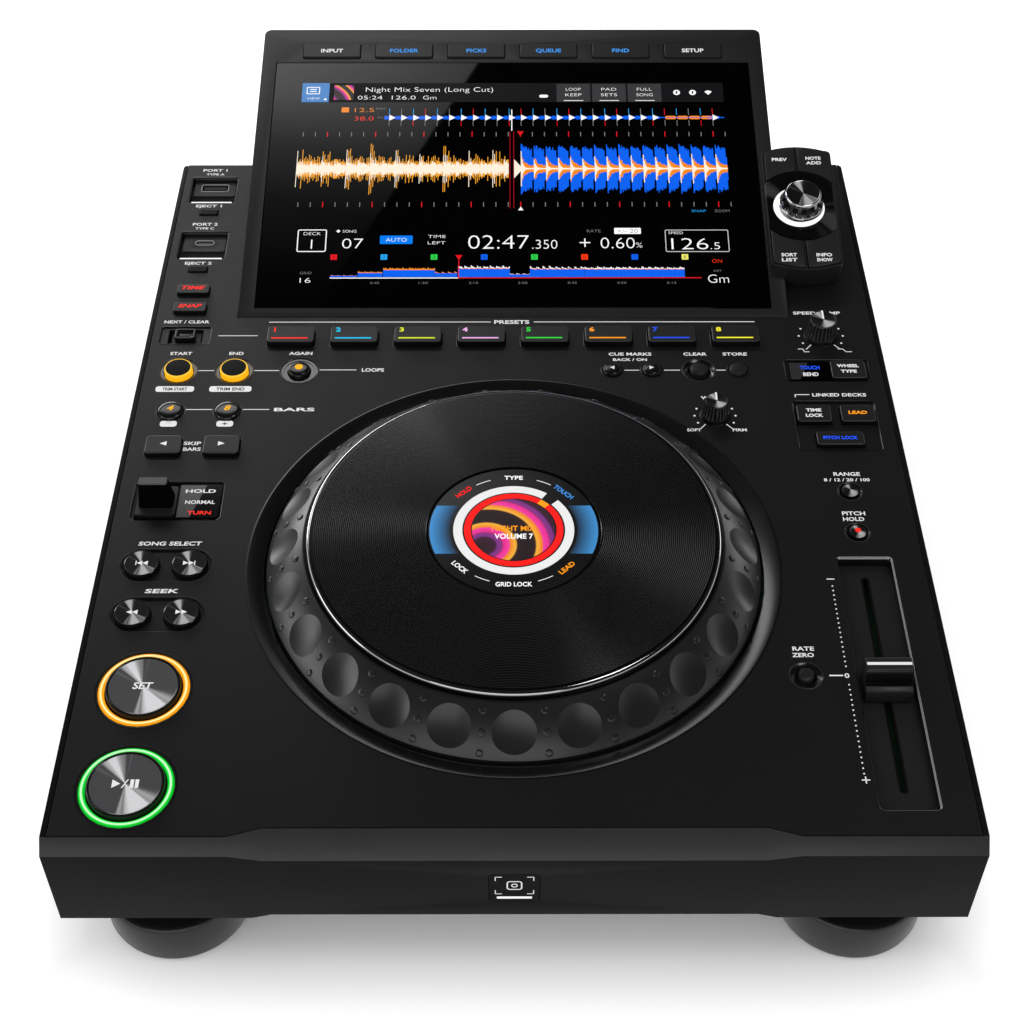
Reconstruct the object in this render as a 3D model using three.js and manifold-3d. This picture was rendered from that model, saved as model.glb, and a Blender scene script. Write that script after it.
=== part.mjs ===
// A tabletop media player for disc jockeys, in millimetres, with Z up.
// The deck frame has its origin in the middle of the deck's front edge, on the deck's top face,
// with X to the right and Y to the back. The whole is then placed so that its origin lies
// under the middle of its outline, at the level of the table.
import * as THREE from "three";
import { ConvexGeometry } from "three/addons/geometries/ConvexGeometry.js";
import { mergeVertices } from "three/addons/utils/BufferGeometryUtils.js";
import Module from "manifold-3d";

const wasm = await Module();
wasm.setup();

// Case: side walls, front fascia and the rim round the deck
const caseWidth = 329;
const caseHalf = caseWidth / 2;
const caseHeight = 45.3;
const rimWidth = 2;
const rearCornerRadius = 2.5;
const fasciaReach = 4.9;
const fasciaDrop = 4.9;
const browReach = 3.5;
const browDrop = 7.6;
const browSideMargin = 76.5;
const browHalfWidth = caseHalf - browSideMargin;
const browRamp = 12;
const chinRaise = 2.3;
const chinHalfWidth = browHalfWidth;
const chinRamp = 7;
const ledgeWidth = 1.2;
const frontLedgeWidth = 3;
const ledgeThickness = 2;

// Clearances shared by all pieces
const seatGap = 0.3;
const overrun = 5;
const weldDistance = 1e-3;

// Deck plate
const panelThickness = 2.5;
const bayDepth = 0.8;

// Columns of the controls, measured in from the sides of the case
const outerInset = 17.1;
const columnPitch = 24.5;
const transportInset = 27;
const rightInset = 26.1;
const outerColumn = caseHalf - outerInset;
const innerColumn = outerColumn - columnPitch;
const transportColumn = caseHalf - transportInset;
const rightColumn = caseHalf - rightInset;
const transportHalfPitch = 9.5;

// Rows of the controls at the left, each a step behind the one before it, up to the rear edge
const playRow = 20.9;
const playToCue = 43.7;
const cueToSearch = 36.3;
const searchToTrack = 25.4;
const trackToLever = 35.5;
const leverToBeatJump = 31.4;
const beatJumpToBeatLoop = 22.3;
const beatLoopToLoop = 26.2;
const loopToToggle = 23.7;
const toggleToSource = 18;
const sourcePitch = 13;
const sourceToStop = 16.1;
const stopKeyOffset = 18.5;
const usbPitch = 44;
const usbRearMargin = 21;
const cueRow = playRow + playToCue;
const searchRow = cueRow + cueToSearch;
const trackRow = searchRow + searchToTrack;
const leverRow = trackRow + trackToLever;
const beatJumpRow = leverRow + leverToBeatJump;
const beatLoopRow = beatJumpRow + beatJumpToBeatLoop;
const loopRow = beatLoopRow + beatLoopToLoop;
const toggleRow = loopRow + loopToToggle;
const sourceRow = toggleRow + toggleToSource + sourcePitch;
const usbRow = sourceRow + sourceToStop + stopKeyOffset + usbPitch;
const deckDepth = usbRow + usbRearMargin;

// Steel tray with the rear panel
const trayThickness = 2;
const trayInset = 2;
const bossRadius = 4;
const bossInset = 11;
const bossFrontY = 22;
const bossRearMargin = 18;
const bossRearY = deckDepth - bossRearMargin;
const bossMiddleY = (bossFrontY + bossRearY) / 2;

// Sockets in the rear panel
const socketDrop = 24;
const socketWall = 1.2;
const mainsInset = 46.5;
const mainsInlet = { x: mainsInset - caseHalf, width: 24.4, height: 16.4, depth: 15 };
const networkSocket = { x: 48, width: 12, height: 9, depth: 14 };
const dataSocket = { x: 82, width: 9, height: 8, depth: 12 };
const phonoFirstX = -44;
const phonoPitch = 20;
const phonoCount = 3;
const phonoRadius = 4.2;
const phonoBore = 1.7;
const phonoLength = 9;
const phonoCollarRadius = 6.5;
const phonoCollar = 1.5;

// Feet
const standHeight = 31.7;
const footRadius = 28;
const footHeight = 22;
const footChamfer = 2;
const footNeckRadius = 20;
const footInset = 36.5;
const footX = caseHalf - footInset;
const frontFootY = 23.1;
const rearFootMargin = 51;
const rearFootY = deckDepth - rearFootMargin;

// Keys: travel, the collar that holds a key under the deck, and the stem that works its switch
const keyTravel = 0.8;
const keyChamfer = 0.6;
const collarLip = 1.2;
const collarThickness = 1.2;
const stemSize = 3;

// USB bays with their stop keys, at the left
const usbBay = { width: 22.4, depth: 21, floor: 3.5 };
const hostPort = { width: 12.6, depth: 5, length: 16 };
const smallPort = { width: 9, depth: 3.2, length: 9 };
const usbPorts = [hostPort, smallPort];
const usbPortOffset = 5.2;
const usbWall = 1.5;
const stopKey = { width: 8.7, depth: 4, rise: 1 };
const stopWebWidth = 5;

// Circuit board with its power supply and parts
const boardTop = 12;
const boardThickness = 1.6;
const boardMargin = 4;
const boardHubHole = 24;
const supplyWidth = 96;
const supplyDepth = 74;
const supplyFloorGap = 5.7;
const supplyHeight = caseHeight - trayInset - trayThickness - boardTop - boardThickness - supplyFloorGap;
const supplyGap = 6.7;
const supplyRearMargin = 58;
const supplyX = -(outerColumn - usbBay.width / 2 - usbWall - supplyGap - supplyWidth / 2);
const supplyY = deckDepth - supplyRearMargin;
const chipSize = 24;
const chipHeight = 5;
const chipX = 60;
const chipRearMargin = 96;
const chipY = deckDepth - chipRearMargin;

// Source keys and the call toggle, at the left
const sourceKey = { width: 14.6, depth: 6, rise: 2 };
const toggleBay = { width: 22.4, depth: 12 };
const toggleNub = { width: 8.8, depth: 8.6, rise: 3 };
const toggleTravel = 3;
const togglePlateLip = 2;

// Hot cue keys, in front of the display, spread over the room beside the toggle
const hotCueLetters = "abcdefgh";
const toggleToHotCue = 2.3;
const hotCueRow = toggleRow - toggleToHotCue;
const hotCueMargin = 26.16;
const hotCueGap = 7.44;
const hotCueSpan = 2 * (outerColumn - toggleBay.width / 2 - hotCueMargin);
const hotCuePitch = (hotCueSpan + hotCueGap) / hotCueLetters.length;
const hotCueKey = { width: hotCuePitch - hotCueGap, depth: 10.6, rise: 3 };

// Loop, beat loop, beat jump and memory keys
const loopKey = { radius: 6.3, rise: 1.8, well: 8.1 };
const exitPitch = 28.6;
const exitX = innerColumn - exitPitch;
const beatLoopRadius = 5.5;
const beatJumpKey = { width: 15, depth: 10.7, rise: 2.1 };
const memoryPitch = 39.4;
const deletePitch = 17.2;
const deleteToCall = 20.8;
const callPitch = 17.4;
const memoryX = rightColumn - memoryPitch;
const deleteX = memoryX - deletePitch;
const callFirstX = deleteX - deleteToCall - callPitch;
const callRadius = 4.1;
const deleteRadius = 4.6;
const deleteWell = 7;
const buttonRise = 1.5;

// Direction lever, at the left
const leverBay = { width: 36.6, depth: 21.4 };
const leverOffset = 8.4;
const leverX = transportColumn + leverOffset;
const leverTop = { width: 11.6, depth: 4.2, rise: 12 };
const leverFoot = { width: 16.2, depth: 16.6, rise: 0.4, thickness: 4 };
const leverRoot = { width: 14, depth: 9 };
const leverPivotDrop = 8;
const leverPinRadius = 1.6;
const leverHubRadius = 3.6;
const leverCheek = 2.4;
const leverSlotDepth = 20.6;

// Search, cue and play keys, at the left
const searchRadius = 7;
const searchRise = 1.6;
const searchBayRadius = 8.4;
const cueRadius = 14;
const cueRise = 2.2;
const cueWell = 17.3;

// Jog mode and sync keys, at the right
const loopToMode = 0.3;
const modeRow = loopRow - loopToMode;
const modeBay = { width: 36.7, depth: 14 };
const modeKey = { width: 15.2, depth: 11.4, rise: 0.9 };
const modeKeyOffset = 9.2;
const modeToSync = 35.2;
const syncBayRow = modeRow - modeToSync;
const syncBay = { width: 35.1, depth: 30.5 };
const syncRise = 6.5;
const syncRow = syncBayRow + syncRise;
const syncHalfPitch = 9.4;
const syncKey = { width: 14.5, depth: 10.2, rise: 1.3 };
const keySyncDrop = 8.9;
const keySyncRow = syncBayRow - keySyncDrop;
const keySyncKey = { width: 20, depth: 7.7, rise: 1.3 };

// Tempo fader with its buttons, at the right
const faderOffset = 0.65;
const faderX = rightColumn + faderOffset;
const faderBayFrontY = 10.8;
const syncToRange = 39.4;
const rangeToMaster = 23.1;
const masterToFader = 13.4;
const rangeRow = syncBayRow - syncToRange;
const masterRow = rangeRow - rangeToMaster;
const faderBayRearY = masterRow - masterToFader;
const faderBay = { width: 21.8, depth: faderBayRearY - faderBayFrontY, floor: 5 };
const faderFloor = 2.2;
const faderWall = 1.5;
const faderSlotFrontMargin = 11.1;
const faderSlotRearMargin = 7.4;
const faderSlot = {
  width: 3.2,
  depth: faderBay.depth - faderSlotFrontMargin - faderSlotRearMargin,
  frontY: faderBayFrontY + faderSlotFrontMargin,
};
const faderStem = { width: 2.4, depth: 5 };
const faderRestDrop = 0.4;
const faderStemY = faderSlot.frontY + faderSlot.depth / 2 - faderRestDrop;
const faderCap = { width: 17.6, front: 12.9, rear: 1.8 };
const faderRidge = { front: 5, rise: 8 };
const faderPadRise = 2;
const faderSkirtGap = 0.5;
const faderShoe = { width: 9, depth: 12, thickness: 1.2 };
const tempoWell = 4.8;
const tempoRadius = 3.4;
const resetOffset = 29.2;
const resetX = rightColumn - resetOffset;
const resetRow = (faderBayFrontY + faderBayRearY) / 2;
const resetWell = 6;
const resetRadius = 3.6;

// Knobs on the deck
const modeToSpeed = 23.3;
const speedKnobRow = modeRow + modeToSpeed;
const speedKnobRadius = 6.8;
const speedKnobTop = 6;
const speedKnobHeight = 9.8;
const jogKnobOffset = 51.8;
const jogKnobX = rightColumn - jogKnobOffset;
const loopToJogKnob = 29.3;
const jogKnobRow = loopRow - loopToJogKnob;
const jogKnobRadius = 5.8;
const jogKnobTop = 4.9;
const jogKnobHeight = 9;
const knobShaftRadius = 3;
const knobShaftLength = 8;
const knobPointer = 0.9;

// Jog wheel, as wide as the room between the columns at the sides and the rows behind allows
const wellSideMargin = 14.1;
const wellFrontMargin = 24.3;
const wellRearMargin = 6.4;
const wellRoomAcross = transportColumn - transportHalfPitch - searchBayRadius - wellSideMargin;
const wellRoomAlong = (loopRow - wellRearMargin - wellFrontMargin) / 2;
const wellRadius = Math.min(wellRoomAcross, wellRoomAlong);
const jogY = wellFrontMargin + wellRoomAlong;
const jogSides = 48;
const wellBevelWidth = 6.2;
const wellThroat = wellRadius - wellBevelWidth;
const wellBevelDrop = 1.6;
const jogRingClearance = 1.6;
const jogRingRadius = wellThroat - jogRingClearance;
const jogRingSkirt = 8;
const jogRingEdgeDrop = 0.6;
const jogRingRun = 15.1;
const jogRingTopRadius = jogRingRadius - jogRingRun;
const jogRingTopRise = 13.9;
const jogShoulderRun = 7.1;
const jogShoulderRadius = jogRingRadius - jogShoulderRun;
const jogShoulderRise = 7.8;
const jogWebDrop = 5.5;
const dimpleCount = 24;
const dimpleRadius = 8.3;
const dimpleDepth = 1.7;
const dimpleSides = 12;
const dimpleAlongShare = 0.5;
const platterGap = 1.6;
const platterRadius = jogRingTopRadius - platterGap;
const platterBevel = 1.7;
const platterTopRadius = platterRadius - platterBevel;
const platterTopRise = 17.1;
const platterEdgeRise = 15.6;
const platterSkirtRise = 12;
const platterSkirtWidth = 2.5;
const platterThickness = 2.2;
const platterTravel = 0.5;
const hubDiscRadius = 33.6;
const hubDiscRise = 16.9;
const hubDiscUnder = 12.6;
const hubDiscGap = 0.5;
const hubShaftRadius = 12;
const hubPostRadius = 15;
const hubStepDrop = 16;
const hubFlangeRadius = 40;
const hubFlangeThickness = 3;
const jogSleeveRadius = 17;
const platterSleeveGap = 3.4;
const platterSleeveWall = 3;
const platterSleeveInner = hubDiscRadius + platterSleeveGap;
const platterSleeveOuter = platterSleeveInner + platterSleeveWall;

// Display: a tilted wedge with a glass front, menu keys above it and the selector pod at its right
const displayTilt = THREE.MathUtils.degToRad(13);
const hotCueToDisplay = 14.8;
const displayFrontY = hotCueRow + hotCueToDisplay;
const displaySideGap = 10.9;
const displayHalfWidth = outerColumn - usbBay.width / 2 - displaySideGap;
const displayLength = 181.8;
const displayRearHeight = 17;
const displaySeatDepth = 1.5;
const displayUndersideMargin = 2;
const displayUndersideY = deckDepth - displayUndersideMargin;
const displayCornerRadius = 3.5;
const glassSideMargin = 7.1;
const glassHalfWidth = displayHalfWidth - glassSideMargin;
const glassFront = 4.8;
const glassRearMargin = 22.9;
const glassRear = displayLength - glassRearMargin;
const glassThickness = 1.1;
const screenModuleThickness = 3;
const screenModuleMargin = 3;
const displayWall = 2.5;
const hollowFront = 26;
const hollowMargin = 2.7;
const menuRearMargin = 15.4;
const menuRow = displayLength - menuRearMargin;
const menuCount = 6;
const menuEndMargin = 20.45;
const menuGapWidth = 7.74;
const menuPitch = (2 * (displayHalfWidth - menuEndMargin) + menuGapWidth) / menuCount;
const menuKey = { width: menuPitch - menuGapWidth, depth: 9, rise: 0.8 };
const menuWall = 2;
const menuWeb = 1.5;

// Selector pod
const podOverhang = 10;
const podX = displayHalfWidth + podOverhang;
const podHalfWidth = 16.5;
const podFront = 21.6;
const podLength = 74.6;
const podRear = podFront + podLength;
const podArch = 2.4;
const podCornerRadius = 3;
const podRise = 7;
const podKeyRise = 0.8;
const podKeyLength = 4.3;
const podKeyGapHalf = 0.4;
const podRimWidth = 1.1;
const selectorSideShift = 0.4;
const selectorRearShift = 0.5;
const selectorX = podX - selectorSideShift;
const selectorY = (podFront + podRear) / 2 + selectorRearShift;
const selectorPlateRadius = 21;
const selectorShaftRadius = 3;
const selectorShaftDepth = 10.5;
const selectorShaftReach = 5.5;
const selectorKnobBase = 9.6;
const selectorKnobTop = 7.8;
const selectorKnobHeight = 8;
const selectorFlutes = 12;
const selectorFluteDepth = 0.7;
const selectorKnobSides = 48;

// Numbers of sides of the turned pieces
const smallSides = 16;
const buttonSides = 20;
const cueSides = 28;
const footSides = 24;
const cornerSteps = 3;
const triangleCorners = 3;

// Finishes
const finish = {
  deck: new THREE.MeshStandardMaterial({ color: 0x232323, roughness: 0.72, metalness: 0 }),
  case: new THREE.MeshStandardMaterial({ color: 0x2b2b2b, roughness: 0.6, metalness: 0 }),
  steel: new THREE.MeshStandardMaterial({ color: 0x1d1d1f, roughness: 0.5, metalness: 0.4 }),
  glass: new THREE.MeshStandardMaterial({ color: 0x060607, roughness: 0.06, metalness: 0 }),
  key: new THREE.MeshStandardMaterial({ color: 0x1a1a1b, roughness: 0.55, metalness: 0 }),
  rubber: new THREE.MeshStandardMaterial({ color: 0x1c1c1d, roughness: 0.62, metalness: 0 }),
  platter: new THREE.MeshStandardMaterial({ color: 0x101011, roughness: 0.35, metalness: 0.7 }),
  spun: new THREE.MeshStandardMaterial({ color: 0x8d8f92, roughness: 0.28, metalness: 1 }),
  darkSpun: new THREE.MeshStandardMaterial({ color: 0x3b3c3e, roughness: 0.3, metalness: 1 }),
  board: new THREE.MeshStandardMaterial({ color: 0x1f4a2c, roughness: 0.6, metalness: 0 }),
  hub: new THREE.MeshStandardMaterial({ color: 0x0b0b0c, roughness: 0.12, metalness: 0 }),
  foot: new THREE.MeshStandardMaterial({ color: 0x161617, roughness: 0.35, metalness: 0.5 }),
};

// Solids from geometries, and back

function toSolid(geometry) {
  const bare = geometry.clone();
  bare.deleteAttribute("normal");
  bare.deleteAttribute("uv");
  const merged = mergeVertices(bare, weldDistance);
  const corners = merged.index.array;
  const kept = [];
  for (let i = 0; i < corners.length; i += triangleCorners) {
    const [a, b, c] = corners.slice(i, i + triangleCorners);
    if (a !== b && b !== c && c !== a) kept.push(a, b, c);
  }
  return new wasm.Manifold(
    new wasm.Mesh({
      numProp: 3,
      vertProperties: merged.attributes.position.array,
      triVerts: new Uint32Array(kept),
    }),
  );
}

function toMesh(name, solid, material) {
  const data = solid.getMesh();
  const geometry = new THREE.BufferGeometry();
  geometry.setAttribute("position", new THREE.BufferAttribute(data.vertProperties, data.numProp));
  geometry.setIndex(new THREE.BufferAttribute(data.triVerts, 1));
  geometry.computeVertexNormals();
  const mesh = new THREE.Mesh(geometry, material);
  mesh.name = name;
  return mesh;
}

function joined(solids) {
  return solids.reduce((whole, next) => whole.add(next));
}

function without(solid, cuts) {
  return cuts.reduce((whole, cut) => whole.subtract(cut), solid);
}

// A block between two levels, centred on x and y
function block(width, depth, low, high, x = 0, y = 0) {
  const geometry = new THREE.BoxGeometry(width, depth, high - low);
  return toSolid(geometry.translate(x, y, (low + high) / 2));
}

// A solid turned about Z from pairs of radius and level
function turned(profile, sides, x = 0, y = 0) {
  const points = profile.map(([radius, level]) => new THREE.Vector2(radius, level));
  const closed = points[0].x > 0 || points.at(-1).x > 0;
  if (THREE.ShapeUtils.area(points) < 0) points.reverse();
  if (closed) points.push(points[0].clone());
  const geometry = new THREE.LatheGeometry(points, sides).rotateX(Math.PI / 2);
  return toSolid(geometry.translate(x, y, 0));
}

function disc(radius, low, high, sides, x = 0, y = 0) {
  return turned([[0, low], [radius, low], [radius, high], [0, high]], sides, x, y);
}

// An outline in X and Y raised between two levels
function prism(shape, low, high, steps = cornerSteps) {
  const geometry = new THREE.ExtrudeGeometry(shape, {
    depth: high - low,
    bevelEnabled: false,
    curveSegments: steps,
  });
  return toSolid(geometry.translate(0, 0, low));
}

function outline(points) {
  return new THREE.Shape(points.map(([x, y]) => new THREE.Vector2(x, y)));
}

// A bar along X whose section is given in Y and Z
function bar(points, left, right) {
  const axes = new THREE.Matrix4().makeBasis(
    new THREE.Vector3(0, 1, 0),
    new THREE.Vector3(0, 0, 1),
    new THREE.Vector3(1, 0, 0),
  );
  const geometry = new THREE.ExtrudeGeometry(outline(points), {
    depth: right - left,
    bevelEnabled: false,
  });
  return toSolid(geometry.applyMatrix4(axes).translate(left, 0, 0));
}

// A block whose top edge is chamfered
function cappedBlock(width, depth, low, high, chamfer) {
  const x = width / 2 - chamfer;
  const y = depth / 2 - chamfer;
  const geometry = new THREE.ExtrudeGeometry(outline([[-x, -y], [x, -y], [x, y], [-x, y]]), {
    depth: high - low - 2 * chamfer,
    bevelSize: chamfer,
    bevelThickness: chamfer,
    bevelSegments: 1,
  });
  return toSolid(geometry.translate(0, 0, low + chamfer));
}

// Levels that the keys share: collar under the deck plate, stem down to the board
const collarTop = -panelThickness - seatGap;
const collarBottom = collarTop - collarThickness;
const stemBottom = -boardTop + keyTravel + seatGap;

function blockKey({ width, depth, rise }) {
  const lip = 2 * collarLip;
  return joined([
    cappedBlock(width, depth, collarBottom + keyChamfer, rise, keyChamfer),
    block(width + lip, depth + lip, collarBottom, collarTop),
    block(stemSize, stemSize, stemBottom, collarTop),
  ]);
}

function roundKey(radius, rise, sides) {
  const lip = radius + collarLip;
  const stem = stemSize / 2;
  return turned(
    [
      [0, stemBottom],
      [stem, stemBottom],
      [stem, collarBottom],
      [lip, collarBottom],
      [lip, collarTop],
      [radius, collarTop],
      [radius, rise - keyChamfer],
      [radius - keyChamfer, rise],
      [0, rise],
    ],
    sides,
  );
}

// The controls that press straight down, with their places on the deck

const hotCueKeys = [...hotCueLetters].map((letter, i) => ({
  name: `hot_cue_key_${letter}`,
  x: (i - (hotCueLetters.length - 1) / 2) * hotCuePitch,
  y: hotCueRow,
  ...hotCueKey,
}));

const blockKeys = [
  ...hotCueKeys,
  { name: "source_key_rear", x: -outerColumn, y: sourceRow, ...sourceKey },
  { name: "source_key_front", x: -outerColumn, y: sourceRow - sourcePitch, ...sourceKey },
  { name: "beat_jump_back_key", x: -outerColumn, y: beatJumpRow, ...beatJumpKey },
  { name: "beat_jump_forward_key", x: -innerColumn, y: beatJumpRow, ...beatJumpKey },
  { name: "jog_mode_key", x: rightColumn + modeKeyOffset, y: modeRow, ...modeKey },
  { name: "beat_sync_key", x: rightColumn - syncHalfPitch, y: syncRow, ...syncKey },
  { name: "sync_master_key", x: rightColumn + syncHalfPitch, y: syncRow, ...syncKey },
  { name: "key_sync_key", x: rightColumn, y: keySyncRow, ...keySyncKey },
];

const roundKeys = [
  { name: "loop_in_button", x: -outerColumn, y: loopRow, ...loopKey },
  { name: "loop_out_button", x: -innerColumn, y: loopRow, ...loopKey },
  { name: "loop_exit_button", x: -exitX, y: loopRow, ...loopKey },
  { name: "beat_loop_short_button", x: -outerColumn, y: beatLoopRow, radius: beatLoopRadius },
  { name: "beat_loop_long_button", x: -innerColumn, y: beatLoopRow, radius: beatLoopRadius },
  { name: "call_back_button", x: callFirstX, y: loopRow, radius: callRadius },
  { name: "call_forward_button", x: callFirstX + callPitch, y: loopRow, radius: callRadius },
  { name: "delete_button", x: deleteX, y: loopRow, radius: deleteRadius, well: deleteWell },
  { name: "memory_button", x: memoryX, y: loopRow, radius: callRadius },
  { name: "tempo_range_button", x: rightColumn, y: rangeRow, radius: tempoRadius, well: tempoWell },
  { name: "master_tempo_button", x: rightColumn, y: masterRow, radius: tempoRadius, well: tempoWell },
  { name: "tempo_reset_button", x: resetX, y: resetRow, radius: resetRadius, well: resetWell },
];

const searchKeys = [
  { name: "track_back_button", x: -transportColumn - transportHalfPitch, y: trackRow },
  { name: "track_forward_button", x: -transportColumn + transportHalfPitch, y: trackRow },
  { name: "search_back_button", x: -transportColumn - transportHalfPitch, y: searchRow },
  { name: "search_forward_button", x: -transportColumn + transportHalfPitch, y: searchRow },
];

const cueKeys = [
  { name: "cue_button", x: -transportColumn, y: cueRow },
  { name: "play_button", x: -transportColumn, y: playRow },
];

const knobs = [
  {
    name: "speed_adjust_knob",
    x: rightColumn,
    y: speedKnobRow,
    radius: speedKnobRadius,
    top: speedKnobTop,
    height: speedKnobHeight,
  },
  {
    name: "jog_adjust_knob",
    x: jogKnobX,
    y: jogKnobRow,
    radius: jogKnobRadius,
    top: jogKnobTop,
    height: jogKnobHeight,
  },
];

const usbRows = [usbRow, usbRow - usbPitch];

// The outline that the deck plate and the case's cavity share, drawn in by an inset
function deckOutline(inset, rear) {
  const side = caseHalf - rimWidth - inset;
  const brow = browReach + inset;
  return outline([
    [-side, inset],
    [-browHalfWidth - browRamp, inset],
    [-browHalfWidth, brow],
    [browHalfWidth, brow],
    [browHalfWidth + browRamp, inset],
    [side, inset],
    [side, rear],
    [-side, rear],
  ]);
}

function deckPanel() {
  const under = -panelThickness;
  const over = under - overrun;
  const plate = prism(deckOutline(seatGap, deckDepth), under, 0);

  // Blocks under the plate that hold the USB ports, the fader's floor and the lever's pivot
  const usbBlocks = usbRows.map((y, i) =>
    block(
      usbBay.width + 2 * usbWall,
      usbBay.depth + 2 * usbWall,
      -usbBay.floor - usbPorts[i].length - usbWall,
      under,
      -outerColumn,
      y,
    ),
  );
  const faderY = (faderBayFrontY + faderBayRearY) / 2;
  const faderBottom = -faderBay.floor - faderFloor;
  const faderBlock = block(
    faderBay.width + 2 * faderWall,
    faderBay.depth + 2 * faderWall,
    faderBottom,
    under,
    faderX,
    faderY,
  );
  const pivotOuter = leverFoot.width / 2 + seatGap + leverCheek / 2;
  const cheeks = [-pivotOuter, pivotOuter].map((side) =>
    block(
      leverCheek,
      leverRoot.depth,
      seatGap - boardTop,
      under,
      -leverX + side,
      leverRow,
    ),
  );
  const pinReach = pivotOuter + leverCheek / 2 + overrun;
  const pinHole = disc(leverPinRadius + seatGap, -pinReach, pinReach, smallSides);
  const pinBore = pinHole.rotate([0, 90, 0]).translate([-leverX, leverRow, -leverPivotDrop]);

  // Bays sunk in the plate
  const bays = [
    block(toggleBay.width, toggleBay.depth, -bayDepth, overrun, -outerColumn, toggleRow),
    block(leverBay.width, leverBay.depth, -bayDepth, overrun, -transportColumn, leverRow),
    block(modeBay.width, modeBay.depth, -bayDepth, overrun, rightColumn, modeRow),
    block(syncBay.width, syncBay.depth, -bayDepth, overrun, rightColumn, syncBayRow),
    block(faderBay.width, faderBay.depth, -faderBay.floor, overrun, faderX, faderY),
    ...usbRows.map((y) => block(usbBay.width, usbBay.depth, -usbBay.floor, overrun, -outerColumn, y)),
    ...[trackRow, searchRow].map((y) => searchBayCut(y)),
    ...roundKeys
      .filter((key) => key.well)
      .map((key) => disc(key.well, -bayDepth, overrun, buttonSides, key.x, key.y)),
    ...cueKeys.map((key) => disc(cueWell, -bayDepth, overrun, cueSides, key.x, key.y)),
    block(
      2 * (displayHalfWidth + seatGap),
      deckDepth - displayFrontY + seatGap + overrun,
      -displaySeatDepth,
      overrun,
      0,
      (deckDepth + displayFrontY - seatGap + overrun) / 2,
    ),
  ];

  // Openings right through
  const gap = 2 * seatGap;
  const stemHole = knobShaftRadius + seatGap;
  const openings = [
    ...blockKeys.map((key) => block(key.width + gap, key.depth + gap, over, overrun, key.x, key.y)),
    ...roundKeys.map((key) => disc(key.radius + seatGap, over, overrun, buttonSides, key.x, key.y)),
    ...searchKeys.map((key) => disc(searchRadius + seatGap, over, overrun, buttonSides, key.x, key.y)),
    ...cueKeys.map((key) => disc(cueRadius + seatGap, over, overrun, cueSides, key.x, key.y)),
    ...knobs.map((knob) => disc(stemHole, over, overrun, smallSides, knob.x, knob.y)),
    ...usbRows.map((y) =>
      block(stopKey.width + gap, stopKey.depth + gap, over, overrun, -outerColumn, y - stopKeyOffset),
    ),
    ...usbRows.map((y, i) =>
      block(
        usbPorts[i].width,
        usbPorts[i].depth,
        -usbBay.floor - usbPorts[i].length,
        overrun,
        -outerColumn,
        y + usbPortOffset,
      ),
    ),
    block(
      toggleNub.width + gap + 2 * toggleTravel,
      toggleNub.depth + gap,
      over,
      overrun,
      -outerColumn,
      toggleRow,
    ),
    block(leverFoot.width + gap, leverSlotDepth, over, overrun, -leverX, leverRow),
    block(
      faderSlot.width,
      faderSlot.depth,
      faderBottom - overrun,
      overrun,
      faderX,
      faderSlot.frontY + faderSlot.depth / 2,
    ),
    turned(
      [
        [0, over],
        [wellThroat, over],
        [wellThroat, -wellBevelDrop],
        [wellRadius, 0],
        [wellRadius, overrun],
        [0, overrun],
      ],
      jogSides,
      0,
      jogY,
    ),
    pinBore,
  ];
  return without(joined([plate, ...usbBlocks, faderBlock, ...cheeks]), [...bays, ...openings]);
}

function searchBayCut(y) {
  const shape = new THREE.Shape();
  const left = -transportColumn - transportHalfPitch;
  const right = -transportColumn + transportHalfPitch;
  shape.absarc(right, y, searchBayRadius, -Math.PI / 2, Math.PI / 2);
  shape.absarc(left, y, searchBayRadius, Math.PI / 2, (3 * Math.PI) / 2);
  return prism(shape, -bayDepth, overrun, buttonSides / 2);
}

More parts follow.
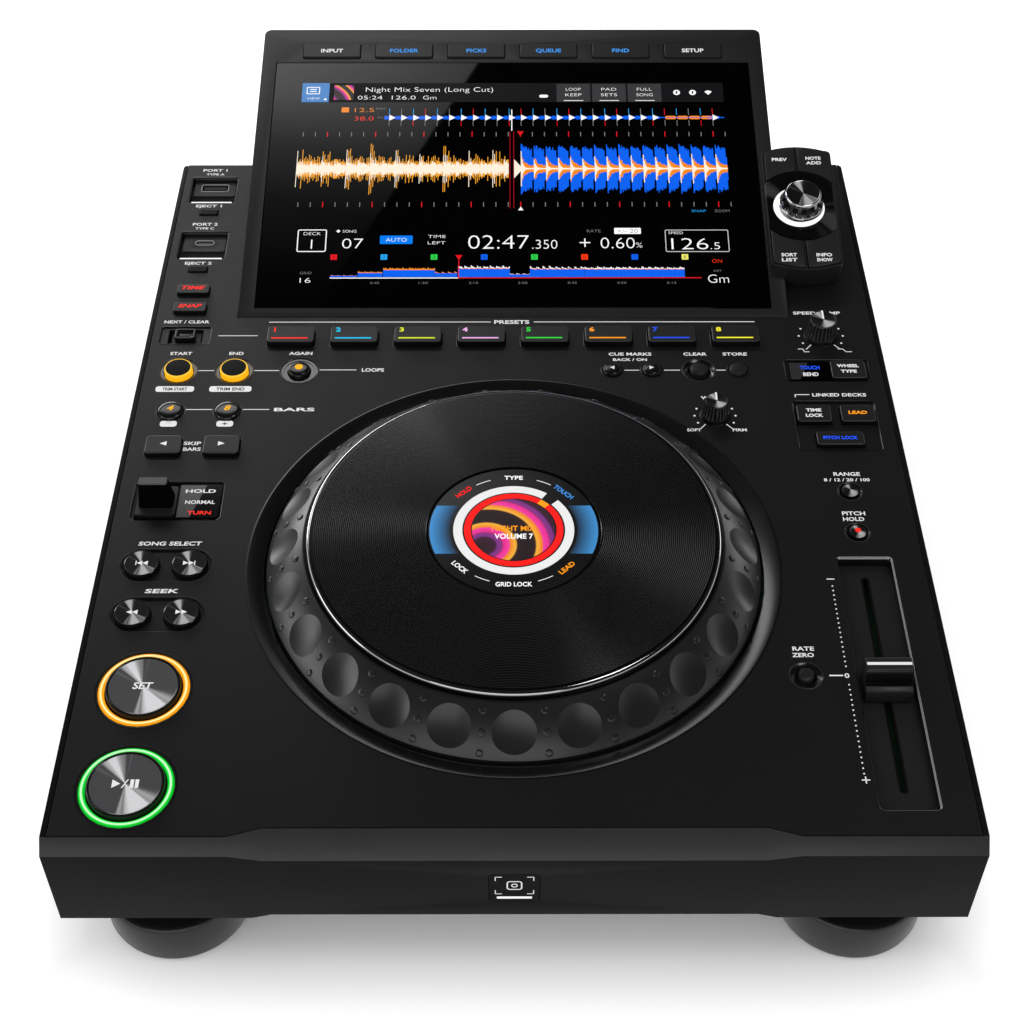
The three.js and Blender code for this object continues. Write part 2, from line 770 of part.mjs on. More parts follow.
function caseShell() {
  const half = caseHalf;
  const section = [
    [deckDepth, 0],
    [0, 0],
    [-fasciaReach, -fasciaDrop],
    [-fasciaReach, -caseHeight],
    [deckDepth, -caseHeight],
  ];
  const corner = rearCornerRadius;
  const plan = new THREE.Shape();
  plan.moveTo(-half, -fasciaReach);
  plan.lineTo(half, -fasciaReach);
  plan.lineTo(half, deckDepth - corner);
  plan.absarc(half - corner, deckDepth - corner, corner, 0, Math.PI / 2);
  plan.absarc(corner - half, deckDepth - corner, corner, Math.PI / 2, Math.PI);
  const outer = bar(section, -half, half).intersect(prism(plan, -caseHeight, 0));
  const cavity = prism(deckOutline(0, deckDepth + overrun), -caseHeight - overrun, overrun);

  // The middle of the fascia has a deeper slope, which fades out along a ramp at each side
  const ramp = browHalfWidth + browRamp;
  const slopes = [];
  for (const lift of [0, overrun]) {
    for (const side of [-1, 1]) {
      slopes.push(new THREE.Vector3(side * browHalfWidth, browReach - lift, lift));
      slopes.push(new THREE.Vector3(side * browHalfWidth, -fasciaReach - lift, lift - browDrop));
      slopes.push(new THREE.Vector3(side * ramp, -lift, lift));
      slopes.push(new THREE.Vector3(side * ramp, -fasciaReach - lift, lift - fasciaDrop));
    }
  }
  const brow = toSolid(new ConvexGeometry(slopes));
  const chinTop = chinHalfWidth;
  const chinFoot = chinHalfWidth + chinRamp;
  const bottom = -caseHeight - overrun;
  const turn = new THREE.Matrix4().makeRotationX(Math.PI / 2);
  const chinShape = outline([
    [-chinFoot, bottom],
    [chinFoot, bottom],
    [chinFoot, -caseHeight],
    [chinTop, chinRaise - caseHeight],
    [-chinTop, chinRaise - caseHeight],
    [-chinFoot, -caseHeight],
  ]);
  const chinDepth = fasciaReach + browReach + 2 * overrun;
  const chinGeometry = new THREE.ExtrudeGeometry(chinShape, { depth: chinDepth, bevelEnabled: false });
  const chin = toSolid(chinGeometry.applyMatrix4(turn).translate(0, browReach + overrun, 0));

  const ledgeTop = -panelThickness - seatGap;
  const ledgeX = half - rimWidth - ledgeWidth / 2;
  const ledges = [-ledgeX, ledgeX].map((x) =>
    block(
      ledgeWidth,
      deckDepth - trayThickness - 2 * seatGap,
      ledgeTop - ledgeThickness,
      ledgeTop,
      x,
      (deckDepth - trayThickness - 2 * seatGap) / 2,
    ),
  );
  const frontLedge = block(
    2 * browHalfWidth,
    frontLedgeWidth,
    ledgeTop - ledgeThickness,
    ledgeTop,
    0,
    browReach + frontLedgeWidth / 2,
  );
  return joined([without(outer, [cavity, brow, chin]), ...ledges, frontLedge]);
}

function baseTray() {
  const half = caseHalf - rimWidth - seatGap;
  const floorBottom = trayInset - caseHeight;
  const floorTop = floorBottom + trayThickness;
  const floor = prism(deckOutline(seatGap, deckDepth), floorBottom, floorTop);
  const rear = block(
    2 * half,
    trayThickness,
    floorBottom,
    -panelThickness - seatGap,
    0,
    deckDepth - trayThickness / 2,
  );
  const bossX = half - bossInset;
  const bosses = [-bossX, bossX].flatMap((x) =>
    [bossFrontY, bossMiddleY, bossRearY]
      .filter((y) => x > 0 || y < usbRow - usbPitch)
      .map((y) =>
        disc(bossRadius, floorBottom, -boardTop - boardThickness - seatGap, smallSides / 2, x, y),
      ),
  );
  const sockets = [mainsInlet, networkSocket, dataSocket];
  const shells = sockets.map(({ x, width, height, depth }) =>
    block(
      width + 2 * socketWall,
      depth + socketWall,
      -socketDrop - height / 2 - socketWall,
      -socketDrop + height / 2 + socketWall,
      x,
      deckDepth - (depth + socketWall) / 2,
    ),
  );
  const mouths = sockets.map(({ x, width, height, depth }) =>
    block(
      width,
      depth + overrun,
      -socketDrop - height / 2,
      -socketDrop + height / 2,
      x,
      deckDepth - (depth - overrun) / 2,
    ),
  );
  const phonoProfile = [
    [phonoBore, 0],
    [phonoBore, phonoLength],
    [phonoRadius, phonoLength],
    [phonoRadius, phonoCollar],
    [phonoCollarRadius, phonoCollar],
    [phonoCollarRadius, -trayThickness / 2],
    [0, -trayThickness / 2],
    [0, 0],
  ];
  const phono = turned(phonoProfile, smallSides).rotate([-90, 0, 0]);
  const phonos = Array.from({ length: phonoCount }, (_, i) =>
    phono.translate([phonoFirstX + i * phonoPitch, deckDepth, -socketDrop]),
  );
  return without(joined([floor, rear, ...bosses, ...shells, ...phonos]), mouths);
}

function mainBoard() {
  const top = -boardTop;
  const bottom = top - boardThickness;
  const half = caseHalf - rimWidth - boardMargin;
  const front = browReach + boardMargin;
  const rear = deckDepth - trayThickness - boardMargin;
  const board = block(2 * half, rear - front, bottom, top, 0, (front + rear) / 2);
  const hubHole = disc(boardHubHole, bottom - overrun, top + overrun, jogSides / 2, 0, jogY);
  const usbFront = usbRow - usbPitch - usbBay.depth / 2 - usbWall - boardMargin;
  const usbSide = outerColumn - usbBay.width / 2 - usbWall - boardMargin;
  const notch = block(
    half - usbSide + overrun,
    rear - usbFront + overrun,
    bottom - overrun,
    top + overrun,
    -(half + usbSide + overrun) / 2,
    (rear + usbFront + overrun) / 2,
  );
  const supply = block(supplyWidth, supplyDepth, bottom - supplyHeight, bottom, supplyX, supplyY);
  const chip = block(chipSize, chipSize, top, top + chipHeight, chipX, chipY);
  return without(joined([board, supply, chip]), [hubHole, notch]);
}

function stopKeys() {
  const front = usbRow - usbPitch - stopKeyOffset;
  const caps = usbRows.map((y) =>
    joined([
      cappedBlock(stopKey.width, stopKey.depth, collarBottom, stopKey.rise, keyChamfer),
      block(
        stopKey.width + 2 * collarLip,
        stopKey.depth + 2 * collarLip,
        collarBottom,
        collarTop,
      ),
    ]).translate([0, y - stopKeyOffset - front, 0]),
  );
  // The two caps are one moulding, joined by a spine that runs beside the bay between them
  const spineX = usbBay.width / 2 + usbWall + seatGap + stopWebWidth / 2;
  const spine = block(
    stopWebWidth,
    usbPitch + stopKey.depth,
    collarBottom,
    collarTop,
    spineX,
    usbPitch / 2,
  );
  const arms = [0, usbPitch].map((y) =>
    block(spineX, stopKey.depth, collarBottom, collarTop, spineX / 2, y),
  );
  return joined([...caps, spine, ...arms]);
}

function toggle() {
  const travelLip = toggleTravel + togglePlateLip;
  return joined([
    cappedBlock(toggleNub.width, toggleNub.depth, collarBottom, toggleNub.rise, keyChamfer),
    block(
      toggleNub.width + 2 * travelLip,
      toggleNub.depth + 2 * collarLip,
      collarBottom,
      collarTop,
    ),
  ]);
}

// The lever stands in its own frame, with its origin on the pivot
function directionLever() {
  const foot = leverPivotDrop + leverFoot.rise;
  const tip = leverPivotDrop + leverTop.rise;
  const blade = new ConvexGeometry(
    [-1, 1].flatMap((side) =>
      [-1, 1].flatMap((end) => [
        new THREE.Vector3((side * leverRoot.width) / 2, (end * leverRoot.depth) / 2, foot),
        new THREE.Vector3((side * leverTop.width) / 2, (end * leverTop.depth) / 2, tip),
      ]),
    ),
  );
  const hub = disc(leverHubRadius, -leverFoot.width / 2, leverFoot.width / 2, smallSides);
  const pinReach = leverFoot.width / 2 + seatGap + leverCheek;
  const pin = disc(leverPinRadius, -pinReach, pinReach, smallSides / 2);
  return joined([
    toSolid(blade),
    block(leverFoot.width, leverFoot.depth, foot - leverFoot.thickness, foot),
    block(leverRoot.width, 2 * leverPinRadius, 0, foot),
    hub.rotate([0, 90, 0]),
    pin.rotate([0, 90, 0]),
  ]);
}

// A knob's origin is on the deck, under the middle of its shaft
function knob({ radius, top, height }) {
  const body = turned(
    [
      [0, -knobShaftLength],
      [knobShaftRadius, -knobShaftLength],
      [knobShaftRadius, seatGap],
      [radius, seatGap],
      [top, height - keyChamfer],
      [top - keyChamfer, height],
      [0, height],
    ],
    buttonSides,
  );
  const reach = top + overrun;
  const groove = block(knobPointer, reach, height - keyChamfer, height + overrun, 0, reach / 2);
  return body.subtract(groove);
}

// The fader cap's origin is on the deck, at the middle of its stem
function faderCapSolid() {
  const skirt = -faderBay.floor + faderSkirtGap;
  const section = [
    [-faderCap.front, skirt],
    [faderCap.rear, skirt],
    [faderCap.rear, faderRidge.rise - keyChamfer],
    [faderCap.rear - keyChamfer, faderRidge.rise],
    [keyChamfer - faderRidge.front, faderRidge.rise],
    [-faderRidge.front, faderRidge.rise - keyChamfer],
    [-faderRidge.front, faderPadRise - keyChamfer],
    [-faderRidge.front - keyChamfer, faderPadRise - keyChamfer],
    [-(faderRidge.front + faderCap.front) / 2, faderPadRise],
    [keyChamfer - faderCap.front, faderPadRise - keyChamfer],
    [-faderCap.front, faderPadRise - 2 * keyChamfer],
  ];
  const cap = bar(section, -faderCap.width / 2, faderCap.width / 2);
  const shoeTop = -faderBay.floor - faderFloor - seatGap;
  const shoeBottom = shoeTop - faderShoe.thickness;
  return joined([
    cap,
    block(faderStem.width, faderStem.depth, shoeBottom, skirt + keyChamfer),
    block(faderShoe.width, faderShoe.depth, shoeBottom, shoeTop),
  ]);
}

// The jog pieces have their origin on the wheel's axis, level with the deck

function jogRing() {
  const inner = platterRadius + seatGap;
  const sleeveTop = hubDiscUnder - hubDiscGap;
  const ring = turned(
    [
      [hubShaftRadius + seatGap, -hubStepDrop + seatGap],
      [jogSleeveRadius, -hubStepDrop + seatGap],
      [jogSleeveRadius, -jogRingSkirt],
      [jogRingRadius, -jogRingSkirt],
      [jogRingRadius, -jogRingEdgeDrop],
      [jogShoulderRadius, jogShoulderRise],
      [jogRingTopRadius, jogRingTopRise],
      [inner, jogRingTopRise],
      [inner, -jogWebDrop],
      [jogSleeveRadius, -jogWebDrop],
      [jogSleeveRadius, sleeveTop],
      [hubShaftRadius + seatGap, sleeveTop],
    ],
    jogSides,
  );

  // Finger dimples in the sloping face, square to the slope
  const run = jogRingRadius - jogRingTopRadius;
  const climb = jogRingTopRise + jogRingEdgeDrop;
  const lean = Math.atan2(climb, run);
  const middle = jogRingRadius - run * dimpleAlongShare;
  const level = -jogRingEdgeDrop + climb * dimpleAlongShare;
  const bulge = Math.hypot(jogShoulderRadius - middle, jogShoulderRise - level);
  const dish = turned(
    [
      [0, bulge - dimpleDepth],
      [dimpleRadius / 2, bulge - dimpleDepth],
      [dimpleRadius, bulge],
      [dimpleRadius, bulge + overrun],
      [0, bulge + overrun],
    ],
    dimpleSides,
  );
  const seated = dish.rotate([0, THREE.MathUtils.radToDeg(lean), 0]).translate([middle, 0, level]);
  const dimples = Array.from({ length: dimpleCount }, (_, i) =>
    seated.rotate([0, 0, (i * 360) / dimpleCount]),
  );
  return without(ring, dimples);
}

function jogPlatter() {
  const under = platterTopRise - platterThickness;
  const inner = hubDiscRadius + hubDiscGap;
  return turned(
    [
      [inner, under],
      [inner, platterTopRise],
      [platterTopRadius, platterTopRise],
      [platterRadius, platterEdgeRise],
      [platterRadius, platterSkirtRise],
      [platterRadius - platterSkirtWidth, platterSkirtRise],
      [platterRadius - platterSkirtWidth, under],
      [platterSleeveOuter, under],
      [platterSleeveOuter, platterTravel + seatGap - jogWebDrop],
      [platterSleeveInner, platterTravel + seatGap - jogWebDrop],
      [platterSleeveInner, under],
    ],
    jogSides,
  );
}

function jogHub() {
  const foot = trayInset + trayThickness + seatGap - caseHeight;
  return turned(
    [
      [0, foot],
      [hubFlangeRadius, foot],
      [hubFlangeRadius, foot + hubFlangeThickness],
      [hubPostRadius, foot + hubFlangeThickness],
      [hubPostRadius, -hubStepDrop],
      [hubShaftRadius, -hubStepDrop],
      [hubShaftRadius, hubDiscUnder],
      [hubDiscRadius, hubDiscUnder],
      [hubDiscRadius, hubDiscRise - keyChamfer],
      [hubDiscRadius - keyChamfer, hubDiscRise],
      [0, hubDiscRise],
    ],
    jogSides,
  );
}

function foot() {
  const neckTop = trayInset - caseHeight - seatGap;
  const ground = -caseHeight - standHeight;
  return turned(
    [
      [0, ground],
      [footRadius - footChamfer, ground],
      [footRadius, ground + footChamfer],
      [footRadius, ground + footHeight - footChamfer / 2],
      [footRadius - footChamfer / 2, ground + footHeight],
      [footNeckRadius, ground + footHeight],
      [footNeckRadius, neckTop],
      [0, neckTop],
    ],
    footSides,
  );
}

// Display frame: X to the right, Y up the glass from its front edge, Z out of the glass

function inDisplayFrame([y, z]) {
  const away = y - displayFrontY;
  const cos = Math.cos(displayTilt);
  const sin = Math.sin(displayTilt);
  return [away * cos + z * sin, z * cos - away * sin];
}

const displayRearY = displayFrontY + displayLength * Math.cos(displayTilt);
const displayRearZ = displayLength * Math.sin(displayTilt);

// The part of the display frame that lies under a level of the deck frame
function belowDeckLevel(level) {
  const reach = displayLength;
  const slab = new THREE.BoxGeometry(2 * caseWidth, 2 * reach, reach).translate(0, 0, level - reach / 2);
  return toSolid(slab.rotateX(-displayTilt));
}

function podOutline(inset, arch) {
  const left = podX - podHalfWidth + inset;
  const right = podX + podHalfWidth - inset;
  const front = podFront + inset;
  const rear = podRear - inset;
  const corner = podCornerRadius;
  const shape = new THREE.Shape();
  shape.moveTo(left, front + corner + arch);
  shape.quadraticCurveTo(left, front + arch, left + corner, front + arch);
  shape.quadraticCurveTo(podX, front - arch, right - corner, front + arch);
  shape.quadraticCurveTo(right, front + arch, right, front + corner + arch);
  shape.lineTo(right, rear - corner - arch);
  shape.quadraticCurveTo(right, rear - arch, right - corner, rear - arch);
  shape.quadraticCurveTo(podX, rear + arch, left + corner, rear - arch);
  shape.quadraticCurveTo(left, rear - arch, left, rear - corner - arch);
  return shape;
}

// One of the four keys of the pod, cut from the pod's outline by the selector's plate
function podKeyColumn(side, end, grow, low, high) {
  const inset = podRimWidth - grow;
  const whole = prism(podOutline(inset, podArch), low, high, 2 * cornerSteps);
  const reach = podRear - podFront;
  const edge = podKeyGapHalf + seatGap - grow;
  const quarter = block(
    reach,
    reach,
    low - overrun,
    high + overrun,
    selectorX + side * (edge + reach / 2),
    selectorY + end * (reach / 2),
  );
  const plateCut = disc(
    selectorPlateRadius + seatGap - grow,
    low - overrun,
    high + overrun,
    jogSides / 2,
    selectorX,
    selectorY,
  );
  return whole.intersect(quarter).subtract(plateCut);
}

const podKeys = [
  { name: "pod_key_rear_left", side: -1, end: 1 },
  { name: "pod_key_rear_right", side: 1, end: 1 },
  { name: "pod_key_front_left", side: -1, end: -1 },
  { name: "pod_key_front_right", side: 1, end: -1 },
];
const podKeyTop = podRise + podKeyRise;
const podKeyBottom = podKeyTop - podKeyLength;

function menuPlaces() {
  return Array.from({ length: menuCount }, (_, i) => (i - (menuCount - 1) / 2) * menuPitch);
}

function displayHousing() {
  const seat = seatGap - displaySeatDepth;
  const section = [
    [displayFrontY, seat],
    [displayUndersideY, seat],
    [displayRearY, displayRearZ - displayRearHeight],
    [displayRearY, displayRearZ],
    [displayFrontY, 0],
  ].map(inDisplayFrame);
  const wedge = bar(section, -displayHalfWidth, displayHalfWidth);
  const corner = displayCornerRadius;
  const plan = new THREE.Shape();
  plan.moveTo(-displayHalfWidth, -overrun);
  plan.lineTo(displayHalfWidth, -overrun);
  plan.lineTo(displayHalfWidth, displayLength - corner);
  plan.absarc(displayHalfWidth - corner, displayLength - corner, corner, 0, Math.PI / 2);
  plan.absarc(corner - displayHalfWidth, displayLength - corner, corner, Math.PI / 2, Math.PI);
  const body = wedge.intersect(prism(plan, -displayLength, overrun));
  const pod = prism(podOutline(0, podArch), -displayLength / 2, podRise, 2 * cornerSteps);
  const shell = body.add(pod.subtract(belowDeckLevel(seatGap)));

  const pocketFloor = -glassThickness - seatGap;
  const glassPocket = block(
    2 * glassHalfWidth,
    glassRear - glassFront,
    pocketFloor,
    overrun,
    0,
    (glassRear + glassFront) / 2,
  );
  const rise = Math.tan(displayTilt);
  const rearY = displayFrontY + (glassRear - hollowMargin) * Math.cos(displayTilt);
  const undersideShare = (rearY - displayUndersideY) / (displayRearY - displayUndersideY);
  const undersideZ = seat + undersideShare * (displayRearZ - displayRearHeight - seat);
  const hollowFrontY = displayFrontY + hollowFront * Math.cos(displayTilt);
  const hollow = bar(
    [
      inDisplayFrame([hollowFrontY, seat + displayWall]),
      inDisplayFrame([displayUndersideY, seat + displayWall]),
      inDisplayFrame([rearY, undersideZ + displayWall * (1 + rise)]),
      [glassRear - hollowMargin, 0],
      [hollowFront, 0],
    ],
    hollowMargin - glassHalfWidth,
    glassHalfWidth - hollowMargin,
  );
  const menuGap = 2 * seatGap;
  const menuHoles = menuPlaces().map((x) =>
    block(menuKey.width + menuGap, menuKey.depth + menuGap, -menuWall - overrun / 2, overrun, x, menuRow),
  );
  const menuLength = (menuCount - 1) * menuPitch + menuKey.width + 2 * collarLip;
  const channelBottom = -menuWall - seatGap - menuWeb - keyTravel - seatGap;
  const channel = block(
    menuLength + menuGap,
    menuKey.depth + 2 * collarLip + menuGap,
    channelBottom,
    -menuWall,
    0,
    menuRow,
  );
  const pockets = podKeys.map(({ side, end }) =>
    podKeyColumn(side, end, seatGap, podKeyBottom - keyTravel - seatGap, podRise + overrun),
  );
  const bore = disc(
    selectorShaftRadius + seatGap,
    podRise - selectorShaftDepth - keyTravel - seatGap,
    podRise + overrun,
    buttonSides,
    selectorX,
    selectorY,
  );
  return without(shell, [glassPocket, hollow, ...menuHoles, channel, ...pockets, bore]);
}

function touchScreen() {
  const top = 0;
  const bottom = -glassThickness;
  const middle = (glassRear + glassFront) / 2;
  const glass = block(
    2 * (glassHalfWidth - seatGap),
    glassRear - glassFront - 2 * seatGap,
    bottom,
    top,
    0,
    middle,
  );
  const moduleFront = hollowFront + screenModuleMargin;
  const moduleRear = glassRear - hollowMargin - screenModuleMargin;
  const screenModule = block(
    2 * (glassHalfWidth - hollowMargin - screenModuleMargin),
    moduleRear - moduleFront,
    bottom - screenModuleThickness,
    bottom,
    0,
    (moduleFront + moduleRear) / 2,
  );
  return glass.add(screenModule);
}

// Six caps on one sprung web, as the keys above such a screen are moulded
function menuKeyBar() {
  const webTop = -menuWall - seatGap;
  const webBottom = webTop - menuWeb;
  const caps = menuPlaces().map((x) =>
    cappedBlock(menuKey.width, menuKey.depth, webBottom, menuKey.rise, keyChamfer).translate([x, 0, 0]),
  );
  const length = (menuCount - 1) * menuPitch + menuKey.width + 2 * collarLip;
  const web = block(length, menuKey.depth + 2 * collarLip, webBottom, webTop);
  return joined([web, ...caps]);
}

function selectorShaft() {
  return disc(selectorShaftRadius, podRise - selectorShaftDepth, podRise + selectorShaftReach, smallSides);
}

// A knob with flutes round its skirt, as a turned shape whose radius ripples
function selectorKnob() {
  const bottom = podRise + keyTravel + seatGap;
  const top = bottom + selectorKnobHeight;
  const waist = (bottom + top) / 2;
  const profile = [
    [0, bottom],
    [selectorKnobBase, bottom],
    [(selectorKnobBase + selectorKnobTop) / 2, waist],
    [selectorKnobTop, top - keyChamfer],
    [selectorKnobTop - keyChamfer, top],
    [0, top],
  ].map(([radius, level]) => new THREE.Vector2(radius, level));
  const geometry = new THREE.LatheGeometry(profile, selectorKnobSides).rotateX(Math.PI / 2);
  const place = geometry.getAttribute("position");
  for (let i = 0; i < place.count; i++) {
    const x = place.getX(i);
    const y = place.getY(i);
    const radius = Math.hypot(x, y);
    const onWaist = Math.abs(place.getZ(i) - waist) < weldDistance;
    if (!onWaist) continue;
    const ripple = (1 - Math.cos(selectorFlutes * Math.atan2(y, x))) / 2;
    const share = 1 - (selectorFluteDepth * ripple) / radius;
    place.setXY(i, x * share, y * share);
  }
  const bore = disc(
    selectorShaftRadius + seatGap,
    bottom - overrun,
    podRise + selectorShaftReach + seatGap,
    smallSides,
  );
  return toSolid(geometry).subtract(bore);
}

// Scene: the whole player, with groups for the deck, the jog wheel and the display

const player = new THREE.Group();
const deck = new THREE.Group();
deck.position.set(0, -(displayRearY - fasciaReach) / 2, caseHeight + standHeight);
player.add(deck);

deck.add(toMesh("deck_panel", deckPanel(), finish.deck));
deck.add(toMesh("case_shell", caseShell(), finish.case));
deck.add(toMesh("base_tray", baseTray(), finish.steel));
deck.add(toMesh("main_board", mainBoard(), finish.board));

function place(parent, mesh, x, y, z = 0) {
  mesh.position.set(x, y, z);
  parent.add(mesh);
}

for (const [sideName, side] of [["left", -1], ["right", 1]]) {
  place(deck, toMesh(`foot_front_${sideName}`, foot(), finish.foot), side * footX, frontFootY);
  place(deck, toMesh(`foot_rear_${sideName}`, foot(), finish.foot), side * footX, rearFootY);
}

for (const key of blockKeys) place(deck, toMesh(key.name, blockKey(key), finish.key), key.x, key.y);
for (const key of roundKeys) {
  const solid = roundKey(key.radius, key.rise ?? buttonRise, smallSides);
  place(deck, toMesh(key.name, solid, finish.key), key.x, key.y);
}
for (const key of searchKeys) {
  const solid = roundKey(searchRadius, searchRise, buttonSides);
  place(deck, toMesh(key.name, solid, finish.darkSpun), key.x, key.y);
}
for (const key of cueKeys) {
  place(deck, toMesh(key.name, roundKey(cueRadius, cueRise, cueSides), finish.spun), key.x, key.y);
}
for (const item of knobs) place(deck, toMesh(item.name, knob(item), finish.key), item.x, item.y);

place(
  deck,
  toMesh("usb_stop_keys", stopKeys(), finish.key),
  -outerColumn,
  usbRow - usbPitch - stopKeyOffset,
);
place(deck, toMesh("call_delete_toggle", toggle(), finish.key), -outerColumn, toggleRow);
place(deck, toMesh("direction_lever", directionLever(), finish.key), -leverX, leverRow, -leverPivotDrop);
place(deck, toMesh("tempo_fader_cap", faderCapSolid(), finish.key), faderX, faderStemY);

const jog = new THREE.Group();
jog.position.set(0, jogY, 0);
jog.add(toMesh("jog_ring", jogRing(), finish.rubber));
jog.add(toMesh("jog_platter", jogPlatter(), finish.platter));
jog.add(toMesh("jog_hub", jogHub(), finish.hub));
deck.add(jog);

const display = new THREE.Group();
display.position.set(0, displayFrontY, 0);
display.rotation.x = displayTilt;
deck.add(display);
display.add(toMesh("display_housing", displayHousing(), finish.case));
display.add(toMesh("touch_screen", touchScreen(), finish.glass));
place(display, toMesh("menu_key_bar", menuKeyBar(), finish.key), 0, menuRow);
for (const { name, side, end } of podKeys) {
  display.add(toMesh(name, podKeyColumn(side, end, 0, podKeyBottom, podKeyTop), finish.key));
}
place(display, toMesh("selector_shaft", selectorShaft(), finish.spun), selectorX, selectorY);
place(display, toMesh("selector_knob", selectorKnob(), finish.spun), selectorX, selectorY);

export default player;
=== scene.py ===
"""Looks of a tabletop media player for disc jockeys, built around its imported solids.

Sizes are millimetres in one of four frames and are turned to metres when a piece is made:
DECK has its origin in the middle of the deck's front edge, on the deck's face, with Y to the back;
SCREEN lies on the tilted display, with Y up the glass; FASCIA looks at the front, REAR at the back.
"""

import logging
import math
import random
from collections.abc import Iterable, Sequence
from dataclasses import dataclass, field
from enum import Enum

import bmesh
import bpy
from mathutils import Matrix, Vector


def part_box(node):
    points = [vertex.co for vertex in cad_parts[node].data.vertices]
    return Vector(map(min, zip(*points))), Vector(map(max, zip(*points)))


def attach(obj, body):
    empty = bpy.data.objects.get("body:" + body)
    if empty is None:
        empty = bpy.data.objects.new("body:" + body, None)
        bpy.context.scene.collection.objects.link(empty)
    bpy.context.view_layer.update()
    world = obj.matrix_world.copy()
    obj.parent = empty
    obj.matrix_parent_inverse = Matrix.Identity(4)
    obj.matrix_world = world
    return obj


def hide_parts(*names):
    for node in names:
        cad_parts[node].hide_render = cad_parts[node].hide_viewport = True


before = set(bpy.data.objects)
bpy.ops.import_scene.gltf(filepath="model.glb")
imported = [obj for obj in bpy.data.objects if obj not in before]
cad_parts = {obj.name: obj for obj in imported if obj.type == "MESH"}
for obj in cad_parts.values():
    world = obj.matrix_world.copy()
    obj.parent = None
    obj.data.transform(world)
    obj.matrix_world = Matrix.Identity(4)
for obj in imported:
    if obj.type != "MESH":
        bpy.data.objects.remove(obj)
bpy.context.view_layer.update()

log = logging.getLogger("media_player")

Pair = tuple[float, float]
Point = Sequence[float]

# Frames
MM = 0.001
TILT = math.radians(13)
FASCIA_REACH = 4.9
SOCKET_DROP = 24.0
CASE_LOW, CASE_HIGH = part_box("case_shell")
DISPLAY_LOW, DISPLAY_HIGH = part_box("display_housing")
DECK = Matrix.Translation((0, CASE_LOW.y + FASCIA_REACH * MM, CASE_HIGH.z)) @ Matrix.Scale(MM, 4)
SCREEN = (
    Matrix.Translation((0, DISPLAY_LOW.y, CASE_HIGH.z)) @ Matrix.Rotation(TILT, 4, "X") @ Matrix.Scale(MM, 4)
)
FASCIA = DECK @ Matrix.Translation((0, -FASCIA_REACH, 0)) @ Matrix.Rotation(math.pi / 2, 4, "X")
DECK_DEPTH = (CASE_HIGH.y - CASE_LOW.y) / MM - FASCIA_REACH
REAR = (
    DECK
    @ Matrix.Translation((0, DECK_DEPTH, -SOCKET_DROP))
    @ Matrix.Rotation(math.pi, 4, "Z")
    @ Matrix.Rotation(math.pi / 2, 4, "X")
)
UNDER = Matrix.Rotation(math.pi, 4, "X")

# Shared sizes
PRINT_HEIGHT = 0.05
PRINT_ROOT = 0.03
CAP_SHARE = 0.729
LETTER_WIDTH = 1.22
LETTER_WEIGHT = 0.03
GAP = 0.3
MERGE = 2e-7
FACET = math.radians(1.5)
KEY_FOOT = -4.0
STEM_FOOT = -10.9
BAY_FLOOR = -0.79
BAY_SEAT = -3.45
GROUND = -77.0


def rgb(code: str) -> tuple[float, float, float, float]:
    """Turn a six-digit screen colour into a linear one.

    Args:
        code: Two hexadecimal digits each of red, green and blue.

    Returns:
        The linear colour with an alpha of 1.
    """
    parts = [int(code[i : i + 2], 16) / 255 for i in (0, 2, 4)]
    linear = [c / 12.92 if c <= 0.04045 else ((c + 0.055) / 1.055) ** 2.4 for c in parts]
    return (linear[0], linear[1], linear[2], 1.0)


def scaled(colour: Sequence[float], share: float) -> tuple[float, float, float, float]:
    """Return a linear colour made lighter or darker by a share."""
    return (min(colour[0] * share, 1), min(colour[1] * share, 1), min(colour[2] * share, 1), 1.0)


class Tree:
    """Short forms for filling a node tree."""

    def __init__(self, tree: bpy.types.NodeTree) -> None:
        """Keep the tree and empty it.

        Args:
            tree: The shader or geometry tree to fill.
        """
        self.tree = tree
        tree.nodes.clear()

    def node(self, kind: str, inputs: dict | None = None, **settings: object) -> bpy.types.Node:
        """Add a node, set its properties and fill or link its inputs.

        Args:
            kind: The node's type name.
            inputs: Values or output sockets by input name or number.
            settings: Properties of the node.

        Returns:
            The new node.
        """
        node = self.tree.nodes.new(kind)
        for key, value in settings.items():
            setattr(node, key, value)
        for key, value in (inputs or {}).items():
            socket = node.inputs[key]
            if isinstance(value, bpy.types.NodeSocket):
                self.tree.links.new(value, socket)
            else:
                socket.default_value = value
        return node

    def calc(self, operation: str, first: object, second: object = 0.0) -> bpy.types.NodeSocket:
        """Add a math node and return its result."""
        node = self.node("ShaderNodeMath", {0: first, 1: second}, operation=operation)
        return node.outputs[0]

    def ramp(
        self, factor: bpy.types.NodeSocket, stops: Sequence[tuple[float, Point]]
    ) -> bpy.types.NodeSocket:
        """Add a colour ramp.

        Args:
            factor: What it follows.
            stops: Pairs of position and linear colour, in order.

        Returns:
            The colour's output.
        """
        node = self.node("ShaderNodeValToRGB", {"Fac": factor})
        elements = node.color_ramp.elements
        for i, (position, colour) in enumerate(stops):
            element = elements[i] if i < 2 else elements.new(position)
            element.position = position
            element.color = colour
        return node.outputs["Color"]


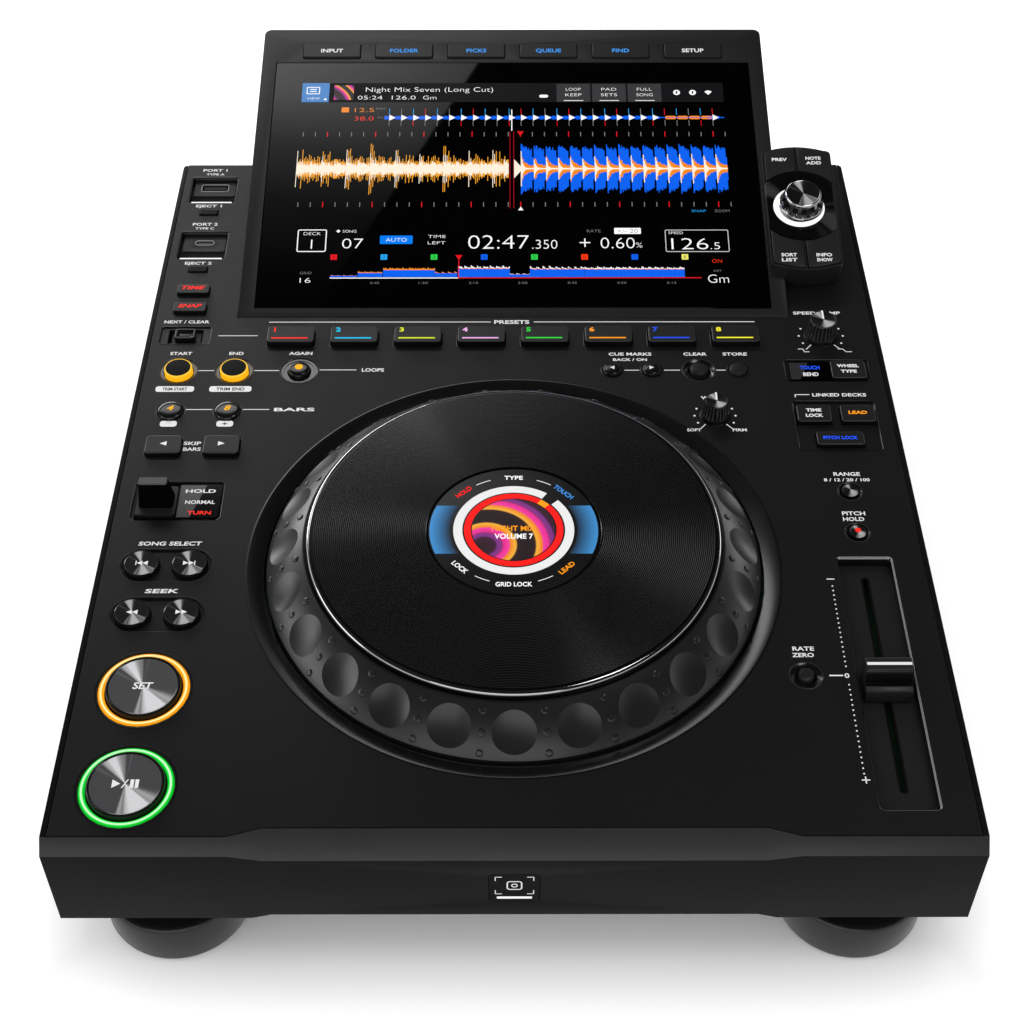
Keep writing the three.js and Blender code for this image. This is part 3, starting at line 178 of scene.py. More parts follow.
class Finish:
    """A named surface whose material is made once and shared."""

    name: str
    made: dict[str, bpy.types.Material] = {}

    def material(self) -> bpy.types.Material:
        """Return the finish's material, making it at first use.

        Returns:
            The material.
        """
        if self.name not in self.made:
            material = bpy.data.materials.new(self.name)
            material.use_nodes = True
            tree = Tree(material.node_tree)
            shader = self.surface(tree)
            tree.node("ShaderNodeOutputMaterial", {"Surface": shader.outputs[0]})
            self.made[self.name] = material
        return self.made[self.name]

    def surface(self, tree: Tree) -> bpy.types.Node:
        """Build the shader of the finish and return it."""
        raise NotImplementedError

    @staticmethod
    def grain(
        tree: Tree, scale: float, detail: float = 2.0, stretch: Point = (1, 1, 1)
    ) -> bpy.types.NodeSocket:
        """Add a noise on Object coordinates and return its factor."""
        place = tree.node("ShaderNodeTexCoord").outputs["Object"]
        mapping = tree.node("ShaderNodeMapping", {"Vector": place, "Scale": tuple(stretch)})
        vector = mapping.outputs["Vector"]
        noise = tree.node("ShaderNodeTexNoise", {"Vector": vector, "Scale": scale, "Detail": detail})
        return noise.outputs[0]

    @staticmethod
    def blend(tree: Tree, factor: bpy.types.NodeSocket, low: Point, high: Point) -> bpy.types.NodeSocket:
        """Add a ramp between two colours and return its colour."""
        return tree.ramp(factor, ((0.3, low), (0.7, high)))

    @staticmethod
    def between(tree: Tree, factor: bpy.types.NodeSocket, low: float, high: float) -> bpy.types.NodeSocket:
        """Add a map range that turns a factor into a value between two ends."""
        return tree.node("ShaderNodeMapRange", {"Value": factor, "To Min": low, "To Max": high}).outputs[0]


@dataclass(frozen=True)
class Moulded(Finish):
    """Moulded plastic, rubber or paint with a fine texture.

    Attributes:
        colour: Middle colour.
        roughness: Middle roughness.
        grain_scale: Features of the texture per metre.
        grain_height: Height of the texture in millimetres.
        mottle: Share by which the colour varies.
        gloss: Specular level.
        coat: Weight of a clear coat.
        coat_roughness: Roughness of that coat.
    """

    name: str
    colour: str
    roughness: float
    grain_scale: float = 1500.0
    grain_height: float = 0.02
    mottle: float = 0.08
    gloss: float = 0.5
    coat: float = 0.0
    coat_roughness: float = 0.1

    def surface(self, tree: Tree) -> bpy.types.Node:
        """Build the plastic's shader.

        Args:
            tree: The material's tree.

        Returns:
            The shader.
        """
        fine = self.grain(tree, self.grain_scale)
        broad = self.grain(tree, self.grain_scale / 40, detail=3.0)
        middle = rgb(self.colour)
        colour = self.blend(tree, fine, scaled(middle, 1 - self.mottle), scaled(middle, 1 + self.mottle))
        rough = self.between(tree, broad, self.roughness - 0.05, min(self.roughness + 0.05, 1.0))
        bump = tree.node(
            "ShaderNodeBump", {"Height": fine, "Distance": self.grain_height * MM, "Strength": 0.6}
        )
        return tree.node(
            "ShaderNodeBsdfPrincipled",
            {
                "Base Color": colour,
                "Roughness": rough,
                "Specular IOR Level": self.gloss,
                "Coat Weight": self.coat,
                "Coat Roughness": self.coat_roughness,
                "Normal": bump.outputs["Normal"],
            },
        )


@dataclass(frozen=True)
class Spun(Finish):
    """Metal turned on a lathe, with fan-shaped highlights painted into its colour by angle. It follows the
    piece's own spin map.

    Attributes:
        colour: Colour between the painted highlight fans.
        painted_highlight: Colour in the middle of a fan, the painted highlight.
        roughness: Middle roughness.
        axis: Angle of the line that the two main painted fans lie on, in degrees.
        narrow: How narrow the painted fans are.
        metal: Share of metal.
        ring_scale: Turning marks per millimetre.
    """

    name: str
    colour: str
    painted_highlight: str
    roughness: float = 0.42
    axis: float = 112.0
    narrow: float = 14.0
    metal: float = 0.25
    ring_scale: float = 2.4

    def surface(self, tree: Tree) -> bpy.types.Node:
        """Build the spun metal's shader, with its painted highlight fans.

        Args:
            tree: The material's tree.

        Returns:
            The shader.
        """
        spin = tree.node("ShaderNodeUVMap", uv_map=SPIN_MAP)
        parts = tree.node("ShaderNodeSeparateXYZ", {0: spin.outputs[0]})
        marks = {"W": parts.outputs[1], "Scale": self.ring_scale, "Detail": 3.0}
        rings = tree.node("ShaderNodeTexNoise", marks, noise_dimensions="1D").outputs[0]
        angle = tree.calc("MULTIPLY", parts.outputs[0], 2 * math.pi)
        # Painted highlights: bright fans and faint rays by angle round the axis, where turned metal would
        # reflect the light
        painted_lobes: object = 0.0
        painted_fans = ((0, 0.62, 2.6 * self.narrow), (0, 0.36, 0.45 * self.narrow), (40, 0.22, 3 * self.narrow))
        for turn, share, narrow in (*painted_fans, (-37, 0.2, 3 * self.narrow), (78, 0.16, 2 * self.narrow)):
            swing = tree.calc("COSINE", tree.calc("SUBTRACT", angle, math.radians(self.axis + turn)))
            lobe = tree.calc("POWER", tree.calc("ABSOLUTE", swing), narrow)
            painted_lobes = tree.calc("ADD", painted_lobes, tree.calc("MULTIPLY", lobe, share))
        wide = tree.calc("SINE", tree.calc("MULTIPLY", angle, 8.0))
        painted_rays = tree.calc(
            "MULTIPLY", tree.calc("SINE", tree.calc("ADD", tree.calc("MULTIPLY", angle, 22.0), wide)), 0.05
        )
        painted_rays = tree.calc("ADD", painted_rays, tree.calc("MULTIPLY", wide, 0.03))
        fan = tree.calc("ADD", tree.calc("ADD", painted_lobes, painted_rays), tree.calc("MULTIPLY", rings, 0.08))
        # Painted shade: the fans on one side of the axis are made brighter than those on the other, as if lit
        # from that side
        lean = tree.calc("COSINE", tree.calc("SUBTRACT", angle, math.radians(self.axis)))
        fan = tree.calc("MULTIPLY", fan, tree.calc("SUBTRACT", 1.0, tree.calc("MULTIPLY", lean, 0.24)))
        colour = self.blend(tree, fan, rgb(self.colour), rgb(self.painted_highlight))
        rough = self.between(tree, rings, self.roughness - 0.04, self.roughness + 0.04)
        return tree.node(
            "ShaderNodeBsdfPrincipled",
            {
                "Base Color": colour,
                "Metallic": self.metal,
                "Roughness": rough,
                "Specular IOR Level": 0.25,
            },
        )


@dataclass(frozen=True)
class Metal(Finish):
    """Plain or plated metal with faint smears."""

    name: str
    colour: str
    roughness: float
    smear_scale: float = 60.0

    def surface(self, tree: Tree) -> bpy.types.Node:
        """Build the metal's shader.

        Args:
            tree: The material's tree.

        Returns:
            The shader.
        """
        smear = self.grain(tree, self.smear_scale, detail=4.0)
        middle = rgb(self.colour)
        colour = self.blend(tree, smear, scaled(middle, 0.94), scaled(middle, 1.04))
        rough = self.between(tree, smear, self.roughness * 0.8, self.roughness * 1.2)
        return tree.node(
            "ShaderNodeBsdfPrincipled", {"Base Color": colour, "Metallic": 1.0, "Roughness": rough}
        )


@dataclass(frozen=True)
class Glass(Finish):
    """Dark glass or polished acrylic with a trace of haze."""

    name: str
    colour: str
    roughness: float = 0.04
    gloss: float = 0.5

    def surface(self, tree: Tree) -> bpy.types.Node:
        """Build the dark glass's shader.

        Args:
            tree: The material's tree.

        Returns:
            The shader.
        """
        haze = self.grain(tree, 25.0, detail=3.0)
        middle = rgb(self.colour)
        colour = self.blend(tree, haze, scaled(middle, 0.8), scaled(middle, 1.2))
        rough = self.between(tree, haze, self.roughness * 0.7, self.roughness * 1.3)
        return tree.node(
            "ShaderNodeBsdfPrincipled",
            {"Base Color": colour, "Roughness": rough, "Specular IOR Level": self.gloss},
        )


@dataclass(frozen=True)
class Lit(Finish):
    """An ink, lamp or picture element that gives its own light, a little uneven.

    Attributes:
        colour: Colour of the light.
        strength: How bright it shines, 1 being the colour as written.
        body: Share of the colour that also shows by the room's light.
        roughness: Roughness of the face.
        gloss: Specular level of the face.
    """

    name: str
    colour: str
    strength: float = 1.0
    body: float = 0.1
    roughness: float = 0.5
    gloss: float = 0.2

    def surface(self, tree: Tree) -> bpy.types.Node:
        """Build the lit surface's shader.

        Args:
            tree: The material's tree.

        Returns:
            The shader.
        """
        uneven = self.grain(tree, 400.0)
        middle = rgb(self.colour)
        glow = self.blend(tree, uneven, scaled(middle, 0.96), middle)
        return tree.node(
            "ShaderNodeBsdfPrincipled",
            {
                "Base Color": scaled(middle, self.body),
                "Roughness": self.roughness,
                "Specular IOR Level": self.gloss,
                "Emission Color": glow,
                "Emission Strength": self.strength,
            },
        )


@dataclass(frozen=True)
class Artwork(Finish):
    """A lit abstract picture of flowing bands, laid out about a middle.

    Attributes:
        centre: Its middle, in metres.
        size: Distance over which the bands change, in metres.
        turn: Angle of the bands in degrees.
    """

    name: str
    centre: Point
    size: float
    turn: float = 35.0

    def surface(self, tree: Tree) -> bpy.types.Node:
        """Build the picture's shader.

        Args:
            tree: The material's tree.

        Returns:
            The shader.
        """
        place = tree.node("ShaderNodeTexCoord").outputs["Object"]
        shift = tree.node(
            "ShaderNodeMapping",
            {
                "Vector": place,
                "Location": tuple(aside - c for aside, c in zip((0.012, 0.009, 0.0), self.centre))
            }
        )
        share = 1 / self.size
        laid = tree.node(
            "ShaderNodeMapping",
            {
                "Vector": shift.outputs[0],
                "Rotation": (0.0, 0.0, math.radians(self.turn)),
                "Scale": (share, share, share),
            },
        )
        bands = {
            "Vector": laid.outputs[0], "Scale": 0.13, "Distortion": 3.2, "Detail": 1.0, "Detail Scale": 0.6
        }
        wave = tree.node("ShaderNodeTexWave", bands, wave_type="RINGS", rings_direction="SPHERICAL")
        ramp = tree.node("ShaderNodeValToRGB", {"Fac": wave.outputs["Fac"]})
        stops = ((0.0, "240812"), (0.2, "3c1030"), (0.26, "7a2a86"), (0.42, "8c2c78"), (0.46, "e8218c"))
        stops += ((0.66, "f23aa0"), (0.7, "f07a1a"), (0.86, "f8b436"), (0.9, "2a0a10"), (1.0, "160408"))
        elements = ramp.color_ramp.elements
        for i, (spot, tone) in enumerate(stops):
            element = elements[i] if i < 2 else elements.new(spot)
            element.position = spot
            element.color = rgb(tone)
        return tree.node(
            "ShaderNodeBsdfPrincipled",
            {
                "Base Color": (0.01, 0.01, 0.01, 1),
                "Roughness": 0.3,
                "Emission Color": ramp.outputs[0],
                "Emission Strength": 1.0,
            },
        )


@dataclass(frozen=True)
class RoundFade(Finish):
    """A lit panel whose colour grows from an inner to an outer radius.

    Attributes:
        centre: Middle of the radii, in metres.
        inner: Radius at which it is dark, in metres.
        outer: Radius at which it has its colour, in metres.
        colour: Its full colour.
    """

    name: str
    centre: Point
    inner: float
    outer: float
    colour: str

    def surface(self, tree: Tree) -> bpy.types.Node:
        """Build the panel's shader.

        Args:
            tree: The material's tree.

        Returns:
            The shader.
        """
        place = tree.node("ShaderNodeTexCoord").outputs["Object"]
        shift = tree.node("ShaderNodeMapping", {"Vector": place, "Location": tuple(-c for c in self.centre)})
        flat = tree.node("ShaderNodeVectorMath", {0: shift.outputs[0], 1: (1, 1, 0)}, operation="MULTIPLY")
        reach = tree.node("ShaderNodeVectorMath", {0: flat.outputs[0]}, operation="LENGTH").outputs["Value"]
        spread = {"Value": reach, "From Min": self.inner, "From Max": self.outer}
        share = tree.node("ShaderNodeMapRange", spread).outputs[0]
        ramp = tree.node("ShaderNodeValToRGB", {"Fac": share})
        ramp.color_ramp.elements[0].color = (0.002, 0.003, 0.005, 1)
        ramp.color_ramp.elements[1].color = rgb(self.colour)
        return tree.node(
            "ShaderNodeBsdfPrincipled",
            {
                "Base Color": (0.01, 0.01, 0.01, 1),
                "Roughness": 0.3,
                "Emission Color": ramp.outputs[0],
                "Emission Strength": 1.0,
            },
        )


@dataclass(frozen=True)
class Board(Finish):
    """Green solder mask over copper tracks."""

    name: str
    colour: str

    def surface(self, tree: Tree) -> bpy.types.Node:
        """Build the circuit board's shader.

        Args:
            tree: The material's tree.

        Returns:
            The shader.
        """
        tracks = self.grain(tree, 180.0, detail=0.0, stretch=(1, 0.15, 1))
        middle = rgb(self.colour)
        colour = self.blend(tree, tracks, scaled(middle, 0.7), scaled(middle, 1.3))
        return tree.node("ShaderNodeBsdfPrincipled", {"Base Color": colour, "Roughness": 0.35})


SPIN_MAP = "spin"

DECK_PLASTIC = Moulded("deck_textured_plastic", "0a0a0a", 0.47, grain_scale=2200, mottle=0.35, gloss=0.5)
CASE_PLASTIC = Moulded("case_satin_plastic", "0d0d0d", 0.42, grain_height=0.008, mottle=0.08, gloss=0.15)
# Lighter copy of the case plastic for faces that look up and forward: painted light
CHAMFER_PAINTED_LIGHT = Moulded("case_edge_painted_light", "2a2a2a", 0.36, grain_height=0.006, mottle=0.05, gloss=0.6)
HOUSING_PLASTIC = Moulded("display_housing_plastic", "1b1b1b", 0.36, grain_height=0.01, mottle=0.06)
KEY_PLASTIC = Moulded("key_plastic", "1a1a1a", 0.38, grain_height=0.006, mottle=0.05)
# Darker copy of the key plastic for walls: painted shade
KEY_SIDE_SHADE = Moulded("key_side_painted_shade", "050505", 0.4, grain_height=0.004, mottle=0.05, gloss=0.3)
# Lighter copy of the key plastic for rounded edges: painted highlight
KEY_EDGE_HIGHLIGHT = Moulded("key_edge_painted_highlight", "2e2e2e", 0.3, grain_height=0.004, mottle=0.05, gloss=0.9)
# Lighter finish for well lips: painted highlight
WELL_LIP_HIGHLIGHT = Moulded("well_lip_painted_highlight", "303030", 0.25, grain_height=0.0, mottle=0.04, gloss=0.9)
BUTTON_SATIN = Moulded("button_satin_black", "050505", 0.4, grain_height=0.001, mottle=0.04, gloss=0.14)
BUTTON_GLOSS = Moulded("button_gloss_black", "0c0c0c", 0.2, grain_height=0.0, mottle=0.04, coat=0.5)
BAY_PLASTIC = Moulded("bay_plastic", "1c1c1c", 0.4, grain_height=0.008, mottle=0.06)
TRIM_PLASTIC = Moulded("gloss_black_trim", "0c0c0c", 0.22, grain_height=0.0, mottle=0.04, coat=0.4)
DARK_PLASTIC = Moulded("dark_recess_plastic", "060606", 0.6, grain_height=0.01, mottle=0.1, gloss=0.2)
SHUTTER_PAINTED_LIGHT = Moulded("shutter_painted_light", "404040", 0.5, grain_height=0.006, mottle=0.06, gloss=0.3)
TRAY_PAINT = Moulded("tray_powder_coat", "141416", 0.5, grain_scale=900, grain_height=0.03, mottle=0.1)
SOCKET_BLACK = Moulded("socket_black_plastic", "0b0b0c", 0.45, grain_height=0.01)
RING_RUBBER = Moulded(
    "jog_ring_rubber", "161616", 0.34, grain_height=0.006, mottle=0.05, gloss=0.8, coat=0.4,
    coat_roughness=0.25
)
PLATTER_BLACK = Moulded("jog_plate_black", "050505", 0.18, grain_height=0.001, mottle=0.04, gloss=0.5)
FOOT_BLACK = Moulded("foot_satin_black", "141414", 0.3, grain_height=0.004, mottle=0.05, gloss=0.7, coat=0.3)
FOOT_PAD = Moulded("foot_pad_rubber", "0a0a0a", 0.8, grain_height=0.03)
KNOB_BLACK = Moulded("knob_black", "0b0b0b", 0.28, grain_height=0.002, mottle=0.05, coat=0.4)
WELL_TRIM = Moulded(
    "well_trim_gloss", "080808", 0.2, grain_height=0.002, mottle=0.04, gloss=0.8, coat=0.8,
    coat_roughness=0.12
)
POD_PLASTIC = Moulded("pod_key_plastic", "1e1e1e", 0.36, grain_height=0.004, mottle=0.05)
PORT_FACE = Moulded("port_face_plastic", "2a2a2b", 0.42, grain_height=0.008)
PORT_RIM = Moulded("port_rim_paint", "a4a4a4", 0.4, grain_height=0.0)
# Lit and shaded copies of the lever plastic: painted light on top, painted shade on the sides
LEVER_TOP_PAINTED_LIGHT = Moulded("lever_top_painted_light", "484848", 0.32, grain_height=0.004)
LEVER_SIDE_PAINTED_SHADE = Moulded("lever_side_painted_shade", "020202", 0.6, grain_height=0.003, gloss=0.04)
FADER_PAD_PAINTED_LIGHT = Moulded("fader_pad_painted_light", "2c2c2c", 0.34, grain_height=0.004, mottle=0.05)
RED_JACK = Moulded("red_jack_plastic", "a32020", 0.4)
WHITE_JACK = Moulded("white_jack_plastic", "d8d8d4", 0.4)
# These four finishes paint highlight fans into their colour
SPUN_STEEL = Spun("spun_key_metal_painted_fans", "4c4c4e", "ececee", 0.42, 121.0, 12.0)
SPUN_DARK = Spun("spun_dark_metal_painted_fans", "121212", "b8b8ba", 0.4, 110.0, 12.0)
SPUN_KNOB = Spun("spun_knob_metal_painted_fans", "161616", "c0c0c2", 0.4, 118.0, 8.0)
SPUN_PLATE = Spun("selector_plate_spun_painted_fans", "0a0a0a", "3c3c3c", 0.2, 148.0, 16.0, 0.2)
CHROME = Metal("chrome_trim", "d6d7da", 0.07)
SELECTOR_CHROME = Metal("selector_chrome", "c4c4c6", 0.12)
NICKEL = Metal("nickel_contacts", "b0aca2", 0.3)
# Pale finish for bay bevels: painted highlight
BAY_PAINTED_GLINT = Moulded("bay_painted_glint", "a0a0a0", 0.25, grain_height=0.001, mottle=0.04, gloss=0.7)
KNOB_RIDGE_HIGHLIGHT = Moulded("knob_ridge_painted_highlight", "343434", 0.24, grain_height=0.002, mottle=0.05, gloss=0.9)
# A lighter patch laid on dark plates: a painted reflection
GLASS_PAINTED_REFLECTION = Moulded("acrylic_painted_reflection", "2e2e2e", 0.12, grain_height=0.0, mottle=0.05, gloss=0.8)
GROOVE_PAINTED_SHEEN = Moulded("jog_plate_groove_painted_sheen", "262626", 0.3, grain_height=0.001, mottle=0.04, gloss=0.8)
GILT = Metal("gilt_contacts", "c8a455", 0.3)
SCREW_BLACK = Metal("screw_black_zinc", "2a2a2c", 0.38)
SCREEN_GLASS = Glass("display_glass", "010101", 0.03)
HUB_GLASS = Moulded("hub_face", "101010", 0.34, grain_height=0.0, mottle=0.05)
WINDOW_GLASS = Glass("window_black_acrylic", "020202", 0.05, 0.12)
BOARD_GREEN = Board("circuit_board", "1d4a2b")
# Printed white legends glow faintly of their own: painted light, as print gives none
WHITE_INK_GLOW = Lit("white_legend_ink_painted_glow", "ececec", 0.25, 0.75)
BLACK_INK = Moulded("black_legend_ink", "101010", 0.5, grain_height=0.0)
WHITE_LIGHT = Lit("white_lamp", "ffffff", 1.0)
RED_LIGHT = Lit("red_lamp", "ff2a20", 1.0)
BLUE_LIGHT = Lit("blue_lamp", "1d4ff2", 1.0)
SKY_LIGHT = Lit("sky_lamp", "10c4f2", 1.0)
GREEN_LIGHT = Lit("green_lamp", "27d83c", 1.0)
ORANGE_LIGHT = Lit("orange_lamp", "ff9a1a", 1.0)
AMBER_LIGHT = Lit("amber_lamp", "fdb515", 1.0)
YELLOW_LIGHT = Lit("yellow_lamp", "f5ea2a", 1.0)
LIME_LIGHT = Lit("lime_lamp", "d8e62a", 1.0)
PINK_LIGHT = Lit("pink_lamp", "f0b0ea", 1.0)
AMBER_RIM = Lit("amber_rim", "ffc837", 1.0)
SKY_WORD = Lit("sky_word_lamp", "3f93e6", 1.0)
WORD_BLUE = Lit("blue_word_lamp", "1a55ff", 1.0)
WORD_AMBER = Lit("amber_word_lamp", "ff9c10", 1.0)
CUE_GLOW = Lit("cue_ring_glow", "ffa008", 1.0)
CUE_BLOOM = Lit("cue_ring_bloom", "ffc04a", 1.0)
PLAY_BLOOM = Lit("play_ring_bloom", "52ee6a", 1.0)
CUE_CORE = Lit("cue_ring_core", "fff6b0", 1.0)
PLAY_GLOW = Lit("play_ring_glow", "00c628", 1.0)
PLAY_CORE = Lit("play_ring_core", "d4ffd0", 1.0)
HUB_WHITE = Lit("hub_white_ring", "e8e8e8", 1.0)
HUB_RED = Lit("hub_red_ring", "ff1410", 1.0)


@dataclass(frozen=True)
class Plate:
    """A rounded rectangle, or a circle where both sides are twice the corner, ready to be drawn in.

    Attributes:
        width: Size along X.
        depth: Size along Y.
        corner: Radius of the corners.
        x: Middle along X.
        y: Middle along Y.
        steps: Parts of each corner's arc.
        lean: Shift of X for each step of Y, for slanted plates.
    """

    width: float
    depth: float
    corner: float
    x: float = 0.0
    y: float = 0.0
    steps: int = 5
    lean: float = 0.0

    def grown(self, by: float) -> "Plate":
        """Return the plate with each side moved out."""
        corner = max(self.corner + by, 0.05)
        return Plate(self.width + 2 * by, self.depth + 2 * by, corner, self.x, self.y, self.steps, self.lean)

    def ring(self, inset: float, level: float) -> list[Point]:
        """Return the outline drawn in by an inset, at a level.

        Args:
            inset: How far each side moves in.
            level: Height of the ring.

        Returns:
            Points round the outline, anticlockwise from above.
        """
        half_x = self.width / 2 - inset
        half_y = self.depth / 2 - inset
        corner = max(min(self.corner - inset, half_x, half_y), min(0.05, half_x, half_y))
        points = []
        for quarter in range(4):
            turn = quarter * math.pi / 2
            side_x = (1, -1, -1, 1)[quarter]
            side_y = (1, 1, -1, -1)[quarter]
            for step in range(self.steps + 1):
                angle = turn + step / self.steps * math.pi / 2
                x = side_x * (half_x - corner) + corner * math.cos(angle)
                y = side_y * (half_y - corner) + corner * math.sin(angle)
                points.append((self.x + x + self.lean * y, self.y + y, level))
        return points


def round_ring(radius: float, count: int, level: float, x: float = 0.0, y: float = 0.0) -> list[Point]:
    """Return points round a circle at a level."""
    angles = [2 * math.pi * i / count for i in range(count)]
    return [(x + radius * math.cos(a), y + radius * math.sin(a), level) for a in angles]


def disc(radius: float, x: float = 0.0, y: float = 0.0, sides: int = 64) -> Plate:
    """Return a round plate with about that many sides."""
    return Plate(2 * radius, 2 * radius, radius, x, y, steps=max(sides // 4, 2))


def rounded_section(low: float, high: float, edge: float, steps: int = 3, draft: float = 0.0) -> list[Pair]:
    """Return the section of a cap with a rounded top edge, as pairs of inset and level.

    Args:
        low: Level of the foot.
        high: Level of the top.
        edge: Radius of the edge.
        steps: Parts of the edge's arc.
        draft: How far the wall leans in on its way up.

    Returns:
        Pairs from the foot to the top.
    """
    section = [(0.0, low)]
    for step in range(steps + 1):
        angle = step / steps * math.pi / 2
        section.append((draft + edge * (1 - math.cos(angle)), high - edge * (1 - math.sin(angle))))
    return section


class Draft:
    """A mesh in the making, in millimetres, with one finish number for each face."""

    def __init__(self) -> None:
        """Start with no points."""
        self.points: list[Point] = []
        self.faces: list[tuple[int, ...]] = []
        self.inks: list[int] = []

    def ring(self, points: Iterable[Point]) -> list[int]:
        """Add points and return their numbers."""
        first = len(self.points)
        self.points.extend(tuple(p) for p in points)
        return list(range(first, len(self.points)))

    def face(self, corners: Sequence[int], ink: int = 0) -> None:
        """Add one face."""
        self.faces.append(tuple(corners))
        self.inks.append(ink)

    def bridge(self, low: list[int], high: list[int], ink: int = 0) -> None:
        """Join two rings with a band of faces; a ring of one point makes a fan.

        Args:
            low: The lower or outer ring.
            high: The upper or inner ring.
            ink: Finish number of the band.
        """
        count = max(len(low), len(high))
        for i in range(count):
            j = (i + 1) % count
            if len(high) == 1:
                self.face((low[i], low[j], high[0]), ink)
            elif len(low) == 1:
                self.face((low[0], high[j], high[i]), ink)
            else:
                self.face((low[i], low[j], high[j], high[i]), ink)

    def sweep(
        self,
        plate: Plate,
        section: Sequence[Pair],
        loop: bool = False,
        ink: int = 0,
        inks: dict[int, int] | None = None,
    ) -> None:
        """Carry a section of insets and levels round a plate's outline.

        Args:
            plate: The outline.
            section: Pairs of inset and level.
            loop: Whether the section closes on itself, as in a frame; otherwise both ends are capped.
            ink: Finish number.
            inks: Other finish numbers by the number of the band; the last band is the top cap.
        """
        rings = [self.ring(plate.ring(inset, level)) for inset, level in section]
        other = inks or {}
        for i, (low, high) in enumerate(zip(rings, rings[1:])):
            self.bridge(low, high, other.get(i, ink))
        if loop:
            self.bridge(rings[-1], rings[0], ink)
            return
        self.face(rings[0][::-1], ink)
        top, top_ink = rings[-1], other.get(len(rings) - 1, ink)
        inset, level = section[-1]
        if len(section) > 2 and min(plate.width, plate.depth) > 2 * inset + 2:
            # A narrow flat band keeps the top's shading flat up to its edge
            band = self.ring(plate.ring(inset + 0.25, level))
            self.bridge(top, band, top_ink)
            top = band
        self.face(top, top_ink)

    def turned(
        self,
        profile: Sequence[Pair],
        sides: int,
        x: float = 0.0,
        y: float = 0.0,
        loop: bool = False,
        ink: int = 0,
        inks: dict[int, int] | None = None,
    ) -> None:
        """Turn a profile of radii and levels about a standing axis.

        Args:
            profile: Pairs of radius and level; a radius of zero is a pole.
            sides: Number of sides.
            x: Axis along X.
            y: Axis along Y.
            loop: Whether the profile closes on itself.
            ink: Finish number.
            inks: Other finish numbers by the number of the band.
        """
        other = inks or {}
        rings = []
        for radius, level in profile:
            count = sides if radius > 0 else 1
            angles = [2 * math.pi * i / sides for i in range(count)]
            rings.append(
                self.ring((x + radius * math.cos(a), y + radius * math.sin(a), level) for a in angles)
            )
        for i, (low, high) in enumerate(zip(rings, rings[1:])):
            self.bridge(low, high, other.get(i, ink))
        if loop:
            self.bridge(rings[-1], rings[0], ink)

    def arc(
        self, inner: float, outer: float, start: float, end: float, low: float, high: float, x: float,
        y: float, ink: int
    ) -> None:
        """Add a raised piece of a flat ring between two angles in degrees.

        Args:
            inner: Inner radius.
            outer: Outer radius.
            start: First angle.
            end: Last angle.
            low: Lower level.
            high: Upper level.
            x: Middle along X.
            y: Middle along Y.
            ink: Finish number.
        """
        steps = max(int(abs(end - start) / 3), 1)
        rings = []
        for radius, level in ((outer, low), (outer, high), (inner, high), (inner, low)):
            angles = [math.radians(start + (end - start) * i / steps) for i in range(steps + 1)]
            rings.append(
                self.ring((x + radius * math.cos(a), y + radius * math.sin(a), level) for a in angles)
            )
        for i in range(4):
            a, b = rings[i], rings[(i + 1) % 4]
            for k in range(steps):
                self.face((a[k], a[k + 1], b[k + 1], b[k]), ink)
        self.face([r[0] for r in rings], ink)
        self.face([r[-1] for r in rings][::-1], ink)

    def flat(self, outline: Sequence[Pair], low: float, high: float, ink: int = 0) -> None:
        """Raise an outline of X and Y between two levels."""
        under = self.ring((x, y, low) for x, y in outline)
        over = self.ring((x, y, high) for x, y in outline)
        self.bridge(under, over, ink)
        self.face(under[::-1], ink)
        self.face(over, ink)

    def mark(self, plate: Plate, level: float, ink: int = 0) -> None:
        """Print a plate as a thin raised patch on a face at a level."""
        self.sweep(plate, [(0, level - PRINT_ROOT), (0, level + PRINT_HEIGHT)], ink=ink)

    def stroke(self, points: Sequence[Pair], width: float, level: float, ink: int = 0) -> None:
        """Print a line through points as thin raised strips.

        Args:
            points: The line's points.
            width: Its width.
            level: Level of the face that carries it.
            ink: Finish number.
        """
        for (x0, y0), (x1, y1) in zip(points, points[1:]):
            length = math.hypot(x1 - x0, y1 - y0) or 1.0
            dx, dy = (x1 - x0) / length * width / 2, (y1 - y0) / length * width / 2
            self.flat(
                [
                    (x0 - dx + dy, y0 - dy - dx),
                    (x1 + dx + dy, y1 + dy - dx),
                    (x1 + dx - dy, y1 + dy + dx),
                    (x0 - dx - dy, y0 - dy + dx),
                ],
                level - PRINT_ROOT,
                level + PRINT_HEIGHT,
                ink,
            )

    def outlined(self, plate: Plate, width: float, level: float, ink: int = 0) -> None:
        """Print a plate's outline as a thin raised frame."""
        low, high = level - PRINT_ROOT, level + PRINT_HEIGHT
        self.sweep(plate, [(0, low), (0, high), (width, high), (width, low)], loop=True, ink=ink)

    def join(self, other: "Draft", place: Matrix | None = None, ink: int | None = None) -> None:
        """Add another draft, moved by a matrix.

        Args:
            other: The draft to add.
            place: Where it goes.
            ink: One finish number for all of it, or its own where None.
        """
        moved = place or Matrix.Identity(4)
        first = len(self.points)
        self.points.extend(tuple(moved @ Vector(p)) for p in other.points)
        for corners, own in zip(other.faces, other.inks):
            self.face([first + c for c in corners], own if ink is None else ink)

    def take(self, mesh: bpy.types.Mesh, place: Matrix, ink: int = 0) -> None:
        """Add a Blender mesh, moved by a matrix, and forget the mesh.

        Args:
            mesh: The mesh to add.
            place: Where it goes.
            ink: Finish number.
        """
        first = len(self.points)
        self.points.extend(tuple(place @ v.co) for v in mesh.vertices)
        for polygon in mesh.polygons:
            self.face([first + v for v in polygon.vertices], ink)
        bpy.data.meshes.remove(mesh)

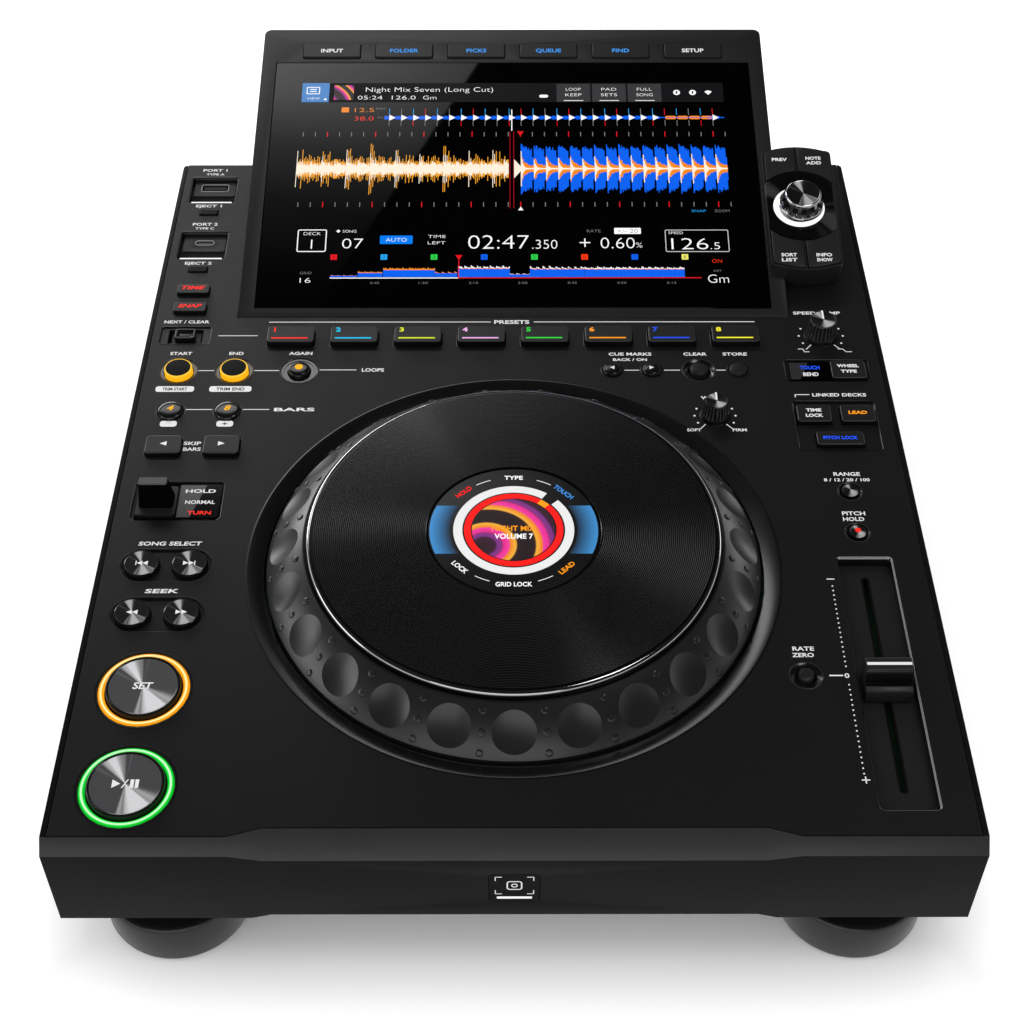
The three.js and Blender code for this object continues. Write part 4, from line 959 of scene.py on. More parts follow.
    def words(
        self,
        text: str,
        x: float,
        y: float,
        height: float,
        level: float = 0.0,
        ink: int = 0,
        wide: float = LETTER_WIDTH,
        side: float = 0.0,
        slant: float = 0.0,
        turn: float = 0.0,
        weight: float = LETTER_WEIGHT,
        span: float = 0.0,
    ) -> float:
        """Print a line of letters as thin raised shapes.

        Args:
            text: What it says.
            x: Middle of the line, or its left or right end by side.
            y: Middle of the letters' height.
            height: Height of a capital letter.
            level: Level of the face that carries the print.
            ink: Finish number.
            wide: Share by which the letters are stretched along the line.
            side: 0 puts x in the middle, -1 at the left end and 1 at the right end.
            slant: How far the letters lean over, from 0 to 1.
            turn: Angle of the line in degrees.
            weight: How much bolder than plain the strokes are, as a share of the height.
            span: Width that the line is stretched to, where it has one.

        Returns:
            The width of the line.
        """
        curve = bpy.data.curves.new("letters", "FONT")
        curve.body = text
        curve.size = height / CAP_SHARE
        curve.extrude = (PRINT_HEIGHT + PRINT_ROOT) / 2
        curve.offset = weight * height
        curve.shear = slant
        curve.resolution_u = 3
        holder = bpy.data.objects.new("letters", curve)
        mesh = bpy.data.meshes.new_from_object(holder)
        xs = [v.co.x for v in mesh.vertices]
        left, right = min(xs), max(xs)
        wide = span / (right - left) if span else wide
        width = (right - left) * wide
        anchor = (left + right) / 2 + side * (right - left) / 2
        place = (
            Matrix.Translation((x, y, level + (PRINT_HEIGHT - PRINT_ROOT) / 2))
            @ Matrix.Rotation(math.radians(turn), 4, "Z")
            @ Matrix.Diagonal((wide, 1, 1, 1))
            @ Matrix.Translation((-anchor, -height / 2, 0))
        )
        self.take(mesh, place, ink)
        bpy.data.objects.remove(holder)
        bpy.data.curves.remove(curve)
        return width

    def piece(
        self,
        name: str,
        body: str,
        finishes: Sequence[Finish],
        place: Matrix = DECK,
        slot: str = "",
        replaces: Sequence[str] = (),
        crease: float = 32.0,
        axis: Pair | None = None,
    ) -> bpy.types.Object:
        """Make the draft a finished piece of the player.

        Args:
            name: Name of the piece.
            body: Body that it moves with.
            finishes: Finishes by their numbers.
            place: Frame that the draft is in.
            slot: Not used.
            replaces: Solids that it stands for.
            crease: Angle in degrees past which an edge stays sharp.
            axis: Middle of the spin map in the draft's frame, where the piece has one.

        Returns:
            The piece's object.
        """
        mesh = bpy.data.meshes.new(name)
        mesh.from_pydata(self.points, [], self.faces)
        for finish in finishes:
            mesh.materials.append(finish.material())
        mesh.polygons.foreach_set("material_index", self.inks)
        if axis:
            self.spin(mesh, axis)
        mesh.transform(place)
        tidy(mesh)
        mesh.shade_smooth()
        mesh.set_sharp_from_angle(angle=math.radians(crease))
        return dress(bpy.data.objects.new(name, mesh), body, replaces)

    @staticmethod
    def spin(mesh: bpy.types.Mesh, axis: Pair) -> None:
        """Give a mesh a map of angle and radius about an axis, in millimetres.

        Args:
            mesh: The mesh, still in its draft's frame.
            axis: The axis along X and Y.
        """
        layer = mesh.uv_layers.new(name=SPIN_MAP)
        for polygon in mesh.polygons:
            middle = math.atan2(polygon.center.y - axis[1], polygon.center.x - axis[0])
            for loop in polygon.loop_indices:
                point = mesh.vertices[mesh.loops[loop].vertex_index].co
                dx, dy = point.x - axis[0], point.y - axis[1]
                radius = math.hypot(dx, dy)
                angle = math.atan2(dy, dx) if radius > 0.01 else middle
                turn = (angle - middle + math.pi) % (2 * math.pi) - math.pi
                layer.data[loop].uv = ((middle + turn) / (2 * math.pi), radius)


def tidy(mesh: bpy.types.Mesh) -> None:
    """Merge a mesh's doubled points and turn its faces outwards."""
    work = bmesh.new()
    work.from_mesh(mesh)
    bmesh.ops.remove_doubles(work, verts=work.verts, dist=MERGE)
    bmesh.ops.recalc_face_normals(work, faces=work.faces)
    work.to_mesh(mesh)
    work.free()


def dress(
    piece: bpy.types.Object, body: str, replaces: Sequence[str] = ()
) -> bpy.types.Object:
    """Put a piece in the scene and tie it to its body and solids.

    Args:
        piece: The piece.
        body: Body that it moves with.
        replaces: Solids that it stands for.

    Returns:
        The piece.
    """
    bpy.context.scene.collection.objects.link(piece)
    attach(piece, body)
    if replaces:
        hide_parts(*replaces)
    return piece


def cut(mesh: bpy.types.Mesh, tool: Draft, place: Matrix) -> bpy.types.Mesh:
    """Cut a closed shape out of a mesh.

    Args:
        mesh: The mesh, which is used up.
        tool: The shape to cut away.
        place: Frame that the shape is in.

    Returns:
        The mesh that is left.
    """
    block = bpy.data.meshes.new("tool")
    block.from_pydata(tool.points, [], tool.faces)
    block.transform(place)
    tidy(block)
    holders = [bpy.data.objects.new("cut", data) for data in (mesh, block)]
    for holder in holders:
        bpy.context.scene.collection.objects.link(holder)
    modifier = holders[0].modifiers.new("cut", "BOOLEAN")
    modifier.operation = "DIFFERENCE"
    modifier.solver = "EXACT"
    modifier.object = holders[1]
    bpy.context.view_layer.update()
    ready = holders[0].evaluated_get(bpy.context.evaluated_depsgraph_get())
    left = bpy.data.meshes.new_from_object(ready)
    for holder, data in zip(holders, (mesh, block)):
        bpy.data.objects.remove(holder)
        bpy.data.meshes.remove(data)
    return left


def softened(
    name: str,
    node: str,
    body: str,
    edge: float,
    finish: Finish,
    pocket: Draft | None = None,
    slope: Finish | None = None,
) -> bpy.types.Object:
    """Stand in for a solid with a copy whose edges are rounded.

    Args:
        name: Name of the piece.
        node: Name of the solid.
        body: Body that it moves with.
        edge: Width of the rounding in millimetres.
        finish: Its finish.
        pocket: A shape to cut out of it, in the frame of the fascia.
        slope: Finish of the faces that look up and forward, where they have their own; it is lighter, painted
            light.

    Returns:
        The piece's object.
    """
    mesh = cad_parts[node].data.copy()
    if pocket:
        mesh = cut(mesh, pocket, FASCIA)
    mesh.name = name
    mesh.materials.clear()
    mesh.materials.append(finish.material())
    work = bmesh.new()
    work.from_mesh(mesh)
    bmesh.ops.remove_doubles(work, verts=work.verts, dist=1e-6)
    bmesh.ops.dissolve_limit(work, angle_limit=FACET, verts=work.verts, edges=work.edges)
    sharp = [e for e in work.edges if e.is_manifold and e.calc_face_angle() > math.radians(20)]
    bmesh.ops.bevel(
        work, geom=sharp, offset=edge * MM, segments=3, profile=0.5, affect="EDGES", clamp_overlap=True
    )
    bmesh.ops.triangulate(work, faces=work.faces)
    work.to_mesh(mesh)
    work.free()
    if slope:
        mesh.materials.append(slope.material())
    # Faces that look up and forward take the lighter slope finish: painted light
    inks = [int(bool(slope) and p.normal.y < -0.35 and p.normal.z > 0.35) for p in mesh.polygons]
    mesh.polygons.foreach_set("material_index", inks)
    mesh.shade_smooth()
    mesh.set_sharp_from_angle(angle=math.radians(40))
    return dress(bpy.data.objects.new(name, mesh), body, (node,))


def keep(node: str, finish: Finish) -> None:
    """Keep a solid as it is and give it a finish."""
    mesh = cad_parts[node].data
    mesh.materials.clear()
    mesh.materials.append(finish.material())
    mesh.polygons.foreach_set("material_index", [0] * len(mesh.polygons))


class Along(Enum):
    """Ways in which copies follow each other."""

    LINE = "line"
    ROUND = "round"


@dataclass
class Repeat:
    """Copies of a small shape, laid out by a geometry node tree.

    Attributes:
        along: A line or a circle.
        count: Number of copies.
        start: First place on a line, or the circle's middle.
        step: Step from copy to copy on a line.
        radius: Radius of the circle.
        first: Angle of the first copy in degrees.
        turn: Angle between copies in degrees.
        low: Least size of a copy along Y, as a share.
        high: Greatest size of a copy along Y, as a share.
        seed: Seed of the sizes.
        sockets: Identifiers of the tree's inputs by their titles.
    """

    along: Along
    count: int
    start: Point = (0.0, 0.0, 0.0)
    step: Point = (0.0, 0.0, 0.0)
    radius: float = 0.0
    first: float = 0.0
    turn: float = 0.0
    low: float = 1.0
    high: float = 1.0
    seed: int = 7
    sockets: dict[str, str] = field(default_factory=dict)

    def group(self) -> bpy.types.NodeTree:
        """Build the tree and note the identifiers of its inputs.

        Returns:
            The node group.
        """
        group = bpy.data.node_groups.new("repeat_" + self.along.value, "GeometryNodeTree")
        kinds = {
            "Shape": "Object",
            "Finish": "Material",
            "Count": "Int",
            "Start": "Vector",
            "Step": "Vector",
            "Radius": "Float",
            "First Angle": "Float",
            "Turn": "Float",
            "Least": "Float",
            "Greatest": "Float",
            "Seed": "Int",
        }
        for title, kind in kinds.items():
            socket = group.interface.new_socket(name=title, in_out="INPUT", socket_type="NodeSocket" + kind)
            self.sockets[title] = socket.identifier
        group.interface.new_socket(name="Geometry", in_out="OUTPUT", socket_type="NodeSocketGeometry")
        tree = Tree(group)
        given = tree.node("NodeGroupInput").outputs
        if self.along is Along.LINE:
            points = tree.node(
                "GeometryNodeMeshLine",
                {"Count": given["Count"], "Start Location": given["Start"], "Offset": given["Step"]}
            ).outputs[0]
            angle: object = 0.0
        else:
            line = tree.node(
                "GeometryNodeMeshLine", {"Count": given["Count"], "Offset": (0.0, 0.0, 0.0)}
            ).outputs[0]
            number = tree.node("GeometryNodeInputIndex").outputs[0]
            angle = tree.calc("ADD", tree.calc("MULTIPLY", number, given["Turn"]), given["First Angle"])
            spot = tree.node(
                "ShaderNodeCombineXYZ",
                {
                    "X": tree.calc("MULTIPLY", tree.calc("COSINE", angle), given["Radius"]),
                    "Y": tree.calc("MULTIPLY", tree.calc("SINE", angle), given["Radius"]),
                },
            ).outputs[0]
            centred = tree.node(
                "ShaderNodeVectorMath", {0: spot, 1: given["Start"]}, operation="ADD"
            ).outputs[0]
            points = tree.node("GeometryNodeSetPosition", {"Geometry": line, "Position": centred}).outputs[0]
        turned = tree.node("ShaderNodeCombineXYZ", {"Z": angle}).outputs[0]
        rotation = tree.node("FunctionNodeEulerToRotation", {0: turned}).outputs[0]
        share = tree.node("FunctionNodeRandomValue", data_type="FLOAT")
        for title, name in (("Min", "Least"), ("Max", "Greatest")):
            socket = next(s for s in share.inputs if s.name == title and s.type == "VALUE")
            group.links.new(given[name], socket)
        group.links.new(given["Seed"], next(s for s in share.inputs if s.name == "Seed"))
        value = next(s for s in share.outputs if s.type == "VALUE")
        size = tree.node("ShaderNodeCombineXYZ", {"X": 1.0, "Y": value, "Z": 1.0}).outputs[0]
        shape = tree.node("GeometryNodeObjectInfo", {"Object": given["Shape"]}).outputs["Geometry"]
        copies = tree.node(
            "GeometryNodeInstanceOnPoints",
            {"Points": points, "Instance": shape, "Rotation": rotation, "Scale": size},
        ).outputs[0]
        real = tree.node("GeometryNodeRealizeInstances", {0: copies}).outputs[0]
        done = tree.node(
            "GeometryNodeSetMaterial", {"Geometry": real, "Material": given["Finish"]}
        ).outputs[0]
        tree.node("NodeGroupOutput", {0: done})
        return group

    def mesh(self, shape: Draft, finish: Finish) -> bpy.types.Mesh:
        """Lay out the copies and return them as one plain mesh.

        Args:
            shape: The shape that is copied.
            finish: Finish of the copies.

        Returns:
            A mesh of all copies.
        """
        pattern = bpy.data.meshes.new("shape")
        pattern.from_pydata(shape.points, [], shape.faces)
        template = bpy.data.objects.new("shape", pattern)
        holder = bpy.data.objects.new("copies", bpy.data.meshes.new("copies"))
        for item in (template, holder):
            bpy.context.scene.collection.objects.link(item)
        modifier = holder.modifiers.new("repeat", "NODES")
        modifier.node_group = self.group()
        values = {
            "Shape": template,
            "Finish": finish.material(),
            "Count": self.count,
            "Start": tuple(float(c) for c in self.start),
            "Step": tuple(float(c) for c in self.step),
            "Radius": float(self.radius),
            "First Angle": math.radians(self.first),
            "Turn": math.radians(self.turn),
            "Least": float(self.low),
            "Greatest": float(self.high),
            "Seed": self.seed,
        }
        for title, value in values.items():
            modifier[self.sockets[title]] = value
        holder.update_tag()
        bpy.context.view_layer.update()
        ready = holder.evaluated_get(bpy.context.evaluated_depsgraph_get())
        made = bpy.data.meshes.new_from_object(ready)
        holder.modifiers.clear()
        for item in (holder, template):
            data = item.data
            bpy.data.objects.remove(item)
            bpy.data.meshes.remove(data)
        return made


def between(outer: Plate, inner: Plate, share: float, level: float) -> list[Point]:
    """Return a ring part of the way from one outline to another with as many points."""
    pairs = zip(outer.ring(0, level), inner.ring(0, level))
    return [(a[0] + (b[0] - a[0]) * share, a[1] + (b[1] - a[1]) * share, level) for a, b in pairs]


def collar(draft: Draft, outer: Plate, inner: Plate, section: Sequence[Pair], ink: int = 0) -> None:
    """Add a closed band between two outlines.

    Args:
        draft: The draft to add to.
        outer: Outer outline.
        inner: Inner outline.
        section: Pairs of share from outer to inner and level, round the band's section.
        ink: Finish number.
    """
    rings = [draft.ring(between(outer, inner, share, level)) for share, level in section]
    for low, high in zip(rings, rings[1:] + rings[:1]):
        draft.bridge(low, high, ink)


def bay_rim(draft: Draft, bay: Plate, lip: float = 0.45, depth: float = 0.8, ink: int = 0) -> None:
    """Add the bevelled lip that lines a bay of the deck.

    Args:
        draft: The draft to add to.
        bay: Outline of the bay in the deck.
        lip: Width of the lip on the deck.
        depth: Depth of the bay.
        ink: Finish number.
    """
    outer = Plate(bay.width + 2 * lip, bay.depth + 2 * lip, bay.corner, bay.x, bay.y, bay.steps)
    inner = Plate(bay.width - lip, bay.depth - lip, bay.corner, bay.x, bay.y, bay.steps)
    floor = 0.01 - depth
    collar(
        draft, outer, inner,
        [(0, -0.3), (0, 0.03), (0.35, 0.07), (0.65, -0.02), (1, -0.3), (1, floor), (0.72, floor)], ink
    )


def arrow(x: float, y: float, size: float, way: int, share: float = 1.0) -> list[Pair]:
    """Return a triangle that points left for -1 and right for 1."""
    half = size / 2
    return [
        (x - way * half * share, y - half), (x + way * half * share, y), (x - way * half * share, y + half)
    ]


class Assembly:
    """A sub-assembly of the player that builds its own pieces."""

    title = "assembly"

    def build(self) -> list[bpy.types.Object]:
        """Build the pieces and return them."""
        raise NotImplementedError


@dataclass
class Chassis(Assembly):
    """Case, tray, board, feet and the sockets at the back, in millimetres."""

    title = "chassis"
    edge: float = 0.45
    foot_radius: float = 28.0
    neck_radius: float = 20.0
    foot_x: float = 128.0
    foot_rows: tuple[float, float] = (23.1, 345.0)
    ground: float = GROUND
    foot_height: float = 22.0
    floor: float = -45.3
    vent_count: int = 18
    window: Plate = Plate(18.0, 18.3, 2.6, 0.0, -25.35, 6)

    def build(self) -> list[bpy.types.Object]:
        """Build case, feet, sockets and the sensor window.

        Returns:
            The pieces.
        """
        keep("base_tray", TRAY_PAINT)
        keep("main_board", BOARD_GREEN)
        keep("deck_panel", DECK_PLASTIC)
        pocket = Draft()
        pocket.sweep(self.window.grown(0.2), [(0, -0.8), (0, 2.0)])
        case = softened(
            "case_body", "case_shell", "chassis", self.edge, CASE_PLASTIC, pocket, CHAMFER_PAINTED_LIGHT
        )
        feet = [
            self.foot(name, side * self.foot_x, row)
            for name, side, row in (
                ("foot_front_left", -1, self.foot_rows[0]),
                ("foot_front_right", 1, self.foot_rows[0]),
                ("foot_rear_left", -1, self.foot_rows[1]),
                ("foot_rear_right", 1, self.foot_rows[1]),
            )
        ]
        return [case, *feet, self.sockets(), self.vents(), self.underside(), self.sensor()]

    def foot(self, node: str, x: float, y: float) -> bpy.types.Object:
        """Build one foot, with its neck and its pad.

        Args:
            node: Name of its solid.
            x: Middle along X.
            y: Middle along Y.

        Returns:
            The piece's object.
        """
        draft = Draft()
        top = self.ground + self.foot_height
        r = self.foot_radius
        profile = [
            (0, self.ground + 1), (r - 4, self.ground + 1), (r - 3.4, self.ground + 0.4),
            (r - 2.2, self.ground + 0.3)
        ]
        profile += [
            (r - 1.4, self.ground + 0.8), (r - 0.3, self.ground + 2.2), (r, self.ground + 3.4),
            (r, top - 2.4)
        ]
        profile += [
            (r - 0.35, top - 1.1), (r - 1.2, top - 0.3), (r - 2.4, top), (self.neck_radius + 0.6, top)
        ]
        profile += [
            (self.neck_radius, top + 0.6), (self.neck_radius, self.floor + 0.2), (0, self.floor + 0.2)
        ]
        draft.turned(profile, 96, x, y)
        pad = [
            (0, self.ground), (r - 5.5, self.ground), (r - 4.8, self.ground + 0.5),
            (r - 4.8, self.ground + 1.4)
        ]
        draft.turned([*pad, (0, self.ground + 1.4)], 64, x, y, ink=1)
        return draft.piece(
            node + "_dressed", "chassis", [FOOT_BLACK, FOOT_PAD], slot="foot", replaces=[node], crease=40
        )

    def sockets(self) -> bpy.types.Object:
        """Build the pins and rims of the sockets in the rear panel.

        Returns:
            The piece's object.
        """
        draft = Draft()
        mains = 118.0
        collar(
            draft, Plate(27.6, 19.6, 3, mains, 0), Plate(23.8, 15.8, 2.2, mains, 0),
            [(0, 0.05), (0, 1.1), (0.3, 1.4), (1, 1.2), (1, -1.5), (0.9, -1.5)]
        )
        for x, y in ((-5.5, -1.5), (5.5, -1.5), (0, 3)):
            draft.sweep(Plate(2, 4.2, 0.4, mains + x, y), [(0, -15.2), (0, -3.2), (0.5, -2.6)], ink=1)
        for x, width, height in ((-48.0, 12.0, 9.0), (-82.0, 9.0, 8.0)):
            outer = Plate(width + 3.2, height + 3.2, 0.8, x, 0)
            inner = Plate(width - 0.4, height - 0.4, 0.4, x, 0)
            collar(
                draft, outer, inner,
                [(0, 0.05), (0, 0.5), (0.2, 0.7), (0.8, 0.7), (1, 0.4), (1, -1), (0.9, -1)], ink=2
            )
            for step in range(8 if width > 10 else 4):
                pitch = 1.02 if width > 10 else 1.6
                across = x + (step - (3.5 if width > 10 else 1.5)) * pitch
                draft.sweep(
                    Plate(0.5, 0.6, 0.1, across, height / 2 - 1.2), [(0, -11), (0, -1.8), (0.1, -1.6)],
                    ink=3
                )
        for x, core in ((44.0, 4), (24.0, 5), (4.0, 0)):
            draft.turned([(6.4, 0.04), (6.4, 0.9), (5.9, 1.3), (4.5, 1.3), (4.5, 0.04)], 48, x, 0, loop=True)
            draft.turned(
                [(4.35, 0.05), (4.35, 8.6), (4.0, 8.95), (3.4, 8.95), (3.4, 0.05)], 48, x, 0, loop=True,
                ink=3
            )
            draft.turned([(3.3, 0.1), (3.3, 8.2), (1.6, 8.2), (1.6, 0.1)], 32, x, 0, loop=True, ink=core)
        for x, text in (
            (44.0, "R"), (24.0, "L"), (4.0, "D"), (-48.0, "LAN"), (-82.0, "USB"), (118.0, "AC IN")
        ):
            draft.words(text, x, 13.6, 2.6, 0.0, 6)
        for x in (-150, -105, -20, 65, 150):
            draft.turned(
                [(0, -0.1), (3.0, -0.1), (3.0, 0.6), (2.4, 1.3), (1.2, 1.5), (1.2, 0.9), (0, 0.9)], 24, x,
                -11, ink=7
            )
        finishes = [SOCKET_BLACK, NICKEL, NICKEL, GILT, RED_JACK, WHITE_JACK, WHITE_INK_GLOW, SCREW_BLACK]
        return draft.piece("rear_sockets", "chassis", finishes, REAR, slot="tray")

    def vents(self) -> bpy.types.Object:
        """Build two rows of raised louvres on the rear panel."""
        draft = Draft()
        louvre = Draft()
        louvre.sweep(Plate(1.5, 12, 0.7, steps=3), [(0, -0.2), (0, 0.15), (0.35, 0.42)])
        for start in (64.0, -146.0):
            row = Repeat(Along.LINE, 8, (start, 1.0, 0.0), (3.2, 0, 0))
            draft.take(row.mesh(louvre, SOCKET_BLACK), Matrix.Identity(4))
        return draft.piece("rear_louvres", "chassis", [DARK_PLASTIC], REAR, slot="tray")

    def underside(self) -> bpy.types.Object:
        """Build the screws and the vent ribs under the tray.

        Returns:
            The piece's object.
        """
        draft = Draft()
        screw = Draft()
        screw.turned([(0, -0.2), (3.2, -0.2), (3.2, 0.5), (2.6, 1.0), (1.2, 1.2), (1.2, 0.6), (0, 0.6)], 20)
        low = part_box("base_tray")[0]
        lift = Matrix.Translation((0, 0, -low.z / MM))
        for y in (-150.0, -40.0, 60.0, 150.0):
            row = Repeat(Along.LINE, 4, (-138.0, y, 0.0), (92.0, 0, 0))
            draft.take(row.mesh(screw, SCREW_BLACK), lift)
        rib = Draft()
        rib.sweep(Plate(2.2, 34, 1.1, steps=3), [(0, -0.2), (0, 0.3), (0.5, 0.7)])
        for y in (-95.0, 20.0, 105.0):
            row = Repeat(Along.LINE, self.vent_count, (-38.25, y, 0.0), (4.5, 0, 0))
            draft.take(row.mesh(rib, DARK_PLASTIC), lift, 1)
        return draft.piece(
            "underside_screws", "chassis", [SCREW_BLACK, DARK_PLASTIC], UNDER @ Matrix.Scale(MM, 4),
            slot="tray"
        )

    def sensor(self) -> bpy.types.Object:
        """Build the sensor window and its lamp in the fascia.

        Returns:
            The piece's object.
        """
        draft = Draft()
        window = self.window
        level = -PRINT_HEIGHT
        draft.sweep(window, [(0, -1.0), (0, level - 0.12), (0.15, level)])
        half = window.width / 2 - 2.2
        top = window.y + window.depth / 2 - 2.0
        low = window.y - window.depth / 2 + 5.4
        for side in (-1, 1):
            for end, y in ((1, top), (-1, low)):
                draft.stroke([(side * half, y - end * 2.2), (side * half, y)], 0.35, level, 1)
                draft.stroke([(side * half, y), (side * (half - 2.2), y)], 0.35, level, 1)
        centre = (top + low) / 2
        draft.outlined(Plate(5.6, 5.6, 1.3, 0, centre), 0.5, level, 1)
        draft.outlined(Plate(2.4, 2.4, 1.2, 0, centre), 0.45, level, 1)
        draft.mark(Plate(12.6, 1.3, 0.4, 0, window.y - window.depth / 2 + 2.9), level, 2)
        return draft.piece(
            "sensor_window", "chassis", [WINDOW_GLASS, WHITE_INK_GLOW, WHITE_LIGHT], FASCIA, slot="screen"
        )


@dataclass
class BlockKey:
    """A rectangular key of the deck: its node, place and size."""

    node: str
    x: float
    y: float
    width: float
    depth: float
    rise: float
    corner: float = 1.3
    edge: float = 0.45

    def cap(self, side: int = 0, edge: int = 0) -> Draft:
        """Build the key's cap and stem, with its origin on the deck under its middle.

        Args:
            side: Finish number of the walls, a darker colour that paints their shade.
            edge: Finish number of the rounded edge, a lighter colour that paints its highlight.

        Returns:
            The cap.
        """
        draft = Draft()
        plate = Plate(self.width, self.depth, self.corner, steps=4)
        bands = {0: side, 1: side, 2: edge, 3: edge, 4: edge}
        draft.sweep(plate, rounded_section(KEY_FOOT, self.rise, self.edge, 4), ink=0, inks=bands)
        draft.sweep(Plate(6, 6, 0.4, steps=1), [(0, STEM_FOOT), (0, KEY_FOOT + 0.2)], ink=side)
        return draft

    def finish(self, cap: Draft, finishes: Sequence[Finish], slot: str = "key") -> bpy.types.Object:
        """Place the cap on the deck and make it a piece."""
        draft = Draft()
        draft.join(cap, Matrix.Translation((self.x, self.y, 0)))
        return draft.piece(self.node + "_cap", self.node, finishes, slot=slot, replaces=[self.node])


@dataclass
class HotCueRow(Assembly):
    """The eight keys under the display, each with a lit figure and a bar of the same colour."""

    title = "hot cue keys"
    row: float = 263.1
    pitch: float = 28.44
    width: float = 21.0
    depth: float = 10.6
    rise: float = 3.0
    heading_row: float = 274.6

    def build(self) -> list[bpy.types.Object]:
        """Build the keys and their heading.

        Returns:
            The eight keys, and the rims of their openings with the heading.
        """
        lights = [
            RED_LIGHT, SKY_LIGHT, LIME_LIGHT, PINK_LIGHT, GREEN_LIGHT, ORANGE_LIGHT, BLUE_LIGHT,
            YELLOW_LIGHT
        ]
        pieces = []
        for i, (letter, light) in enumerate(zip("abcdefgh", lights)):
            key = BlockKey(
                f"hot_cue_key_{letter}", (i - 3.5) * self.pitch, self.row, self.width, self.depth, self.rise
            )
            key.corner = 1.6
            cap = key.cap(2, 3)
            cap.words(str(i + 1), -7.3, 2.9, 2.8, self.rise, 1, weight=0.04)
            cap.mark(Plate(16.4, 0.8, 0.3, -0.4, -2.9, 2), self.rise, 1)
            pieces.append(key.finish(cap, [KEY_PLASTIC, light, KEY_SIDE_SHADE, KEY_EDGE_HIGHLIGHT]))
        draft = Draft()
        for i in range(8):
            bay_rim(
                draft, Plate(self.width + 0.6, self.depth + 0.6, 1.9, (i - 3.5) * self.pitch, self.row),
                0.35, 2.0
            )
        draft.stroke([(-110.4, self.heading_row), (-10.3, self.heading_row)], 0.45, 0, 1)
        draft.stroke([(9.6, self.heading_row), (109.3, self.heading_row)], 0.45, 0, 1)
        draft.words("PRESETS", -0.6, self.heading_row, 2.5, 0, 1, span=15.9)
        pieces.append(draft.piece("hot_cue_rims", "chassis", [TRIM_PLASTIC, WHITE_INK_GLOW], slot="deck"))
        return pieces


class Crown(Enum):
    """Ways in which the top of a round button is finished."""

    DOME = "dome"
    DISH = "dish"
    LIT_SIDE = "lit_side"
    LIT_CORE = "lit_core"
    FACET = "facet"


@dataclass
class RoundKey:
    """A round button of the deck: its node, place, size and crown."""

    node: str
    x: float
    y: float
    radius: float
    rise: float
    crown: Crown
    sides: int = 64

    def cap(self) -> Draft:
        """Build the button with its stem, with its origin on the deck under its middle.

        Returns:
            The button; finish 1 is its light and finish 2 its second light or metal.
        """
        draft = Draft()
        r, h = self.radius, self.rise
        base = [(0, STEM_FOOT), (3, STEM_FOOT), (3, KEY_FOOT), (r, KEY_FOOT)]
        first = len(base)
        inks: dict[int, int] = {}
        if self.crown is Crown.DOME:
            top = [
                (r, h - 1.1), (r * 0.95, h - 0.6), (r * 0.86, h - 0.28), (r * 0.7, h - 0.1), (r * 0.45, h),
                (0, h)
            ]
        elif self.crown is Crown.FACET:
            top = [(r, h - 0.9), (r * 0.86, h - 0.2), (r * 0.8, h), (0, h)]
            inks = {first: 2, first + 1: 2, first + 2: 2}
        elif self.crown is Crown.LIT_CORE:
            top = [
                (r, h - 1.2), (r * 0.95, h - 0.7), (r * 0.86, h - 0.3), (r * 0.7, h - 0.1), (r * 0.5, h),
                (0, h)
            ]
        elif self.crown is Crown.LIT_SIDE:
            top = [(r, -0.5), (r - 0.05, h - 0.5), (r - 0.25, h - 0.14), (r - 0.45, h), (r - 0.75, h - 0.03)]
            top += [(r - 0.95, h), (0, h)]
            inks = {first - 1: 1, first: 1, first + 1: 2, first + 2: 2, first + 3: 2}
        else:
            top = [(r, h - 0.6), (r - 0.18, h - 0.18), (r - 0.6, h), (0, h - 0.15)]
        draft.turned([*base, *top], self.sides, inks=inks)
        return draft

    def finish(
        self, cap: Draft, finishes: Sequence[Finish], slot: str = "key", turned: bool = False
    ) -> bpy.types.Object:
        """Place the button on the deck and make it a piece.

        Args:
            cap: The button.
            finishes: Its finishes.
            slot: Not used; it is passed on to the piece, which ignores it.
            turned: Whether it needs a spin map.

        Returns:
            The piece's object.
        """
        draft = Draft()
        draft.join(cap, Matrix.Translation((self.x, self.y, 0)))
        axis = (self.x, self.y) if turned else None
        return draft.piece(
            self.node + "_cap", self.node, finishes, slot=slot, replaces=[self.node], axis=axis, crease=28
        )


def round_well(
    draft: Draft, x: float, y: float, well: float, key: float, ink: int = 0, lip: int = 0, steps: bool = False
) -> None:
    """Add the turned lining of a button's well.

    Args:
        draft: The draft to add to.
        x: Middle along X.
        y: Middle along Y.
        well: Radius of the well in the deck.
        key: Radius of the button.
        ink: Finish number.
        lip: Finish number of the lip on the deck, a lighter colour that paints its highlight.
        steps: Whether the lining goes down in steps, as round the loop buttons.
    """
    inner = key + GAP + 0.12
    profile = [(well + 0.45, -0.3), (well + 0.45, 0.03), (well + 0.2, 0.08), (well - 0.1, -0.05)]
    if steps:
        room = well - 0.3 - inner
        profile += [
            (well - 0.3, -0.3), (inner + room * 0.62, -0.34), (inner + room * 0.56, -0.6), (inner, -0.64)
        ]
    else:
        profile += [(inner + 0.15, -0.62)]
    profile += [(inner, BAY_FLOOR), (well - 0.6, BAY_FLOOR)]
    draft.turned(profile, 64, x, y, loop=True, ink=ink, inks={0: lip, 1: lip})


def hole_rim(draft: Draft, x: float, y: float, hole: float, ink: int = 0) -> None:
    """Add the thin lip of a plain round opening.

    Args:
        draft: The draft to add to.
        x: Middle along X.
        y: Middle along Y.
        hole: Radius of the opening.
        ink: Finish number.
    """
    r = hole
    profile = [
        (r + 0.6, -0.3), (r + 0.6, 0.03), (r + 0.3, 0.07), (r + 0.02, -0.3), (r + 0.02, -1.2),
        (r + 0.4, -1.2)
    ]
    draft.turned(profile, 48, x, y, loop=True, ink=ink)


